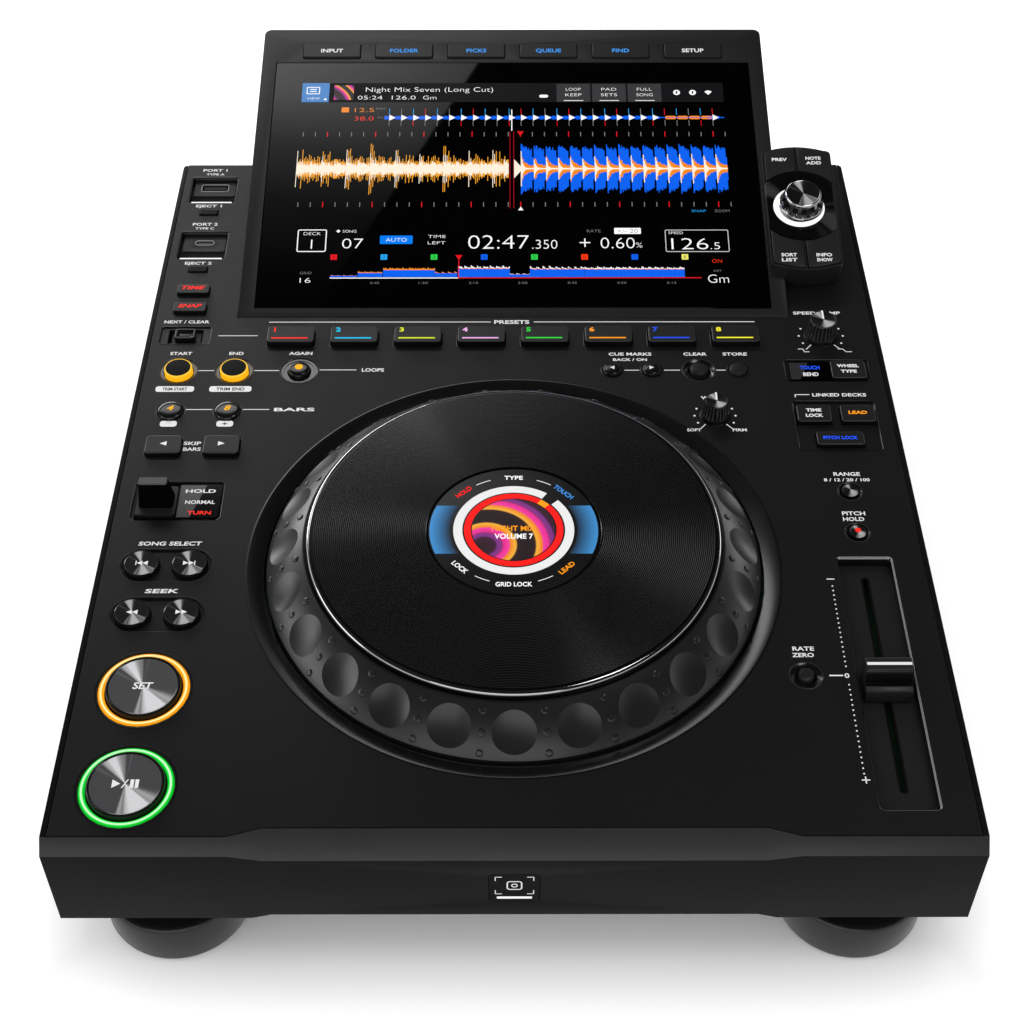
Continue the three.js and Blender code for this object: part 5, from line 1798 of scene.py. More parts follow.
@dataclass
class LoopSection(Assembly):
    """Loop, beat loop, beat jump, call, delete and memory keys with their legends."""

    title = "loop and call keys"
    outer_x: float = -147.4
    inner_x: float = -122.9
    exit_x: float = -94.3
    row: float = 241.7
    beat_row: float = 215.5
    jump_row: float = 193.2

    def build(self) -> list[bpy.types.Object]:
        """Build the keys and their legends.

        Returns:
            All pieces of the section.
        """
        pieces = []
        wells = Draft()
        for node, x in (("loop_in_button", self.outer_x), ("loop_out_button", self.inner_x)):
            key = RoundKey(node, x, self.row, 6.2, 1.9, Crown.LIT_SIDE)
            pieces.append(key.finish(key.cap(), [BUTTON_SATIN, AMBER_LIGHT, AMBER_RIM]))
            round_well(wells, x, self.row, 8.1, 6.3, 1, 2, steps=True)
        key = RoundKey("loop_exit_button", self.exit_x, self.row, 4.9, 1.8, Crown.LIT_CORE)
        cap = key.cap()
        cap.mark(disc(1.75, 0, 0.5, 32), 1.8, 1)
        pieces.append(key.finish(cap, [BUTTON_GLOSS, AMBER_LIGHT]))
        round_well(wells, self.exit_x, self.row, 8.1, 4.9, 1, 2, steps=True)
        for node, x, figure in (
            ("beat_loop_short_button", self.outer_x, "4"), ("beat_loop_long_button", self.inner_x, "8")
        ):
            key = RoundKey(node, x, self.beat_row, 5.5, 1.5, Crown.DOME)
            cap = key.cap()
            cap.words(figure, 0, 0.7, 3.0, 1.5, 1, slant=0.25, weight=0.04)
            pieces.append(key.finish(cap, [BUTTON_GLOSS, AMBER_LIGHT]))
            hole_rim(wells, x, self.beat_row, 5.85)
        for node, x, way in (
            ("beat_jump_back_key", self.outer_x, -1), ("beat_jump_forward_key", self.inner_x, 1)
        ):
            block = BlockKey(node, x, self.jump_row, 15.0, 10.7, 2.1, 1.5)
            cap = block.cap(2, 3)
            cap.flat(arrow(0, 0.3, 2.6, way, 1.1), 2.1 - PRINT_ROOT, 2.1 + PRINT_HEIGHT, 1)
            pieces.append(block.finish(cap, [KEY_PLASTIC, WHITE_INK_GLOW, KEY_SIDE_SHADE, KEY_EDGE_HIGHLIGHT]))
            bay_rim(wells, Plate(15.6, 11.3, 1.8, x, self.jump_row), 0.35, 2.0)
        for node, x, way in (("call_back_button", 43.6, -1), ("call_forward_button", 61.0, 1)):
            key = RoundKey(node, x, self.row, 4.1, 1.5, Crown.DOME)
            cap = key.cap()
            cap.flat(arrow(0, 0.2, 2.2, way, 0.9), 1.5 - PRINT_ROOT, 1.5 + PRINT_HEIGHT, 1)
            pieces.append(key.finish(cap, [BUTTON_GLOSS, WHITE_INK_GLOW]))
            hole_rim(wells, x, self.row, 4.45)
        key = RoundKey("memory_button", 99.0, self.row, 3.95, 1.5, Crown.DOME)
        pieces.append(key.finish(key.cap(), [KEY_PLASTIC]))
        hole_rim(wells, 99.0, self.row, 4.45)
        key = RoundKey("delete_button", 81.8, self.row, 4.0, 1.5, Crown.DOME)
        pieces.append(key.finish(key.cap(), [KEY_PLASTIC]))
        round_well(wells, 81.8, self.row, 7.0, 5.0, 1, 2)
        pieces.append(wells.piece("loop_wells", "chassis", [TRIM_PLASTIC, WELL_TRIM, WELL_LIP_HIGHLIGHT], slot="deck"))
        pieces.append(self.legends())
        return pieces

    def legends(self) -> bpy.types.Object:
        """Print the words, plates and lines round the keys.

        Returns:
            The printed piece.
        """
        draft = Draft()
        white, black = 0, 1
        for text, x, y, height, span in (
            ("START", -147.7, 253.2, 2.0, 9.8),
            ("END", -123.1, 253.2, 2.0, 6.4),
            ("AGAIN", -94.5, 253.2, 2.0, 10.4),
            ("LOOPS", -61.8, 242.1, 2.2, 9.8),
            ("BARS", -94.3, 216.6, 2.1, 17.5),
            ("SKIP", -135.6, 195.7, 2.0, 7.4),
            ("BARS", -135.4, 192.2, 2.0, 7.4),
            ("CUE MARKS", 52.0, 252.5, 2.0, 19.0),
            ("BACK / ON", 51.8, 248.8, 1.7, 15.0),
            ("CLEAR", 80.9, 252.5, 2.0, 10.4),
            ("STORE", 98.6, 252.5, 2.0, 10.8),
        ):
            draft.words(text, x, y, height, 0, white, span=span)
        for x, width, text in ((-147.5, 16.8, "TRIM START"), (-123.3, 18.4, "TRIM END")):
            draft.mark(Plate(width, 3.6, 1.3, x, 229.7), 0, white)
            draft.words(text, x, 229.7, 1.9, PRINT_HEIGHT, black, span=width - 6)
        for x, text in ((-147.4, "-"), (-123.3, "+")):
            draft.mark(Plate(7.2, 3.6, 1.3, x, 207.7), 0, white)
            draft.words(
                text, x, 207.7 if text == "+" else 208.3, 1.9 if text == "+" else 0.4, PRINT_HEIGHT, black,
                span=2.4
            )
        lines = (
            ((-138.4, self.row), (-131.9, self.row)),
            ((-113.9, self.row), (-103.3, self.row)),
            ((-85.1, 242.1), (-69.3, 242.1)),
            ((-140.8, 216.6), (-129.9, 216.6)),
            ((-116.2, 216.6), (-105.3, 216.6)),
            ((49.2, self.row), (55.4, self.row)),
            ((66.7, self.row), (73.4, self.row)),
            ((89.7, self.row), (93.4, self.row)),
            ((-132.3, 265.2), (-115.0, 265.2)),
        )
        for start, end in lines:
            draft.stroke([start, end], 0.4, 0, white)
        return draft.piece("loop_legends", "chassis", [WHITE_INK_GLOW, BLACK_INK], slot="deck")


@dataclass
class SourceSection(Assembly):
    """Port bays with their eject keys, source keys and the toggle, at the left of the display."""

    title = "port bays and source keys"
    x: float = -147.4
    rows: tuple[float, float] = (375.0, 331.0)
    stop_rows: tuple[float, float] = (356.5, 312.5)
    toggle_row: float = 265.4
    floor: float = 3.5
    port_offset: float = 5.2

    def build(self) -> list[bpy.types.Object]:
        """Build bays, keys and toggle."""
        return [
            self.bays(), self.ports(), self.stop_keys(), *self.source_keys(), self.toggle(), self.legends()
        ]

    def bays(self) -> bpy.types.Object:
        """Build the linings of both bays and the rim and floor of the toggle's bay.

        Returns:
            The piece's object.
        """
        draft = Draft()
        for y in self.rows:
            outer = Plate(23.4, 22.0, 1.8, self.x, y)
            inner = Plate(21.6, 20.2, 1.4, self.x, y)
            section = [
                (0, -0.3), (0, 0.02), (0.25, 0.06), (0.5, -0.1), (0.85, -0.5), (1, -0.9), (1, BAY_SEAT),
                (0.7, BAY_SEAT)
            ]
            collar(draft, outer, inner, section)
            draft.sweep(
                Plate(20.8, 8.4, 0.5, self.x, y - 5.6, 3), [(0, BAY_SEAT), (0, -3.25), (0.1, -3.2)], ink=2
            )
            # Lamp bar along the bay's front edge
            draft.sweep(
                Plate(19.8, 0.8, 0.3, self.x, y - 9.2, 3), [(0, BAY_SEAT), (0, -0.6), (0.1, -0.5)], ink=1
            )
        bay = Plate(22.4, 12.0, 1.5, self.x, self.toggle_row)
        bay_rim(draft, bay, 0.35, 0.8)
        slot = Plate(15.7, 9.3, 0.9, self.x, self.toggle_row)
        collar(draft, bay.grown(-0.3), slot, [(0, BAY_FLOOR), (0, -0.7), (1, -0.7), (1, BAY_FLOOR)], ink=3)
        finishes = [TRIM_PLASTIC, WHITE_LIGHT, DARK_PLASTIC, BAY_PLASTIC]
        return draft.piece("bay_linings", "chassis", finishes, slot="deck")

    def ports(self) -> bpy.types.Object:
        """Build the faces and tongues of the ports.

        Returns:
            The piece's object.
        """
        draft = Draft()
        face = -self.floor + 0.9
        for y, width, depth, corner in ((self.rows[0], 12.6, 5.0, 0.6), (self.rows[1], 8.2, 2.8, 1.4)):
            cy = y + self.port_offset
            plate = Plate(20.4, 11.2, 0.8, self.x, y + 4.3, 5)
            hole = Plate(width + 0.1, depth + 0.1, corner, self.x, cy, 5)
            section = [
                (0, BAY_SEAT), (0, face - 0.2), (0.04, face), (0.93, face), (1, face - 0.25), (1, BAY_SEAT)
            ]
            collar(draft, plate, hole, section)
            outer = hole.grown(0.45)
            inner = hole.grown(0.05)
            rim = [(0, face - 0.3), (0, face + 0.1), (0.5, face + 0.16), (1, face + 0.1), (1, face - 0.3)]
            collar(draft, outer, inner, rim, ink=1)
            deep = -17 if width > 10 else -11
            tongue = Plate(width - 1.2, depth * 0.62, 0.3, self.x, cy, 3)
            draft.sweep(tongue, [(0, deep), (0, face - 0.5), (0.2, face - 0.35)], ink=2)
        return draft.piece("port_faces", "chassis", [PORT_FACE, PORT_RIM, TRIM_PLASTIC], slot="deck")

    def stop_keys(self) -> bpy.types.Object:
        """Build the two caps of the eject keys' moulding.

        Returns:
            The piece's object.
        """
        draft = Draft()
        for y in self.stop_rows:
            draft.sweep(Plate(8.7, 4.0, 1.2, self.x, y, 4), rounded_section(KEY_FOOT, 0.6, 0.35, 3))
            draft.sweep(Plate(14.5, 3.0, 0.2, -140.9, y, 1), [(0, -3.95), (0, -2.95)])
        draft.sweep(Plate(2.0, 48.0, 0.2, -133.9, 334.5, 1), [(0, -4.0), (0, -2.9)])
        return draft.piece(
            "usb_stop_caps", "usb_stop_keys", [BUTTON_SATIN], slot="key", replaces=["usb_stop_keys"]
        )

    def source_keys(self) -> list[bpy.types.Object]:
        """Build the two keys with lit red words.

        Returns:
            Both keys.
        """
        pieces = []
        for node, y, text in (("source_key_rear", 296.4, "TIME"), ("source_key_front", 283.4, "SNAP")):
            key = BlockKey(node, self.x, y, 14.6, 6.0, 2.0, 1.0, 0.3)
            cap = key.cap(2, 3)
            cap.words(text, 0, 0.6, 2.5, 2.0, 1, slant=0.25, span=10.8)
            pieces.append(key.finish(cap, [KEY_PLASTIC, RED_LIGHT, KEY_SIDE_SHADE, KEY_EDGE_HIGHLIGHT]))
        return pieces

    def toggle(self) -> bpy.types.Object:
        """Build the toggle with the hollow in its top.

        Returns:
            The piece's object.
        """
        draft = Draft()
        plate = Plate(9.2, 6.6, 1.4, self.x, self.toggle_row, 4)
        section = [*rounded_section(KEY_FOOT, 1.4, 0.4, 4), (0.8, 1.4), (1.1, 1.0), (1.8, 0.5), (2.9, 0.3)]
        # The toggle's rounded top edge takes the lighter edge finish: painted highlight
        draft.sweep(plate, section, inks={4: 2, 5: 2})
        # The skirt is light grey so that, in shade under the slot, it reads like the lit bay floor: painted
        # light
        skirt = Plate(13.0, 10.4, 0.3, self.x, self.toggle_row, 1)
        draft.sweep(skirt, [(0, -4.0), (0, -2.9)], ink=1)
        finishes = [BUTTON_GLOSS, SHUTTER_PAINTED_LIGHT, KEY_EDGE_HIGHLIGHT]
        return draft.piece(
            "toggle_nub", "call_delete_toggle", finishes, slot="key", replaces=["call_delete_toggle"]
        )

    def legends(self) -> bpy.types.Object:
        """Print the words beside the bays and keys.

        Returns:
            The printed piece.
        """
        draft = Draft()
        for text, x, y, height, span in (
            ("PORT 1", -148.3, 391.6, 2.1, 12.0),
            ("TYPE A", -147.9, 388.2, 1.6, 9.0),
            ("PORT 2", -148.2, 347.5, 2.1, 12.0),
            ("TYPE C", -148.1, 344.2, 1.6, 9.0),
            ("EJECT 1", -148.1, 362.1, 2.0, 12.6),
            ("EJECT 2", -147.9, 317.5, 2.0, 12.6),
            ("NEXT / CLEAR", -147.9, 274.9, 2.0, 20.4),
        ):
            draft.words(text, x, y, height, 0, 0, span=span)
        return draft.piece("source_legends", "chassis", [WHITE_INK_GLOW], slot="deck")


@dataclass
class Transport(Assembly):
    """Direction lever, search and track buttons, cue and play buttons, down the left side."""

    title = "transport controls"
    x: float = -137.5
    half_pitch: float = 9.5
    track_row: float = 126.3
    search_row: float = 100.9
    cue_row: float = 64.6
    play_row: float = 20.9
    cap_radius: float = 14.0
    cap_rise: float = 2.2
    lever_row: float = 161.8
    lever_x: float = -145.9

    def build(self) -> list[bpy.types.Object]:
        """Build the controls."""
        return [
            self.lever(), self.lever_bay(), *self.search(), self.rims(), *self.cue_and_play(),
            self.legends()
        ]

    def lever(self) -> bpy.types.Object:
        """Build the lever: foot, flared blade with sides painted near black as shade, top painted lighter as
        light, and pivot.

        Returns:
            The piece's object.
        """
        draft = Draft()
        x, y = self.lever_x, self.lever_row
        draft.sweep(Plate(16.2, 16.6, 1.2, x, y, 4), [(0, -1.8), (0, 0.2), (0.2, 0.4)], ink=2)
        rings = []
        for share in (0.0, 0.15, 0.35, 0.6, 0.85, 1.0):
            width = 14.0 + (11.6 - 14.0) * share
            depth = 9.0 + (4.2 - 9.0) * share**0.8
            rings.append(
                draft.ring(Plate(width, depth, 1.2 - 0.4 * share, x, y, 4).ring(0, 0.3 + 11.2 * share))
            )
        for low, high in zip(rings, rings[1:]):
            draft.bridge(low, high)
        draft.face(rings[0][::-1])
        crown = draft.ring(Plate(11.3, 3.9, 0.5, x, y, 4).ring(0, 11.8))
        top = draft.ring(Plate(10.9, 3.5, 0.4, x, y, 4).ring(0, 12.0))
        draft.bridge(rings[-1], crown, 1)
        draft.bridge(crown, top, 1)
        draft.face(top, 1)
        hub = Draft()
        hub.turned([(0, -8.1), (3.4, -8.1), (3.4, 8.1), (0, 8.1)], 24)
        draft.join(hub, Matrix.Translation((x, y, -8)) @ Matrix.Rotation(math.pi / 2, 4, "Y"))
        draft.sweep(Plate(14, 4, 0.3, x, y, 1), [(0, -8), (0, -1.7)])
        finishes = [LEVER_SIDE_PAINTED_SHADE, LEVER_TOP_PAINTED_LIGHT, KEY_PLASTIC]
        return draft.piece(
            "lever_blade", "direction_lever", finishes, slot="key", replaces=["direction_lever"]
        )

    def lever_bay(self) -> bpy.types.Object:
        """Build the rim of the lever's bay and its glossy plate, with a painted reflection on the plate.

        Returns:
            The piece's object.
        """
        draft = Draft()
        bay_rim(draft, Plate(36.6, 21.4, 2.0, self.x, self.lever_row), 0.4, 0.8)
        plate = Plate(17.9, 19.4, 1.2, -128.75, 161.7, 4)
        draft.sweep(plate, [(0, BAY_FLOOR), (0, -0.2), (0.2, -0.06), (0.4, -0.05)], ink=1)
        # A lighter triangle on the plate: a painted reflection of a softbox's edge
        draft.flat([(-137.0, 152.6), (-131.6, 152.6), (-126.4, 170.8), (-137.0, 170.8)], -0.06, -0.03, 4)
        for text, x, y, ink, span in (
            ("HOLD", -128.6, 167.5, 2, 12.4),
            ("NORMAL", -128.2, 161.2, 2, 12.2),
            ("TURN", -127.9, 155.2, 3, 9.6),
        ):
            draft.words(text, x, y, 2.0, -0.05, ink, span=span)
        finishes = [TRIM_PLASTIC, WINDOW_GLASS, WHITE_INK_GLOW, RED_LIGHT, GLASS_PAINTED_REFLECTION]
        return draft.piece("lever_bay_rim", "chassis", finishes, slot="deck")

    def search(self) -> list[bpy.types.Object]:
        """Build the four small spun buttons.

        Returns:
            The four buttons.
        """
        pieces = []
        for node, side, row, bars in (
            ("track_back_button", -1, self.track_row, True),
            ("track_forward_button", 1, self.track_row, True),
            ("search_back_button", -1, self.search_row, False),
            ("search_forward_button", 1, self.search_row, False),
        ):
            key = RoundKey(node, self.x + side * self.half_pitch, row, 7.0, 1.6, Crown.DISH, sides=64)
            cap = Draft()
            profile = [
                (0, STEM_FOOT), (3, STEM_FOOT), (3, KEY_FOOT), (7, KEY_FOOT), (7, 0.9), (6.85, 1.4),
                (6.5, 1.6)
            ]
            profile += [(6.35, 1.58), (6.25, 1.52), (3, 1.5), (0, 1.5)]
            cap.turned(profile, 64, inks={7: 1, 8: 1, 9: 1})
            shift = -0.35 * side if bars else 0
            for step in (-1.1, 1.1):
                cap.flat(arrow(shift + step, 0, 2.2, side, 1.0), 1.5, 1.56, 2)
            if bars:
                end = shift + side * 2.45
                cap.flat(
                    [(end - 0.2, -1.1), (end + 0.2, -1.1), (end + 0.2, 1.1), (end - 0.2, 1.1)], 1.5, 1.56, 2
                )
            pieces.append(key.finish(cap, [BUTTON_GLOSS, SPUN_DARK, WHITE_INK_GLOW], "search", turned=True))
        return pieces

    def rims(self) -> bpy.types.Object:
        """Build the rims of the stadium bays and the light rings of cue and play.

        Returns:
            The piece's object.
        """
        draft = Draft()
        for row in (self.track_row, self.search_row):
            outer = Plate(2 * self.half_pitch + 18.2, 18.2, 9.1, self.x, row, 12)
            inner = Plate(2 * self.half_pitch + 16.0, 16.0, 8.0, self.x, row, 12)
            section = [
                (0, -0.3), (0, 0.03), (0.25, 0.07), (0.5, -0.02), (0.8, -0.35), (1, -0.5), (1, BAY_FLOOR),
                (0.8, BAY_FLOOR)
            ]
            collar(draft, outer, inner, section)
        for row, ink in ((self.cue_row, 1), (self.play_row, 4)):
            lip = [
                (18.2, -0.3), (18.2, 0.03), (17.9, 0.08), (17.35, -0.1), (17.3, BAY_FLOOR),
                (17.8, BAY_FLOOR)
            ]
            draft.turned(lip, 128, self.x, row, loop=True)
            tube = []
            for step in range(13):
                angle = math.pi * step / 12
                tube.append((15.8 + 1.22 * math.cos(angle), -0.62 + 0.85 * math.sin(angle)))
            glow = {4: ink + 1, 5: ink + 2, 6: ink + 2, 7: ink + 1}
            draft.turned(tube, 128, self.x, row, loop=True, ink=ink, inks=glow)
        finishes = [TRIM_PLASTIC, CUE_GLOW, CUE_BLOOM, CUE_CORE, PLAY_GLOW, PLAY_BLOOM, PLAY_CORE]
        return draft.piece("transport_rims", "chassis", finishes, slot="deck")

    def cue_and_play(self) -> list[bpy.types.Object]:
        """Build the two large spun buttons.

        Returns:
            Both buttons.
        """
        pieces = []
        r, h = self.cap_radius, self.cap_rise
        for node, row in (("cue_button", self.cue_row), ("play_button", self.play_row)):
            cap = Draft()
            profile = [
                (0, STEM_FOOT), (3, STEM_FOOT), (3, KEY_FOOT), (r, KEY_FOOT), (r, h - 0.7),
                (r - 0.2, h - 0.25)
            ]
            profile += [
                (r - 0.6, h), (r - 1.0, h - 0.1), (r - 1.25, h - 0.26), (r - 4, h - 0.3), (r - 9, h - 0.3),
                (0, h - 0.3)
            ]
            # The side wall and outer edge take the darker side finish: painted shade
            cap.turned(profile, 128, inks={3: 3, 4: 3, 8: 1, 9: 1, 10: 1})
            level = h - 0.3
            if node == "cue_button":
                cap.words("SET", 0, 0.2, 3.1, level, 2, slant=0.15, span=7.6, weight=0.03)
            else:
                cap.flat([(-4.7, -1.8), (-1.7, 0.0), (-4.7, 1.8)], level, level + 0.06, 2)
                cap.flat([(-1.3, -1.8), (-0.8, -1.8), (1.1, 1.8), (0.6, 1.8)], level, level + 0.06, 2)
                for x in (1.75, 3.5):
                    cap.flat([(x, -1.8), (x + 1.3, -1.8), (x + 1.3, 1.8), (x, 1.8)], level, level + 0.06, 2)
            key = RoundKey(node, self.x, row, r, h, Crown.DISH)
            pieces.append(
                key.finish(cap, [BUTTON_GLOSS, SPUN_STEEL, WHITE_INK_GLOW, KEY_SIDE_SHADE], "transport", turned=True)
            )
        return pieces

    def legends(self) -> bpy.types.Object:
        """Print the words above the search and track buttons.

        Returns:
            The printed piece.
        """
        draft = Draft()
        draft.words("SONG SELECT", self.x + 0.2, 138.1, 2.1, 0, 0, slant=0.1, span=25.4)
        draft.words("SEEK", self.x + 0.1, 112.9, 2.1, 0, 0, slant=0.1, span=13.0)
        return draft.piece("transport_legends", "chassis", [WHITE_INK_GLOW], slot="deck")


@dataclass
class Knob(Assembly):
    """A small turning knob with fluted sides whose ridges are painted lighter as highlights, a spun top and a
    pointer line.

    Attributes:
        node: Its solid.
        x: Middle along X.
        y: Middle along Y.
        radius: Radius at the foot.
        top: Radius at the top.
        height: Height over the deck.
        flutes: Number of flutes.
    """

    node: str
    x: float
    y: float
    radius: float
    top: float
    height: float
    flutes: int = 24
    title = "knob"

    def build(self) -> list[bpy.types.Object]:
        """Build the knob.

        Returns:
            The knob's object in a list.
        """
        draft = Draft()
        sides = self.flutes * 6
        foot = self.radius - 2.2
        levels = [(-3.0, foot, 0.0), (0.3, foot, 0.0), (0.3, self.radius, 0.0), (1.2, self.radius, 0.1)]
        for step in range(5):
            share = step / 4
            radius = self.radius + (self.top - self.radius) * share
            levels.append((1.6 + (self.height - 2.6) * share, radius, 0.34))
        levels += [
            (self.height - 0.5, self.top, 0.05), (self.height - 0.12, self.top - 0.2, 0.0),
            (self.height, self.top - 0.45, 0.0)
        ]
        rings = []
        for level, radius, ripple in levels:
            ring = []
            for i in range(sides):
                angle = 2 * math.pi * i / sides
                r = radius - ripple * (0.5 + 0.5 * math.cos(self.flutes * angle))
                ring.append((self.x + r * math.cos(angle), self.y + r * math.sin(angle), level))
            rings.append(draft.ring(ring))
        for band, (low, high) in enumerate(zip(rings, rings[1:])):
            for i in range(sides):
                j = (i + 1) % sides
                # The flutes' outer ridges take a lighter finish: painted highlights
                ridge = 3 < band < len(rings) - 3 and math.cos(
                    2 * math.pi * self.flutes * (i + 0.5) / sides
                ) < -0.3
                draft.face((low[i], low[j], high[j], high[i]), 3 if ridge else 0)
        draft.face(rings[0][::-1])
        dish = draft.ring(round_ring(self.top - 0.6, sides, self.height - 0.08, self.x, self.y))
        draft.bridge(rings[-1], dish, 0)
        pole = draft.ring([(self.x, self.y, self.height - 0.1)])
        draft.bridge(dish, pole, 1)
        # Pointer: a line from the middle over the rear edge
        reach = self.top - 0.15
        line = Plate(0.8, reach - 0.4, 0.1, self.x, self.y + (reach + 0.4) / 2, 1)
        draft.sweep(line, [(0, self.height - 0.3), (0, self.height + 0.02)], ink=2)
        draft.sweep(
            Plate(0.8, 0.7, 0.1, self.x, self.y + self.top - 0.1, 1),
            [(0, self.height - 2.0), (0, self.height - 0.2)], ink=2
        )
        draft.turned([(0, -12.0), (3, -12.0), (3, 0.4), (0, 0.4)], 24, self.x, self.y)
        finishes = [KNOB_BLACK, SPUN_KNOB, WHITE_INK_GLOW, KNOB_RIDGE_HIGHLIGHT]
        axis = (self.x, self.y)
        name = self.node + "_turned"
        return [
            draft.piece(name, self.node, finishes, slot="knob", replaces=[self.node], crease=30, axis=axis)
        ]


@dataclass
class RightColumn(Assembly):
    """Knobs, jog mode, sync and tempo controls of the right side."""

    title = "right column"
    x: float = 138.4
    knob_row: float = 264.7
    mode_row: float = 241.4
    sync_bay_row: float = 206.2
    range_row: float = 166.8
    master_row: float = 143.7
    jog_knob_x: float = 86.6
    jog_knob_row: float = 212.4
    reset_x: float = 109.2
    reset_row: float = 70.55

    def build(self) -> list[bpy.types.Object]:
        """Build knobs, keys, rims and legends.

        Returns:
            All pieces of the column.
        """
        speed = Knob("speed_adjust_knob", self.x, self.knob_row, 6.8, 6.0, 9.8)
        wheel = Knob("jog_adjust_knob", self.jog_knob_x, self.jog_knob_row, 5.8, 5.0, 9.0, 22)
        return [*speed.build(), *wheel.build(), *self.keys(), *self.buttons(), self.rims(), self.legends()]

    def keys(self) -> list[bpy.types.Object]:
        """Build the jog mode key and the three sync keys.

        Returns:
            The four keys.
        """
        pieces = []
        for node, x, y, size, words in (
            (
                "jog_mode_key", 147.6, self.mode_row, (15.2, 11.4, 0.9),
                (("WHEEL", 2.2, 1, 9.6), ("TYPE", -1.4, 1, 7.0))
            ),
            (
                "beat_sync_key", 129.0, 212.7, (14.5, 10.2, 1.3),
                (("TIME", 1.9, 1, 6.6), ("LOCK", -1.4, 1, 7.4))
            ),
            ("sync_master_key", 147.8, 212.7, (14.5, 10.2, 1.3), (("LEAD", 0.4, 2, 8.0),)),
            ("key_sync_key", 138.4, 197.3, (20.0, 7.7, 1.3), (("PITCH LOCK", 0.2, 3, 14.6),)),
        ):
            key = BlockKey(node, x, y, size[0], size[1], size[2], 1.2, 0.35)
            cap = key.cap(4, 5)
            for text, shift, ink, span in words:
                cap.words(text, 0, shift, 1.9, size[2], ink, span=span, weight=0.05)
            finishes = [KEY_PLASTIC, WHITE_INK_GLOW, WORD_AMBER, WORD_BLUE, KEY_SIDE_SHADE, KEY_EDGE_HIGHLIGHT]
            pieces.append(key.finish(cap, finishes))
        return pieces

    def buttons(self) -> list[bpy.types.Object]:
        """Build the tempo range, master tempo and reset buttons.

        Returns:
            The three buttons.
        """
        pieces = []
        for node, y, light in (
            ("tempo_range_button", self.range_row, SPUN_DARK),
            ("master_tempo_button", self.master_row, RED_LIGHT),
        ):
            key = RoundKey(node, self.x, y, 3.4, 1.4, Crown.FACET, sides=48)
            cap = key.cap()
            if light is RED_LIGHT:
                cap.mark(disc(1.2, 0, 0.1, 24), 1.4, 1)
            pieces.append(key.finish(cap, [BUTTON_GLOSS, light, SPUN_KNOB], turned=True))
        key = RoundKey("tempo_reset_button", self.reset_x, self.reset_row, 3.1, 1.4, Crown.DOME)
        pieces.append(key.finish(key.cap(), [KEY_PLASTIC]))
        return pieces

    def rims(self) -> bpy.types.Object:
        """Build the rims of bays and wells and the jog mode indicator, with a painted reflection on the
        indicator.

        Returns:
            The piece's object.
        """
        draft = Draft()
        bay_rim(draft, Plate(36.7, 14.0, 1.5, self.x, self.mode_row), 0.4, 0.8)
        bay = Plate(35.1, 30.5, 1.8, self.x, self.sync_bay_row)
        bay_rim(draft, bay, 0.4, 0.8)
        round_well(draft, self.x, self.range_row, 4.8, 3.4, 4, 5)
        round_well(draft, self.x, self.master_row, 4.8, 3.4, 4, 5)
        round_well(draft, self.reset_x, self.reset_row, 6.0, 3.6, 4, 5)
        for x, y, r in ((self.x, self.knob_row, 7.6), (self.jog_knob_x, self.jog_knob_row, 6.6)):
            draft.turned(
                [(r, -0.3), (r, 0.05), (r - 0.25, 0.12), (r - 1.0, 0.1), (r - 1.0, -0.3)], 64, x, y,
                loop=True
            )
        indicator = Plate(18.4, 11.8, 0.9, 130.6, 241.1, 4)
        draft.sweep(indicator, [(0, BAY_FLOOR), (0, -0.15), (0.2, -0.01), (0.4, 0.0)], ink=1)
        # A lighter triangle on the indicator: a painted reflection of a softbox's edge
        draft.flat([(121.9, 235.7), (126.0, 235.7), (130.4, 246.5), (121.9, 246.5)], -0.01, 0.02, 6)
        draft.words("TOUCH", 130.9, 243.4, 2.3, 0.0, 2, span=8.6, weight=0.04)
        draft.words("BEND", 130.9, 239.0, 2.3, 0.0, 3, span=6.8, weight=0.04)
        finishes = [TRIM_PLASTIC, WINDOW_GLASS, WORD_BLUE, WHITE_INK_GLOW, WELL_TRIM, WELL_LIP_HIGHLIGHT, GLASS_PAINTED_REFLECTION]
        return draft.piece("right_rims", "chassis", finishes, slot="deck")

    def legends(self) -> bpy.types.Object:
        """Print the words, dots and ticks.

        Returns:
            The printed piece.
        """
        draft = Draft()
        dot = Draft()
        dot.turned([(0, -PRINT_ROOT), (0.5, -PRINT_ROOT), (0.5, PRINT_HEIGHT), (0, PRINT_HEIGHT)], 12)
        for x, y, radius in ((self.x, self.knob_row, 9.9), (self.jog_knob_x, self.jog_knob_row, 8.8)):
            for first in (150.0, -30.0):
                ring = Repeat(Along.ROUND, 3, (x, y, 0.0), radius=radius, first=first, turn=30.0)
                draft.take(ring.mesh(dot, WHITE_INK_GLOW), Matrix.Identity(4))
            for angle in (-50, -130):
                way = Vector((math.cos(math.radians(angle)), math.sin(math.radians(angle))))
                ends = [(x + reach * way.x, y + reach * way.y) for reach in (radius - 1.7, radius + 1.9)]
                draft.stroke(ends, 0.4, 0)
        for text, x, y, height, span in (
            ("SPEED RAMP", 138.4, 280.7, 2.0, 21.4),
            ("WHEEL", self.jog_knob_x, self.jog_knob_row + 11.4, 2.0, 10.4),
            ("SOFT", self.jog_knob_x - 9.6, self.jog_knob_row - 8.8, 1.7, 6.0),
            ("FIRM", self.jog_knob_x + 9.8, self.jog_knob_row - 8.8, 1.7, 6.0),
            ("LINKED DECKS", 141.6, 225.6, 2.0, 23.4),
            ("RANGE", 138.4, 177.0, 2.1, 11.0),
            ("8 / 12 / 20 / 100", 138.0, 173.6, 1.7, 19.0),
            ("PITCH", 138.2, 154.4, 2.1, 9.4),
            ("HOLD", 137.8, 151.2, 2.1, 8.6),
            ("RATE", 109.5, 83.6, 2.0, 8.2),
            ("ZERO", 109.1, 80.5, 2.0, 8.2),
        ):
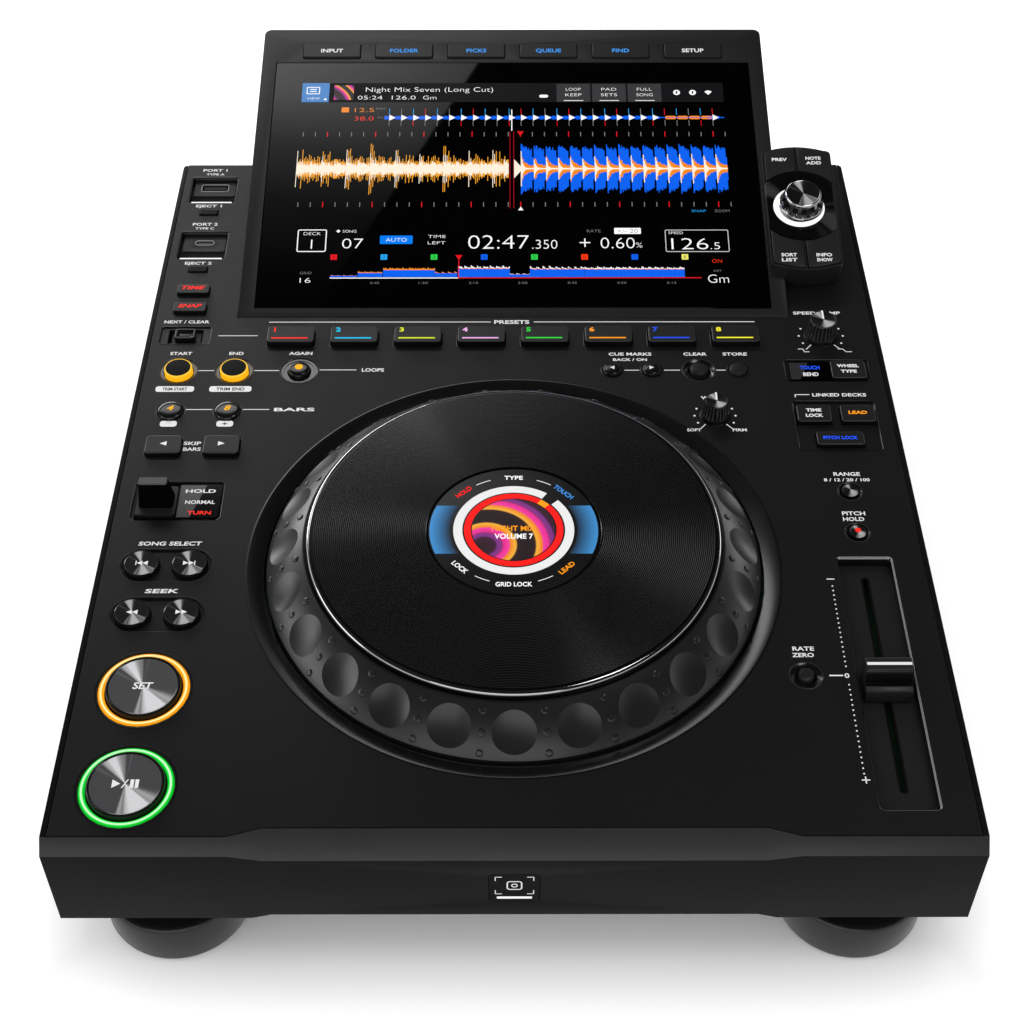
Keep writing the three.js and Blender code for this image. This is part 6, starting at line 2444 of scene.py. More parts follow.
            draft.words(text, x, y, height, 0, 0, span=span)
        draft.stroke([(122.4, 224.2), (122.4, 225.7), (128.4, 225.7)], 0.4, 0)
        y = self.knob_row - 10.4
        draft.stroke([(127.3, y + 1.5), (129.3, y + 1.5), (129.8, y - 0.4), (131.8, y - 0.4)], 0.38, 0)
        draft.stroke([(145.0, y + 1.5), (147.0, y + 1.5), (148.4, y - 0.4), (150.8, y - 0.4)], 0.38, 0)
        return draft.piece("right_legends", "chassis", [WHITE_INK_GLOW], slot="deck")


@dataclass
class Fader(Assembly):
    """Tempo fader: its bay, slot, scale and cap."""

    title = "tempo fader"
    x: float = 139.05
    bay_width: float = 21.8
    bay_front: float = 10.8
    bay_rear: float = 130.3
    floor: float = 5.0
    slot_width: float = 2.2
    slot_front: float = 21.9
    slot_rear: float = 122.9
    cap_width: float = 17.6
    cap_front: float = 59.1
    cap_rear: float = 73.8
    ridge_front: float = 66.0
    dots: int = 18
    dot_pitch: float = 2.36

    def build(self) -> list[bpy.types.Object]:
        """Build bay, cap and scale."""
        return [self.bay(), self.cap(), self.scale()]

    def bay(self) -> bpy.types.Object:
        """Build the bay's lining, its floor and the rim of the slot.

        Returns:
            The piece's object.
        """
        draft = Draft()
        middle_y = (self.bay_front + self.bay_rear) / 2
        depth = self.bay_rear - self.bay_front
        outer = Plate(self.bay_width + 0.9, depth + 0.9, 2.0, self.x, middle_y)
        inner = Plate(self.bay_width - 0.5, depth - 0.5, 1.6, self.x, middle_y)
        level = -self.floor + 0.02
        section = [
            (0, -0.3), (0, 0.03), (0.3, 0.07), (0.6, -0.05), (0.9, -0.5), (1, -1.0), (1, level),
            (0.8, level)
        ]
        first = len(draft.faces)
        collar(draft, outer, inner, section)
        # The rim's right and rear bevels take a pale finish: painted highlights
        edge_x, edge_y = self.x + self.bay_width / 2 - 0.5, self.bay_rear - 0.5
        for i, face in enumerate(draft.faces[first:], first):
            spots = [draft.points[k] for k in face]
            x, y, z = (sum(spot[axis] for spot in spots) / len(spots) for axis in range(3))
            if (x > edge_x or y > edge_y) and -1.0 < z < 0.04:
                draft.inks[i] = 3
        slot_y = (self.slot_front + self.slot_rear) / 2
        slot = self.slot_rear - self.slot_front
        hole = Plate(self.slot_width - 0.6, slot, 0.6, self.x, slot_y)
        low = -self.floor
        collar(
            draft, hole.grown(0.9), hole,
            [(0, low - 0.2), (0, low + 0.12), (0.7, low + 0.16), (1, low), (1, low - 1.0)], ink=1
        )
        # Body of the fader under the slot
        draft.sweep(Plate(12.0, slot + 9.0, 0.8, self.x, slot_y, 3), [(0, -13.4), (0, -12.5)], ink=1)
        floor = inner.grown(-0.05)
        collar(draft, floor, hole.grown(0.8), [(0, low), (0, low + 0.06), (1, low + 0.06), (1, low)], ink=2)
        return draft.piece(
            "fader_lining", "chassis", [TRIM_PLASTIC, DARK_PLASTIC, BAY_PLASTIC, BAY_PAINTED_GLINT], slot="deck"
        )

    def cap(self) -> bpy.types.Object:
        """Build the cap: rear ridge with its white line, a valley painted dark as shade and a front pad
        painted pale as light.

        Returns:
            The piece's object.
        """
        draft = Draft()
        skirt = -self.floor + 0.7
        front, rear, ridge = self.cap_front + 2.4, self.cap_rear, self.ridge_front
        section = [(front, skirt), (front, 0.9), (front + 0.25, 1.5), (front + 0.9, 1.9), (front + 2.4, 2.1)]
        section += [
            (ridge - 2.4, 2.1), (ridge - 2.0, 1.9), (ridge - 1.6, 1.0), (ridge - 0.5, 0.9),
            (ridge - 0.1, 1.4)
        ]
        section += [(ridge + 0.2, 5.6), (ridge + 0.5, 7.2), (ridge + 1.0, 7.8), (ridge + 1.7, 8.0)]
        section += [
            (rear - 1.7, 8.0), (rear - 1.0, 7.8), (rear - 0.4, 7.2), (rear - 0.15, 5.6), (rear, 2.0),
            (rear, skirt)
        ]
        # Front pad paler as painted light; valley and the ridge's front face darker as painted shade
        bands = {2: 2, 3: 2, 4: 2, 5: 2, 6: 3, 7: 3, 8: 3, 9: 3, 10: 3}
        half = self.cap_width / 2
        insets = [(half, 0.45), (half - 0.15, 0.12), (half - 0.5, 0.0)]
        stations = [(-w, inset) for w, inset in insets] + [(w, inset) for w, inset in insets[::-1]]
        centre = (front + rear) / 2
        rings = []
        for offset, inset in stations:
            pull = 1 - inset / 7.0
            rings.append(
                draft.ring(
                    (self.x + offset, centre + (y - centre) * pull, skirt + (z - skirt) * pull) for y,
                    z in section
                )
            )
        for low, high in zip(rings, rings[1:]):
            for i in range(len(section)):
                j = (i + 1) % len(section)
                draft.face((low[i], low[j], high[j], high[i]), bands.get(i, 0))
        draft.face(rings[0][::-1])
        draft.face(rings[-1])
        line = Plate(self.cap_width - 0.9, 1.3, 0.2, self.x, (ridge + rear) / 2, 2)
        draft.sweep(line, [(0, 7.7), (0, 8.05)], ink=1)
        draft.sweep(Plate(1.0, 6, 0.2, self.x, 72.0, 1), [(0, -9.2), (0, skirt + 0.5)])
        draft.sweep(Plate(11, 9, 0.4, self.x, 72.0, 1), [(0, -12.0), (0, -9.4)])
        finishes = [KEY_PLASTIC, WHITE_INK_GLOW, FADER_PAD_PAINTED_LIGHT, KEY_SIDE_SHADE]
        return draft.piece(
            "fader_cap", "tempo_fader_cap", finishes, slot="knob", replaces=["tempo_fader_cap"], crease=30
        )

    def scale(self) -> bpy.types.Object:
        """Print the dots, signs and the middle bar beside the bay.

        Returns:
            The printed piece.
        """
        draft = Draft()
        dot = Draft()
        dot.turned([(0, -PRINT_ROOT), (0.34, -PRINT_ROOT), (0.34, PRINT_HEIGHT), (0, PRINT_HEIGHT)], 12)
        for start in (70.6 - 2.0 - self.dots * self.dot_pitch, 70.6 + 2.0 + self.dot_pitch):
            row = Repeat(Along.LINE, self.dots, (124.6, start, 0.0), (0, self.dot_pitch, 0))
            draft.take(row.mesh(dot, WHITE_INK_GLOW), Matrix.Identity(4))
        draft.stroke([(123.0, 118.7), (125.6, 118.7)], 0.45, 0)
        draft.stroke([(123.6, 23.4), (126.2, 23.4)], 0.45, 0)
        draft.stroke([(124.9, 22.1), (124.9, 24.7)], 0.45, 0)
        draft.stroke([(118.1, 70.6), (122.7, 70.6)], 0.6, 0)
        draft.words("0", 124.4, 70.6, 2.2, 0, 0)
        return draft.piece("fader_scale", "chassis", [WHITE_INK_GLOW], slot="deck")


@dataclass
class JogWheel(Assembly):
    """Jog wheel: well trim, rubber ring with dimples, grooved plate and hub display."""

    title = "jog wheel"
    y: float = 129.8
    ring_radius: float = 97.7
    ring_edge: float = -0.6
    shoulder_radius: float = 90.6
    shoulder_rise: float = 7.8
    top_radius: float = 82.6
    top_rise: float = 13.9
    inner: float = 81.3
    dimples: int = 24
    dimple_radius: float = 8.2
    dimple_depth: float = 1.55
    around: int = 64
    plate_radius: float = 81.0
    groove_pitch: float = 0.74
    plate_sides: int = 240

    def build(self) -> list[bpy.types.Object]:
        """Build the wheel from the well inwards."""
        return [self.well_trim(), self.ring(), self.plate(), self.hub()]

    def well_trim(self) -> bpy.types.Object:
        """Build the smooth bevel that lines the well."""
        draft = Draft()
        profile = [
            (106.0, -0.3), (106.0, 0.02), (105.7, 0.06), (105.2, 0.0), (99.5, -1.42), (98.95, -1.7),
            (98.9, -2.55), (100.5, -2.55)
        ]
        draft.turned(profile, 240, 0, self.y, loop=True)
        return draft.piece("jog_well_trim", "chassis", [WELL_TRIM], slot="deck", crease=20)

    def arc_frame(self) -> tuple[Vector, float, float, float]:
        """Return the middle, radius and end angles of the arc that the ring's slope follows.

        Returns:
            Middle, radius, and first and last angle.
        """
        a = Vector((self.ring_radius, self.ring_edge))
        b = Vector((self.shoulder_radius, self.shoulder_rise))
        c = Vector((self.top_radius, self.top_rise))
        d = 2 * (a.x * (b.y - c.y) + b.x * (c.y - a.y) + c.x * (a.y - b.y))
        ux = (
            a.length_squared * (b.y - c.y) + b.length_squared * (c.y - a.y) + c.length_squared * (a.y - b.y)
        ) / d
        uy = (
            a.length_squared * (c.x - b.x) + b.length_squared * (a.x - c.x) + c.length_squared * (b.x - a.x)
        ) / d
        centre = Vector((ux, uy))
        start = math.atan2(a.y - uy, a.x - ux)
        end = math.atan2(c.y - uy, c.x - ux)
        return centre, (a - centre).length, start, end

    def slope_point(self, along: float, across: float, sink: float = 0.0) -> Point:
        """Return a point of the slope.

        Args:
            along: Distance up the slope from its middle.
            across: Angle about the wheel's axis.
            sink: Depth under the slope.

        Returns:
            The point with its origin on the wheel's axis.
        """
        centre, radius, start, end = self.arc_frame()
        middle = (start + end) / 2
        angle = middle + along / radius
        r = centre.x + (radius - sink) * math.cos(angle)
        z = centre.y + (radius - sink) * math.sin(angle)
        return (r * math.cos(across), r * math.sin(across), z)

    def ring(self) -> bpy.types.Object:
        """Build the rubber ring, each sector a polar mesh round its dimple.

        Returns:
            The piece's object.
        """
        draft = Draft()
        _, radius, start, end = self.arc_frame()
        half_along = radius * (end - start) / 2
        middle_radius = self.slope_point(0, 0)[0]
        half_turn = math.pi / self.dimples
        half_across = half_turn * middle_radius
        side = self.around // 4
        border = []
        for i in range(side):
            border.append((half_along * (-1 + 2 * i / side), half_across))
        for i in range(side):
            border.append((half_along, half_across * (1 - 2 * i / side)))
        for i in range(side):
            border.append((half_along * (1 - 2 * i / side), -half_across))
        for i in range(side):
            border.append((-half_along, half_across * (-1 + 2 * i / side)))
        dish_steps, field_steps = 9, 5
        for sector in range(self.dimples):
            turn = 2 * half_turn * sector
            rings = [draft.ring([self.slope_point(0, turn, self.dimple_depth)])]
            for step in range(1, dish_steps + 1):
                q = self.dimple_radius * step / dish_steps
                share = step / dish_steps
                sink = self.dimple_depth * (1 - share * share) if step < dish_steps else 0.0
                ring = []
                for along, across in border:
                    angle = math.atan2(across, along)
                    ring.append(
                        self.slope_point(
                            q * math.cos(angle), turn + q * math.sin(angle) / middle_radius, sink
                        )
                    )
                rings.append(draft.ring(ring))
            for step in range(1, field_steps + 1):
                share = step / field_steps
                ring = []
                for along, across in border:
                    angle = math.atan2(across, along)
                    a = self.dimple_radius * math.cos(angle)
                    t = self.dimple_radius * math.sin(angle)
                    ring.append(
                        self.slope_point(
                            a + (along - a) * share, turn + (t + (across - t) * share) / middle_radius
                        )
                    )
                rings.append(draft.ring(ring))
            for low, high in zip(rings, rings[1:]):
                draft.bridge(low, high)
        count = self.dimples * side
        angles = [half_turn * (-1 + 2 * i / side) for i in range(count)]
        top = self.slope_point(half_along, 0)
        foot = self.slope_point(-half_along, 0)
        profile = [
            (top[0], top[2]), (top[0] - 0.45, top[2] - 0.02), (self.inner, top[2] - 0.35),
            (self.inner, -5.5), (17.0, -5.5), (17.0, 12.0), (12.3, 12.0)
        ]
        profile += [(12.3, -8.0), (foot[0] - 0.6, -8.0), (foot[0], -7.4), (foot[0], foot[2])]
        rings = [draft.ring((r * math.cos(a), r * math.sin(a), z) for a in angles) for r, z in profile]
        for low, high in zip(rings, rings[1:]):
            draft.bridge(low, high)
        pips = Draft()
        for offset in (-8.1, -0.6, 7.3):
            x, _, z = self.slope_point(offset, 0)
            x2, _, z2 = self.slope_point(offset, 0, 1.0)
            lean = math.atan2(x - x2, z - z2)
            pip = Draft()
            pip.turned([(0, -0.3), (1.55, -0.3), (1.5, 0.12), (1.25, 0.38), (0.8, 0.52), (0, 0.55)], 16)
            tilted = Draft()
            tilted.join(pip, Matrix.Translation((0, 0, z)) @ Matrix.Rotation(lean, 4, "Y"))
            row = Repeat(
                Along.ROUND, self.dimples, (0.0, 0.0, 0.0), radius=x, first=math.degrees(half_turn),
                turn=15.0
            )
            pips.take(row.mesh(tilted, RING_RUBBER), Matrix.Identity(4))
        draft.join(pips)
        whole = Draft()
        whole.join(draft, Matrix.Translation((0, self.y, 0)))
        return whole.piece(
            "jog_rubber_ring", "jog_ring", [RING_RUBBER], slot="jog_grip", replaces=["jog_ring"], crease=15
        )

    def plate(self) -> bpy.types.Object:
        """Build the grooved plate with its bright edge.

        Returns:
            The piece's object.
        """
        draft = Draft()
        r, top = self.plate_radius, 17.1
        profile = [(34.1, 14.6), (34.1, top - 0.3), (34.4, top)]
        inks: dict[int, int] = {}
        radius = 34.9
        while radius < 78.4:
            profile += [
                (radius, top), (radius + 0.2, top - 0.055), (radius + 0.3, top - 0.055), (radius + 0.5, top)
            ]
            # The groove floors take a lighter finish: painted sheen of the fine lines
            inks[len(profile) - 3] = 2
            radius += self.groove_pitch
        profile += [(79.05, top - 0.02), (79.1, top - 0.3), (79.25, top - 0.3)]
        first = len(profile)
        for step in range(9):
            angle = math.radians(5 + 10 * step)
            profile.append((79.35 + 1.65 * math.sin(angle), top - 1.65 + 1.65 * math.cos(angle)))
        inks.update({i: 1 for i in range(first, len(profile) - 1)})
        profile += [
            (r, 12.0), (r - 1.6, 12.0), (r - 1.6, 14.6), (40.0, 14.6), (40.0, -4.6), (37.0, -4.6),
            (37.0, 14.6)
        ]
        draft.turned(profile, self.plate_sides, 0, self.y, loop=True, inks=inks)
        finishes = [PLATTER_BLACK, CHROME, GROOVE_PAINTED_SHEEN]
        return draft.piece(
            "jog_plate", "jog_platter", finishes, slot="jog_plate", replaces=["jog_platter"], crease=13
        )

    def hub(self) -> bpy.types.Object:
        """Build the hub with its round display.

        Returns:
            The piece's object.
        """
        draft = Draft()
        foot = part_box("jog_hub")[0].z / MM - CASE_HIGH.z / MM
        profile = [
            (0, foot), (40, foot), (40, foot + 3), (15, foot + 3), (15, -9), (12, -9), (12, 12.6),
            (33.6, 12.6)
        ]
        profile += [(33.6, 16.5), (33.3, 16.8), (32.9, 16.9)]
        draft.turned([*profile, (0, 16.9)], 128, 0, self.y)
        level = 16.9
        low, high = level - PRINT_ROOT, level + PRINT_HEIGHT
        y = self.y
        draft.arc(20.05, 23.6, 56, 402, low, high, 0, y, 1)
        draft.arc(16.75, 19.4, 56, 403.5, low, high, 0, y, 2)
        draft.arc(16.75, 19.4, 43.5, 56, low, high + 0.01, 0, y, 3)
        draft.sweep(disc(16.3, 0, y, 96), [(0, low), (0, high)], ink=4)
        draft.words("NIGHT MIX", 0, y + 0.6, 2.7, high, 3, span=17.0)
        draft.words("VOLUME 7", 0, y - 3.6, 2.7, high, 6, span=15.0)
        for side in (-1, 1):
            outline = []
            for radius, way in ((32.9, 1), (24.8, -1)):
                half = math.asin(12.8 / radius)
                for i in range(9):
                    angle = way * half * (i / 4 - 1)
                    outline.append((side * radius * math.cos(angle), y + radius * math.sin(angle)))
            draft.flat(outline, low, high, 5)
        for text, angle, turn, ink, span in (
            ("HOLD", 134, 44, 2, 7.6),
            ("TYPE", 90, 0, 6, 7.4),
            ("TOUCH", 46, -44, 7, 9.6),
            ("LOCK", 224, -45, 6, 7.6),
            ("GRID LOCK", 270, 0, 6, 14.0),
            ("LEAD", 315, 45, 3, 7.6),
        ):
            a = math.radians(angle)
            draft.words(
                text, 28.6 * math.cos(a), y + 28.4 * math.sin(a), 2.2, level, ink, span=span, turn=turn
            )
        for middle_angle in (90, 270):
            for way in (-1, 1):
                ends = sorted((middle_angle + way * 19, middle_angle + way * 31.5))
                draft.arc(28.3, 28.55, ends[0], ends[1], low, high, 0, y, 6)
        centre = tuple(DECK @ Vector((0.0, y, level)))
        art = Artwork("hub_picture", centre, 0.0125, 60.0)
        fade = RoundFade("hub_side_panel", centre, 0.0246, 0.0325, "3a8bcb")
        finishes = [HUB_GLASS, HUB_WHITE, HUB_RED, WORD_AMBER, art, fade, WHITE_LIGHT, SKY_WORD]
        return draft.piece("hub_display", "chassis", finishes, slot="hub", replaces=["jog_hub"], crease=30)


@dataclass
class Wave:
    """A waveform of thin bars whose height follows a beat.

    Attributes:
        start: Left end.
        end: Right end.
        middle: Level of its middle line, or its base where it stands on one.
        step: Distance between bars.
        beat: Length of a beat.
        seed: Seed of its shape.
        centred: Whether the bars reach both ways.
    """

    start: float
    end: float
    middle: float
    step: float
    beat: float = 5.87
    seed: int = 7
    centred: bool = True

    def layer(
        self,
        draft: Draft,
        ink: int,
        low: float,
        high: float,
        decay: float = 0.0,
        noise: float = 0.3,
        notch: float = 0.0,
        width: float = 1.0,
        lift: int = 0,
    ) -> None:
        """Print one layer of the wave.

        Args:
            draft: The draft to print in.
            ink: Finish number.
            low: Height at the end of a beat.
            high: Height at the start of a beat.
            decay: How fast a beat falls from high to low.
            noise: Share by which the heights vary.
            notch: Share of the beat at its end where the bars are short.
            width: Width of a bar as a share of the step.
            lift: Number of the layer, from the glass up.
        """
        dice = random.Random(self.seed + lift)
        base = lift * PRINT_HEIGHT * 0.4
        x = self.start
        while x + self.step * width < self.end:
            phase = ((x - self.start) / self.beat) % 1
            reach = low + (high - low) * math.exp(-decay * phase)
            reach *= (0.6 if phase > 1 - notch else 1.0) * (1 - noise * dice.random())
            foot = self.middle - reach if self.centred else self.middle
            right = x + self.step * width
            outline = [(x, foot), (right, foot), (right, self.middle + reach), (x, self.middle + reach)]
            draft.flat(outline, -PRINT_ROOT, PRINT_HEIGHT + base, ink)
            x += self.step


@dataclass
class Display(Assembly):
    """Tilted display: housing, glass, picture, menu keys and the selector pod."""

    title = "display"
    glass_half: float = 117.9
    glass_front: float = 5.1
    glass_rear: float = 158.6
    menu_v: float = 166.4
    menu_pitch: float = 36.24
    pod_x: float = 134.9
    pod_v: float = 59.4
    pod_rise: float = 7.0
    key_rise: float = 7.8
    beat: float = 5.87

    def build(self) -> list[bpy.types.Object]:
        """Build housing, glass, picture and keys."""
        housing = softened("display_body", "display_housing", "chassis", 0.5, HOUSING_PLASTIC)
        return [
            housing, self.glass(), self.picture(), self.menu_keys(), *self.pod_keys(), self.selector_ring(),
            self.shaft(), self.knob()
        ]

    def glass(self) -> bpy.types.Object:
        """Build the glass and the panel behind it.

        Returns:
            The piece's object.
        """
        draft = Draft()
        middle_v = (self.glass_front + self.glass_rear) / 2
        depth = self.glass_rear - self.glass_front
        plate = Plate(2 * self.glass_half, depth, 0.6, 0, middle_v, 3)
        draft.sweep(plate, [(0, -2.0), (0, -0.15), (0.15, 0.0)])
        draft.sweep(Plate(224, depth - 12, 1.0, 0, middle_v, 2), [(0, -7.0), (0, -1.9)])
        return draft.piece(
            "screen_glass", "chassis", [SCREEN_GLASS], SCREEN, slot="screen", replaces=["touch_screen"]
        )

    def picture(self) -> bpy.types.Object:
        """Print what the screen shows: bars, waves, digits and marks.

        Returns:
            The printed piece.
        """
        draft = Draft()
        ink = {name: i for i, name in enumerate(SCREEN_INKS)}
        self.top_bar(draft, ink)
        self.small_wave(draft, ink)
        self.waves(draft, ink)
        self.readings(draft, ink)
        self.overview(draft, ink)
        return draft.piece("screen_picture", "chassis", list(SCREEN_INKS.values()), SCREEN, slot="screen")

    @staticmethod
    def say(
        draft: Draft, text: str, x: float, v: float, height: float, ink: int, span: float = 0.0,
        lift: int = 0, side: int = 0
    ) -> None:
        """Print a line of thin letters on the glass.

        Args:
            draft: The draft to print in.
            text: What it says.
            x: Middle of the line, or its end by side.
            v: Middle of the letters' height.
            height: Height of a capital letter.
            ink: Finish number.
            span: Width of the line, where it is given.
            lift: Number of prints that lie under it.
            side: -1 where x is the left end.
        """
        draft.words(
            text, x, v, height, lift * PRINT_HEIGHT, ink, wide=1.15, span=span, side=side, weight=-0.022
        )

    def top_bar(self, draft: Draft, ink: dict[str, int]) -> None:
        """Print the title bar with its tile, thumbnail, tabs and icons.

        Args:
            draft: The draft to print in.
            ink: Finish numbers by name.
        """
        draft.mark(Plate(208.4, 12.7, 0.2, 0.1, 138.5, 2), 0, ink["bar"])
        top = PRINT_HEIGHT
        white, grey = ink["white"], ink["grey"]
        draft.mark(Plate(13.4, 12.7, 0.3, -97.4, 138.5, 2), top, ink["tile"])
        draft.outlined(Plate(6.6, 4.8, 0.5, -98.6, 139.8, 2), 0.45, 2 * top, white)
        draft.mark(Plate(3.4, 0.5, 0.1, -98.6, 140.6, 1), 2 * top, white)
        draft.mark(Plate(3.4, 0.5, 0.1, -98.6, 139.2, 1), 2 * top, white)
        self.say(draft, "VIEW", -98.4, 134.6, 1.6, white, 6.4, 2)
        draft.flat([(-93.2, 133.4), (-91.6, 133.4), (-92.4, 135.0)], 2 * top, 3 * top, white)
        draft.mark(Plate(9.7, 9.7, 0.1, -83.4, 138.5, 1), top, ink["art"])
        self.say(draft, "Night Mix Seven (Long Cut)", -72.6, 140.6, 3.2, white, 63.0, 1, -1)
        for text, x, span in (("05:24", -76.4, 12.1), ("126.0", -59.6, 11.7), ("Gm", -44.2, 6.6)):
            self.say(draft, text, x, 135.2, 2.7, white, span, 1, -1)
        draft.mark(Plate(4.4, 1.9, 0.95, 15.4, 136.0, 5), top, white)
        for x, one, two in ((30.1, "LOOP", "KEEP"), (47.7, "PAD", "SETS"), (65.3, "FULL", "SONG")):
            draft.mark(Plate(16.6, 12.0, 0.4, x, 138.2, 2), top, ink["tab"])
            self.say(draft, one, x, 140.6, 2.0, white, 7.4, 2)
            self.say(draft, two, x, 136.9, 2.0, white, 8.0, 2)
            draft.stroke([(x - 4.6, 133.0), (x + 4.6, 133.0)], 0.35, 2 * top, white)
        for x in (81.2, 89.1):
            draft.mark(Plate(3.4, 3.4, 1.7, x, 138.4, 6), top, white)
            draft.mark(Plate(0.8, 1.8, 0.3, x, 138.4, 2), 2 * top, ink["bar"])
        fan = [(96.8, 136.8)]
        fan += [
            (
                96.8 + 2.5 * math.cos(math.radians(a)), 136.8 + 2.9 * math.sin(math.radians(a))
            ) for a in range(45, 136, 10)
        ]
        draft.flat(fan, top - PRINT_ROOT, 2 * top, white)

    def small_wave(self, draft: Draft, ink: dict[str, int]) -> None:
        """Print the row of triangles with its ticks and numbers under the title bar.

        Args:
            draft: The draft to print in.
            ink: Finish numbers by name.
        """
        v = 121.8
        draft.stroke([(-60.9, v), (103.5, v)], 0.5, 0, ink["blue"])
        for i in range(28):
            x = -60.4 + i * self.beat
            if 131 < x + 60.4 < 156:
                draft.mark(Plate(5.6, 2.2, 1.1, x + 2.9, v, 4), 0, ink["orange"])
            else:
                draft.flat(
                    [(x, v - 1.9), (x + 3.0, v), (x, v + 1.9)], -PRINT_ROOT, 2 * PRINT_HEIGHT, ink["white"]
                )
                body = [(x - 2.4, v - 1.2), (x + 3.4, v - 0.7), (x + 3.4, v + 0.7), (x - 2.4, v + 1.2)]
                draft.flat(body, -PRINT_ROOT, PRINT_HEIGHT, ink["blue"])
            above = ("sky", "grey", "sky", "red")[i % 4]
            draft.stroke([(x, v + 1.8), (x, v + 5.8)], 0.3, 0, ink[above])
            draft.stroke([(x, v - 5.2), (x, v - 1.8)], 0.3, 0, ink["red" if i % 4 == 2 else "grey"])
        draft.mark(Plate(3.6, 3.2, 0.3, -82.2, 127.0, 2), 0, ink["orange"])
        self.say(draft, "12.5", -72.8, 127.0, 2.8, ink["orange"], 9.4)
        self.say(draft, "38.0", -72.8, 121.4, 2.8, ink["scarlet"], 9.4)
        self.say(draft, "BARS", -64.8, 127.9, 1.3, ink["grey"], 4.4)
        self.say(draft, "IN", -64.8, 122.0, 1.3, ink["grey"], 2.4)

    def waves(self, draft: Draft, ink: dict[str, int]) -> None:
        """Print the large waves with their rulers and the playhead.

        Args:
            draft: The draft to print in.
            ink: Finish numbers by name.
        """
        tick = Draft()
        tick.flat([(-0.2, -1.35), (0.2, -1.35), (0.2, 1.35), (-0.2, 1.35)], -PRINT_ROOT, PRINT_HEIGHT)
        for v in (111.0, 66.6):
            row = Repeat(Along.LINE, 36, (-101.9, v, 0.0), (self.beat, 0, 0))
            draft.take(row.mesh(tick, SCREEN_INKS["grey"]), Matrix.Identity(4), ink["grey"])
            for i in range(2, 36, 4):
                x = -101.9 + i * self.beat
                draft.stroke([(x, v - 1.4), (x, v + 1.4)], 0.45, PRINT_HEIGHT, ink["red"])
        left = Wave(-104.0, -1.8, 88.85, 0.44, self.beat, 23)
        spikes = Wave(-104.0, -1.8, 88.85, 0.82, 11.74, 23)
        spikes.layer(draft, ink["amber"], 7.0, 17.5, 2.6, 0.75, width=0.45)
        left.layer(draft, ink["amber"], 4.6, 7.0, 1.5, 0.5, width=1.0)
        left.layer(draft, ink["cream"], 2.8, 6.2, 2.2, 0.5, width=1.0, lift=1)
        spikes.layer(draft, ink["cream"], 3.0, 15.5, 6.0, 0.7, width=0.4, lift=2)
        right = Wave(3.9, 103.6, 88.85, 0.45, self.beat, 31)
        right.layer(draft, ink["blue"], 11.4, 16.0, 1.2, 0.16, 0.14)
        right.layer(draft, ink["orange"], 2.0, 9.5, 3.2, 0.3, lift=1)
        right.layer(draft, ink["cream"], 0.5, 13.0, 9.0, 0.25, lift=2)
        draft.flat(
            [(0.7, 82.9), (3.9, 87.4), (3.9, 90.3), (0.7, 94.8)], -PRINT_ROOT, 2 * PRINT_HEIGHT,
            ink["cream"]
        )
        for x in (-1.3, 0.5):
            draft.stroke([(x, 64.4), (x, 112.4)], 0.35, PRINT_HEIGHT, ink["maroon"])
        draft.stroke([(-0.4, 113.5), (-0.4, 126.8)], 0.5, PRINT_HEIGHT, ink["white"])
        draft.flat([(2.2, 112.8), (5.4, 112.8), (3.8, 109.8)], 0.0, 2 * PRINT_HEIGHT, ink["red"])
        draft.flat([(2.6, 63.0), (5.0, 63.0), (3.8, 65.2)], 0.0, 2 * PRINT_HEIGHT, ink["white"])

    def readings(self, draft: Draft, ink: dict[str, int]) -> None:
        """Print the boxes and digits of the lower part.

        Args:
            draft: The draft to print in.
            ink: Finish numbers by name.
        """
        white, grey = ink["white"], ink["grey"]
        draft.outlined(Plate(13.7, 13.4, 1.0, -94.05, 44.7, 3), 0.5, 0, white)
        self.say(draft, "DECK", -94.05, 49.0, 1.9, white, 8.0)
        self.say(draft, "1", -94.05, 42.8, 6.0, white)
        self.say(draft, "SONG", -76.6, 50.4, 1.7, white, 6.4)
        draft.flat(
            [(-81.9, 49.4), (-80.9, 50.4), (-81.9, 51.4), (-82.9, 50.4)], -PRINT_ROOT, PRINT_HEIGHT, white
        )
        self.say(draft, "07", -74.9, 43.2, 6.4, white, 9.8)
        draft.mark(Plate(15.3, 5.0, 0.5, -54.55, 45.2, 2), 0, ink["button"])
        self.say(draft, "AUTO", -54.55, 45.2, 2.3, white, 9.8, 1)
        self.say(draft, "TIME", -35.6, 47.2, 1.8, white, 8.2)
        self.say(draft, "LEFT", -35.6, 43.4, 1.8, white, 8.2)
        self.say(draft, "02:47", -20.9, 44.1, 8.8, white, 28.4, 0, -1)
        self.say(draft, ".350", 9.0, 42.6, 5.8, white, 11.8, 0, -1)
        draft.mark(Plate(12.5, 3.6, 0.4, 53.85, 50.4, 2), 0, white)
        self.say(draft, "+/- 20", 53.85, 50.4, 2.4, ink["bar"], 9.6, 1)
        self.say(draft, "RATE", 38.0, 50.4, 1.7, grey, 6.4)
        draft.stroke([(31.5, 43.4), (35.9, 43.4)], 0.6, 0, white)
        draft.stroke([(33.7, 41.2), (33.7, 45.6)], 0.6, 0, white)
        self.say(draft, "0.60", 41.0, 43.4, 7.0, white, 16.0, 0, -1)
        self.say(draft, "%", 59.0, 42.0, 3.2, white, 3.0)
        draft.outlined(Plate(29.8, 13.3, 0.8, 86.2, 44.45, 3), 0.4, 0, ink["pale"])
        self.say(draft, "SPEED", 76.4, 49.3, 1.6, white, 6.8)
        self.say(draft, "126", 74.1, 42.9, 7.2, white, 17.2, 0, -1)
        self.say(draft, ".5", 92.3, 41.6, 4.4, white, 4.4, 0, -1)

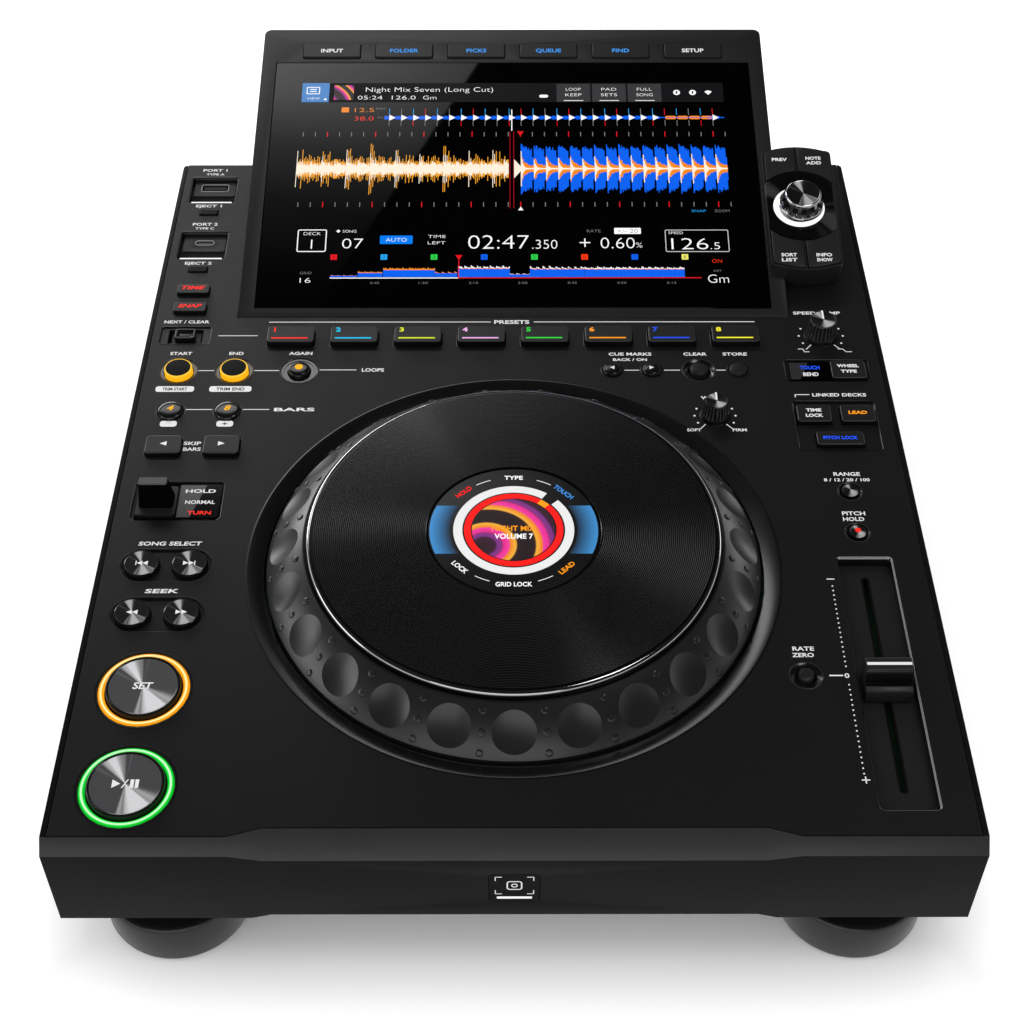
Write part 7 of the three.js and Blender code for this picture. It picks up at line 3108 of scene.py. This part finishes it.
    # Length, and least and greatest height, of each part of the overview wave
    PHRASES = (
        (12.6, 0.7, 1.2), (11.7, 2.6, 3.4), (24.1, 4.8, 5.7), (10.5, 1.4, 3.4), (24.0, 5.2, 6.8),
        (9.3, 1.2, 2.2)
    )
    PHRASES += ((25.3, 4.2, 6.6), (46.3, 4.8, 6.2))

    def overview(self, draft: Draft, ink: dict[str, int]) -> None:
        """Print the cue marks and the overview wave.

        Args:
            draft: The draft to print in.
            ink: Finish numbers by name.
        """
        tones = ("red", "sky", "green", "blue", "green", "scarlet", "blue", "yellow")
        for i, tone in enumerate(tones):
            x = -83.3 + i * 23.33
            draft.mark(Plate(3.1, 3.2, 0.2, x, 34.9, 1), 0, ink[tone])
            self.say(draft, str(i + 1), x, 34.9, 1.9, ink["bar"], 0.0, 1)
        x = -84.3
        for span, low, high in self.PHRASES:
            phrase = Wave(x, x + span, 23.1, 0.42, 2.93, int(x + 100), False)
            edge = ink["orange" if x < -26 else "white"]
            phrase.layer(draft, edge, low, high, 1.2, 0.12)
            phrase.layer(draft, ink["orange"], low * 0.86, high * 0.82, 0.6, 0.05, lift=1)
            phrase.layer(draft, ink["blue"], low * 0.76, high * 0.74, 0.4, 0.04, lift=2)
            x += span
        draft.stroke([(-84.3, 22.6), (-25.1, 22.6)], 0.5, 0, ink["white"])
        draft.stroke([(-25.1, 22.6), (86.8, 22.6)], 0.5, 0, ink["red"])
        draft.stroke([(-25.1, 22.4), (-25.1, 32.6)], 0.45, 3 * PRINT_HEIGHT, ink["red"])
        draft.flat([(-26.7, 36.0), (-23.5, 36.0), (-25.1, 33.0)], 0.0, 2 * PRINT_HEIGHT, ink["red"])
        for x, text in (
            (-63.7, "0:45"), (-41.3, "1:30"), (-18.2, "2:15"), (4.5, "3:00"), (27.3, "3:45"),
            (50.1, "4:30"), (73.1, "5:15")
        ):
            self.say(draft, text, x, 19.8, 1.3, ink["grey"], 4.2)
        self.say(draft, "GRID", -95.8, 25.6, 1.5, ink["grey"], 5.4)
        self.say(draft, "16", -95.8, 21.4, 3.0, ink["white"], 5.0)
        self.say(draft, "ON", 94.8, 32.5, 2.2, ink["scarlet"], 4.6)
        self.say(draft, "KEY", 94.8, 26.7, 1.2, ink["grey"], 3.6)
        self.say(draft, "Gm", 94.8, 22.2, 5.2, ink["white"], 9.6)
        self.say(draft, "SNAP", 88.0, 62.6, 1.6, ink["sky"], 6.8)
        self.say(draft, "ZOOM", 99.0, 62.6, 1.6, ink["grey"], 7.0)

    def menu_keys(self) -> bpy.types.Object:
        """Build the six keys over the screen as one moulding.

        Returns:
            The piece's object.
        """
        draft = Draft()
        labels = (("INPUT", 1), ("FOLDER", 2), ("PICKS", 2), ("QUEUE", 2), ("FIND", 2), ("SETUP", 1))
        for i, (text, ink) in enumerate(labels):
            x = (i - 2.5) * self.menu_pitch
            draft.sweep(Plate(28.5, 9.0, 1.1, x, self.menu_v, 4), rounded_section(-3.4, 0.8, 0.35, 3))
            draft.words(text, x, self.menu_v, 2.5, 0.8, ink, wide=1.15)
        draft.sweep(Plate(5 * self.menu_pitch + 29.5, 10.0, 0.4, 0, self.menu_v, 1), [(0, -3.6), (0, -2.6)])
        finishes = [HOUSING_PLASTIC, WHITE_INK_GLOW, SKY_WORD]
        return draft.piece(
            "menu_keys", "menu_key_bar", finishes, SCREEN, slot="key", replaces=["menu_key_bar"]
        )

    def pod_keys(self) -> list[bpy.types.Object]:
        """Build the four keys round the selector.

        Returns:
            The keys and their words.
        """
        pieces = []
        for node, one, two in (
            ("pod_key_rear_left", "PREV", ""),
            ("pod_key_rear_right", "NOTE", "ADD"),
            ("pod_key_front_left", "SORT", "LIST"),
            ("pod_key_front_right", "INFO", "SHOW"),
        ):
            pieces.append(softened(node + "_cap", node, node, 0.35, POD_PLASTIC))
            low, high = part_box(node)
            spot = SCREEN.inverted() @ ((low + high) / 2)
            letters = Draft()
            v = 88.4 if "rear" in node else 29.8
            letters.words(one, spot.x, v if two else v - 0.8, 1.9, self.key_rise, 0, span=7.2, weight=0.04)
            if two:
                letters.words(two, spot.x, v - 2.9, 1.9, self.key_rise, 0, span=7.2, weight=0.04)
            pieces.append(letters.piece(node + "_word", node, [WHITE_INK_GLOW], SCREEN, slot="key"))
        return pieces

    def selector_ring(self) -> bpy.types.Object:
        """Build the glossy plate, clipped to the pod, and the light ring round the selector.

        Returns:
            The piece's object.
        """
        draft = Draft()
        x, v, z = self.pod_x, self.pod_v, self.pod_rise
        count = 128
        rings = []
        for radius, half, level in (
            (20.7, 15.9, z - 0.3), (20.7, 15.9, z + 0.2), (20.4, 15.6, z + 0.42), (20.0, 15.3, z + 0.46)
        ):
            ring = []
            for i in range(count):
                angle = 2 * math.pi * (i + 0.5) / count
                reach = min(radius, half / max(abs(math.cos(angle)), 1e-6))
                ring.append((x + reach * math.cos(angle), v + reach * math.sin(angle), level))
            rings.append(draft.ring(ring))
        for radius, level in ((12.5, z + 0.2), (12.1, z + 0.05), (12.1, z - 0.3)):
            angles = [2 * math.pi * (i + 0.5) / count for i in range(count)]
            lamp_x, lamp_v = x - 0.8, v - 0.5
            rings.append(
                draft.ring(
                    (lamp_x + radius * math.cos(a), lamp_v + radius * math.sin(a), level) for a in angles
                )
            )
        for low, high in zip(rings, rings[1:] + rings[:1]):
            draft.bridge(low, high)
        lamp = [(12.0, z - 0.3), (12.0, z), (11.6, z + 0.16), (10.6, z + 0.2), (9.2, z + 0.1), (9.2, z - 0.3)]
        draft.turned(lamp, 96, lamp_x, lamp_v, loop=True, ink=1)
        draft.turned(
            [(10.4, z - 0.3), (10.4, z - 0.1), (3.4, z - 0.1), (3.4, z - 0.3)], 64, x, v, loop=True, ink=2
        )
        finishes = [SPUN_PLATE, WHITE_LIGHT, DARK_PLASTIC]
        return draft.piece(
            "selector_light", "chassis", finishes, SCREEN, slot="display", crease=30, axis=(x, v)
        )

    def shaft(self) -> bpy.types.Object:
        """Build the shaft that the selector turns on.

        Returns:
            The piece's object.
        """
        draft = Draft()
        x, v = self.pod_x, self.pod_v
        reach = min((SCREEN.inverted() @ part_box("selector_shaft")[1]).z, 13.2)
        draft.turned(
            [(0, -3.3), (2.7, -3.3), (3, -3.0), (3, reach), (2.7, reach + 0.3), (0, reach + 0.3)], 32, x, v
        )
        return draft.piece(
            "selector_spindle", "selector_shaft", [NICKEL], SCREEN, slot="selector",
            replaces=["selector_shaft"]
        )

    def knob(self) -> bpy.types.Object:
        """Build the chrome selector with dark hollows round it and a spun top.

        Returns:
            The piece's object.
        """
        draft = Draft()
        x, v = self.pod_x, self.pod_v
        bottom, top, hollows = 8.1, 16.4, 14
        sides = hollows * 10
        levels = [
            (bottom, 10.2, 0.0), (bottom + 0.3, 10.5, 0.0), (bottom + 0.9, 10.4, 0.0),
            (bottom + 1.2, 10.1, 0.0)
        ]
        parts = 10
        for step in range(parts + 1):
            share = step / parts
            levels.append((bottom + 1.5 + (top - bottom - 2.2) * share, 9.9 - 1.5 * share, 1.0))
        levels += [(top - 0.35, 8.15, 0.0), (top - 0.1, 7.95, 0.0), (top, 7.6, 0.0)]
        rings = []
        for level, radius, depth in levels:
            share = (level - bottom - 1.5) / (top - bottom - 2.2)
            ring = []
            for i in range(sides):
                angle = 2 * math.pi * i / sides
                reach = self.hollow(i / 10, share) if depth else 0.0
                r = radius - 0.75 * reach
                ring.append((x + r * math.cos(angle), v + r * math.sin(angle), level))
            rings.append(draft.ring(ring))
        first = 4
        for band, (low, high) in enumerate(zip(rings, rings[1:])):
            for i in range(sides):
                j = (i + 1) % sides
                share = (band - first + 0.5) / parts
                dark = first <= band < first + parts and self.hollow((i + 0.5) / 10, share) > 0.12
                draft.face((low[i], low[j], high[j], high[i]), 2 if dark else 0)
        dish = draft.ring(round_ring(7.3, sides, top - 0.15, x, v))
        draft.bridge(rings[-1], dish, 0)
        draft.bridge(dish, draft.ring([(x, v, top - 0.2)]), 1)
        # Underside with the bore for the shaft
        inner = draft.ring(round_ring(3.3, sides, bottom, x, v))
        roof = draft.ring(round_ring(3.3, sides, 13.8, x, v))
        draft.bridge(rings[0], inner)
        draft.bridge(inner, roof)
        draft.bridge(roof, draft.ring([(x, v, 13.8)]))
        finishes = [SELECTOR_CHROME, SPUN_DARK, BUTTON_GLOSS]
        return draft.piece(
            "selector_dial",
            "selector_knob",
            finishes,
            SCREEN,
            slot="selector",
            replaces=["selector_knob"],
            crease=35,
            axis=(x, v),
        )

    @staticmethod
    def hollow(turn: float, share: float) -> float:
        """Return how deep the selector's side is let in, from 0 to 1.

        Args:
            turn: Angle in hollows from the first.
            share: Height from the lower end of the hollows to the upper.

        Returns:
            The depth as a share.
        """
        across = (turn % 1 - 0.5) / 0.3
        along = (share - 0.5) / 0.42
        return max(1 - across * across - along * along, 0.0) ** 0.5


SCREEN_INKS = {
    name: Lit("screen_" + name, colour, 1.0, 0.05, 0.05, 0.5)
    for name, colour in (
        ("bar", "161618"),
        ("tile", "3a7dc0"),
        ("tab", "3a3a3c"),
        ("white", "ffffff"),
        ("pale", "c8c8c8"),
        ("grey", "7c7c80"),
        ("red", "e01a24"),
        ("scarlet", "ff3a14"),
        ("green", "2fd04a"),
        ("blue", "0f62f0"),
        ("button", "0a7cf5"),
        ("sky", "27a5f0"),
        ("orange", "f58a1c"),
        ("amber", "f0a232"),
        ("cream", "fff0dc"),
        ("yellow", "f0ea70"),
        ("maroon", "a01018"),
    )
}
SCREEN_INKS["bar"] = Lit("screen_bar", "141416", 1.0, 0.05, 0.3, 0.1)
SCREEN_INKS["art"] = Artwork("screen_thumbnail", tuple(SCREEN @ Vector((-83.4, 138.5, 0.0))), 0.0045, 20.0)


@dataclass
class Studio:
    """Floor, background, lamps and camera, in metres.

    Attributes:
        lens: Focal length for a 36 mm sensor.
        spot: Place of the camera.
        pitch: Its turn about X in degrees.
        yaw: Its turn about Z in degrees.
    """

    lens: float = 61.992
    spot: Point = (-0.001372, -0.565575, 0.595413)
    pitch: float = 43.725
    yaw: float = -0.085

    def build(self) -> None:
        """Build floor, background, lamps and camera."""
        self.floor()
        self.background()
        self.lamps()
        self.camera()

    def floor(self) -> None:
        """Build the floor: white where it is seen, apart from the object's shadow and a painted shadow
        beneath it, and grey in gloss.
        """
        mesh = bpy.data.meshes.new("floor")
        low = CASE_HIGH.z + GROUND * MM
        size = 6.0
        mesh.from_pydata(
            [(-size, -size, low), (size, -size, low), (size, size, low), (-size, size, low)], [],
            [(0, 1, 2, 3)]
        )
        material = bpy.data.materials.new("studio_floor")
        material.use_nodes = True
        tree = Tree(material.node_tree)
        diffuse = tree.node("ShaderNodeBsdfDiffuse", {"Color": (1, 1, 1, 1)})
        # Painted shadow: the added glow is weaker beneath the object, so the floor there is darker than its
        # cast shadow alone makes it
        place = tree.node("ShaderNodeTexCoord").outputs["Object"]
        parts = tree.node("ShaderNodeSeparateXYZ", {0: place}).outputs
        across = tree.calc("DIVIDE", tree.calc("ABSOLUTE", parts[0]), 0.165)
        along = tree.calc("DIVIDE", tree.calc("ABSOLUTE", parts[1]), 0.225)
        reach = tree.calc("MAXIMUM", across, along)
        span = {"Value": reach, "From Min": 0.98, "From Max": 1.13, "To Min": 0.04, "To Max": 0.36}
        strength = tree.node("ShaderNodeMapRange", span).outputs[0]
        lift = tree.node("ShaderNodeEmission", {"Color": (1, 1, 1, 1), "Strength": strength})
        both = tree.node("ShaderNodeAddShader", {0: diffuse.outputs[0], 1: lift.outputs[0]})
        grey = tree.node("ShaderNodeEmission", {"Color": (1, 1, 1, 1), "Strength": 0.42})
        path = tree.node("ShaderNodeLightPath").outputs
        direct = tree.calc("MAXIMUM", path["Is Camera Ray"], path["Is Transmission Ray"])
        seen = tree.node("ShaderNodeMixShader", {0: direct, 1: diffuse.outputs[0], 2: both.outputs[0]})
        mixed = tree.node(
            "ShaderNodeMixShader", {0: path["Is Glossy Ray"], 1: seen.outputs[0], 2: grey.outputs[0]}
        )
        tree.node("ShaderNodeOutputMaterial", {"Surface": mixed.outputs[0]})
        mesh.materials.append(material)
        ground = bpy.data.objects.new("floor", mesh)
        bpy.context.scene.collection.objects.link(ground)

    @staticmethod
    def background() -> None:
        """Build the world: white to the camera, plain light to dull faces, a white horizon in gloss."""
        world = bpy.data.worlds.new("studio")
        world.use_nodes = True
        bpy.context.scene.world = world
        tree = Tree(world.node_tree)
        place = tree.node("ShaderNodeTexCoord").outputs["Generated"]
        parts = tree.node("ShaderNodeSeparateXYZ", {0: place}).outputs
        ramp = tree.node("ShaderNodeValToRGB", {"Fac": parts[2]})
        stops = ((0.0, 0.9), (0.1, 0.8), (0.22, 0.26), (0.4, 0.05), (0.6, 0.012), (1.0, 0.012))
        elements = ramp.color_ramp.elements
        for i, (spot, tone) in enumerate(stops):
            element = elements[i] if i < 2 else elements.new(spot)
            element.position = spot
            element.color = (tone, tone, tone, 1)
        span = {"Value": parts[0], "From Min": -0.8, "From Max": 0.8, "To Min": 1.2, "To Max": 0.5}
        side = tree.node("ShaderNodeMapRange", span).outputs[0]
        mirrored = tree.node("ShaderNodeBackground", {"Color": ramp.outputs[0], "Strength": side})
        span = {"Value": parts[0], "From Min": -1.0, "From Max": 1.0, "To Min": 0.95, "To Max": 0.72}
        plain = tree.node("ShaderNodeMapRange", span).outputs[0]
        sky = tree.node("ShaderNodeBackground", {"Color": (1, 1, 1, 1), "Strength": plain})
        white = tree.node("ShaderNodeBackground", {"Color": (1, 1, 1, 1), "Strength": 1.0})
        path = tree.node("ShaderNodeLightPath").outputs
        direct = tree.calc("MAXIMUM", path["Is Camera Ray"], path["Is Transmission Ray"])
        low = tree.calc("LESS_THAN", parts[2], 0.06)
        gloss = tree.node("ShaderNodeMixShader", {0: low, 1: mirrored.outputs[0], 2: white.outputs[0]})
        lit = tree.node(
            "ShaderNodeMixShader", {0: path["Is Glossy Ray"], 1: sky.outputs[0], 2: gloss.outputs[0]}
        )
        mixed = tree.node("ShaderNodeMixShader", {0: direct, 1: lit.outputs[0], 2: white.outputs[0]})
        tree.node("ShaderNodeOutputWorld", {"Surface": mixed.outputs[0]})

    def lamp(self, name: str, spot: Point, target: Point, size: Pair, radiance: float) -> bpy.types.Object:
        """Hang one soft rectangular lamp that looks at a point.

        Args:
            name: Name of the lamp.
            spot: Its middle.
            target: Point that it faces.
            size: Its width and height.
            radiance: Brightness of its face.

        Returns:
            The lamp's object.
        """
        light = bpy.data.lights.new(name, "AREA")
        light.shape = "RECTANGLE"
        light.size, light.size_y = size
        light.energy = radiance * math.pi * size[0] * size[1]
        holder = bpy.data.objects.new(name, light)
        holder.location = spot
        aim = Vector(target) - Vector(spot)
        holder.rotation_euler = aim.to_track_quat("-Z", "Y").to_euler()
        holder.visible_camera = False
        bpy.context.scene.collection.objects.link(holder)
        return holder

    def edged_box(
        self, width: float = 0.9, near: float = -0.12, far: float = 1.1, radiance: float = 1.9
    ) -> None:
        """Hang the softbox whose right edge draws the diagonal sheen, fading towards its near end.

        Args:
            width: Its width in metres.
            near: Where it starts along its right edge.
            far: Where it ends along its right edge.
            radiance: Brightness of its full part.
        """
        edge_spot = DECK @ Vector((-113.8, 556.3, 477.9))
        along = Vector((0.323, 0.846, 0.424)).normalized()
        across = Vector((-1.0, 0.0, 0.0))
        across = (across - along * across.dot(along)).normalized()
        holder = self.lamp("softbox_left", (0, 0, 0), (0, 0, -1), (width, far - near), radiance)
        # The lamp shines along its own -Z, so its Z points up and away from the deck
        z_axis = across.cross(along)
        if z_axis.z < 0:
            z_axis = -z_axis
        y_axis = along
        x_axis = y_axis.cross(z_axis)
        centre = edge_spot + across * width / 2 + along * (near + far) / 2
        turn = Matrix((x_axis, y_axis, z_axis)).transposed().to_4x4()
        holder.matrix_world = Matrix.Translation(centre) @ turn
        light = holder.data
        light.use_nodes = True
        tree = Tree(light.node_tree)
        spot = tree.node("ShaderNodeNewGeometry").outputs["Parametric"]
        parts = tree.node("ShaderNodeSeparateXYZ", {0: spot}).outputs
        ramp = tree.node("ShaderNodeValToRGB", {"Fac": parts[1]})
        stops = ((0.0, 0.0), (0.05, 0.02), (0.12, 0.1), (0.18, 0.33), (0.235, 0.85), (0.29, 1.0))
        elements = ramp.color_ramp.elements
        for i, (place, tone) in enumerate(stops):
            element = elements[i] if i < 2 else elements.new(place)
            element.position = place
            element.color = (tone, tone, tone, 1)
        # Dimmer beside its right edge
        span = {"Value": parts[0], "From Min": 0.833, "From Max": 1.0, "To Min": 1.0, "To Max": 0.4}
        edge = tree.node("ShaderNodeMapRange", span).outputs[0]
        glow = tree.node("ShaderNodeEmission", {"Color": ramp.outputs[0], "Strength": edge})
        tree.node("ShaderNodeOutputLight", {"Surface": glow.outputs[0]})

    def lamps(self) -> None:
        """Hang the edged softbox, low strips behind and at the left, one lamp overhead and one in front."""
        self.edged_box()
        self.lamp("strip_back_left", (-0.75, 1.15, 0.30), (0, 0, 0.1), (1.1, 0.35), 3.2)
        self.lamp("strip_back_right", (1.25, 0.95, 0.24), (0, 0, 0.1), (0.5, 0.25), 1.6)
        self.lamp("strip_left", (-1.4, -0.1, 0.35), (0, 0, 0.05), (0.9, 0.5), 1.2)
        self.lamp("overhead", (0.56, -0.08, 1.58), (0, 0, 0.08), (0.42, 0.42), 3.0)
        self.lamp("front", (-0.15, -1.15, 0.5), (0, -0.2, 0.05), (1.2, 0.35), 0.95)

    def camera(self) -> None:
        """Set up the camera at the photograph's place."""
        data = bpy.data.cameras.new("camera")
        data.sensor_width = 36.0
        data.lens = self.lens
        data.clip_start = 0.01
        holder = bpy.data.objects.new("camera", data)
        holder.location = self.spot
        holder.rotation_euler = (math.radians(self.pitch), 0.0, math.radians(self.yaw))
        bpy.context.scene.collection.objects.link(holder)
        bpy.context.scene.camera = holder


def main() -> None:
    """Build the player in order and report each piece."""
    logging.basicConfig(level=logging.INFO, format="%(message)s")
    bpy.context.scene.view_settings.view_transform = "Standard"
    assemblies = [
        Chassis(), SourceSection(), HotCueRow(), LoopSection(), Transport(), RightColumn(), Fader(),
        JogWheel(), Display()
    ]
    for assembly in assemblies:
        for piece in assembly.build():
            log.info("%s: %s, %d faces", assembly.title, piece.name, len(piece.data.polygons))
    Studio().build()


if __name__ == "__main__":
    main()
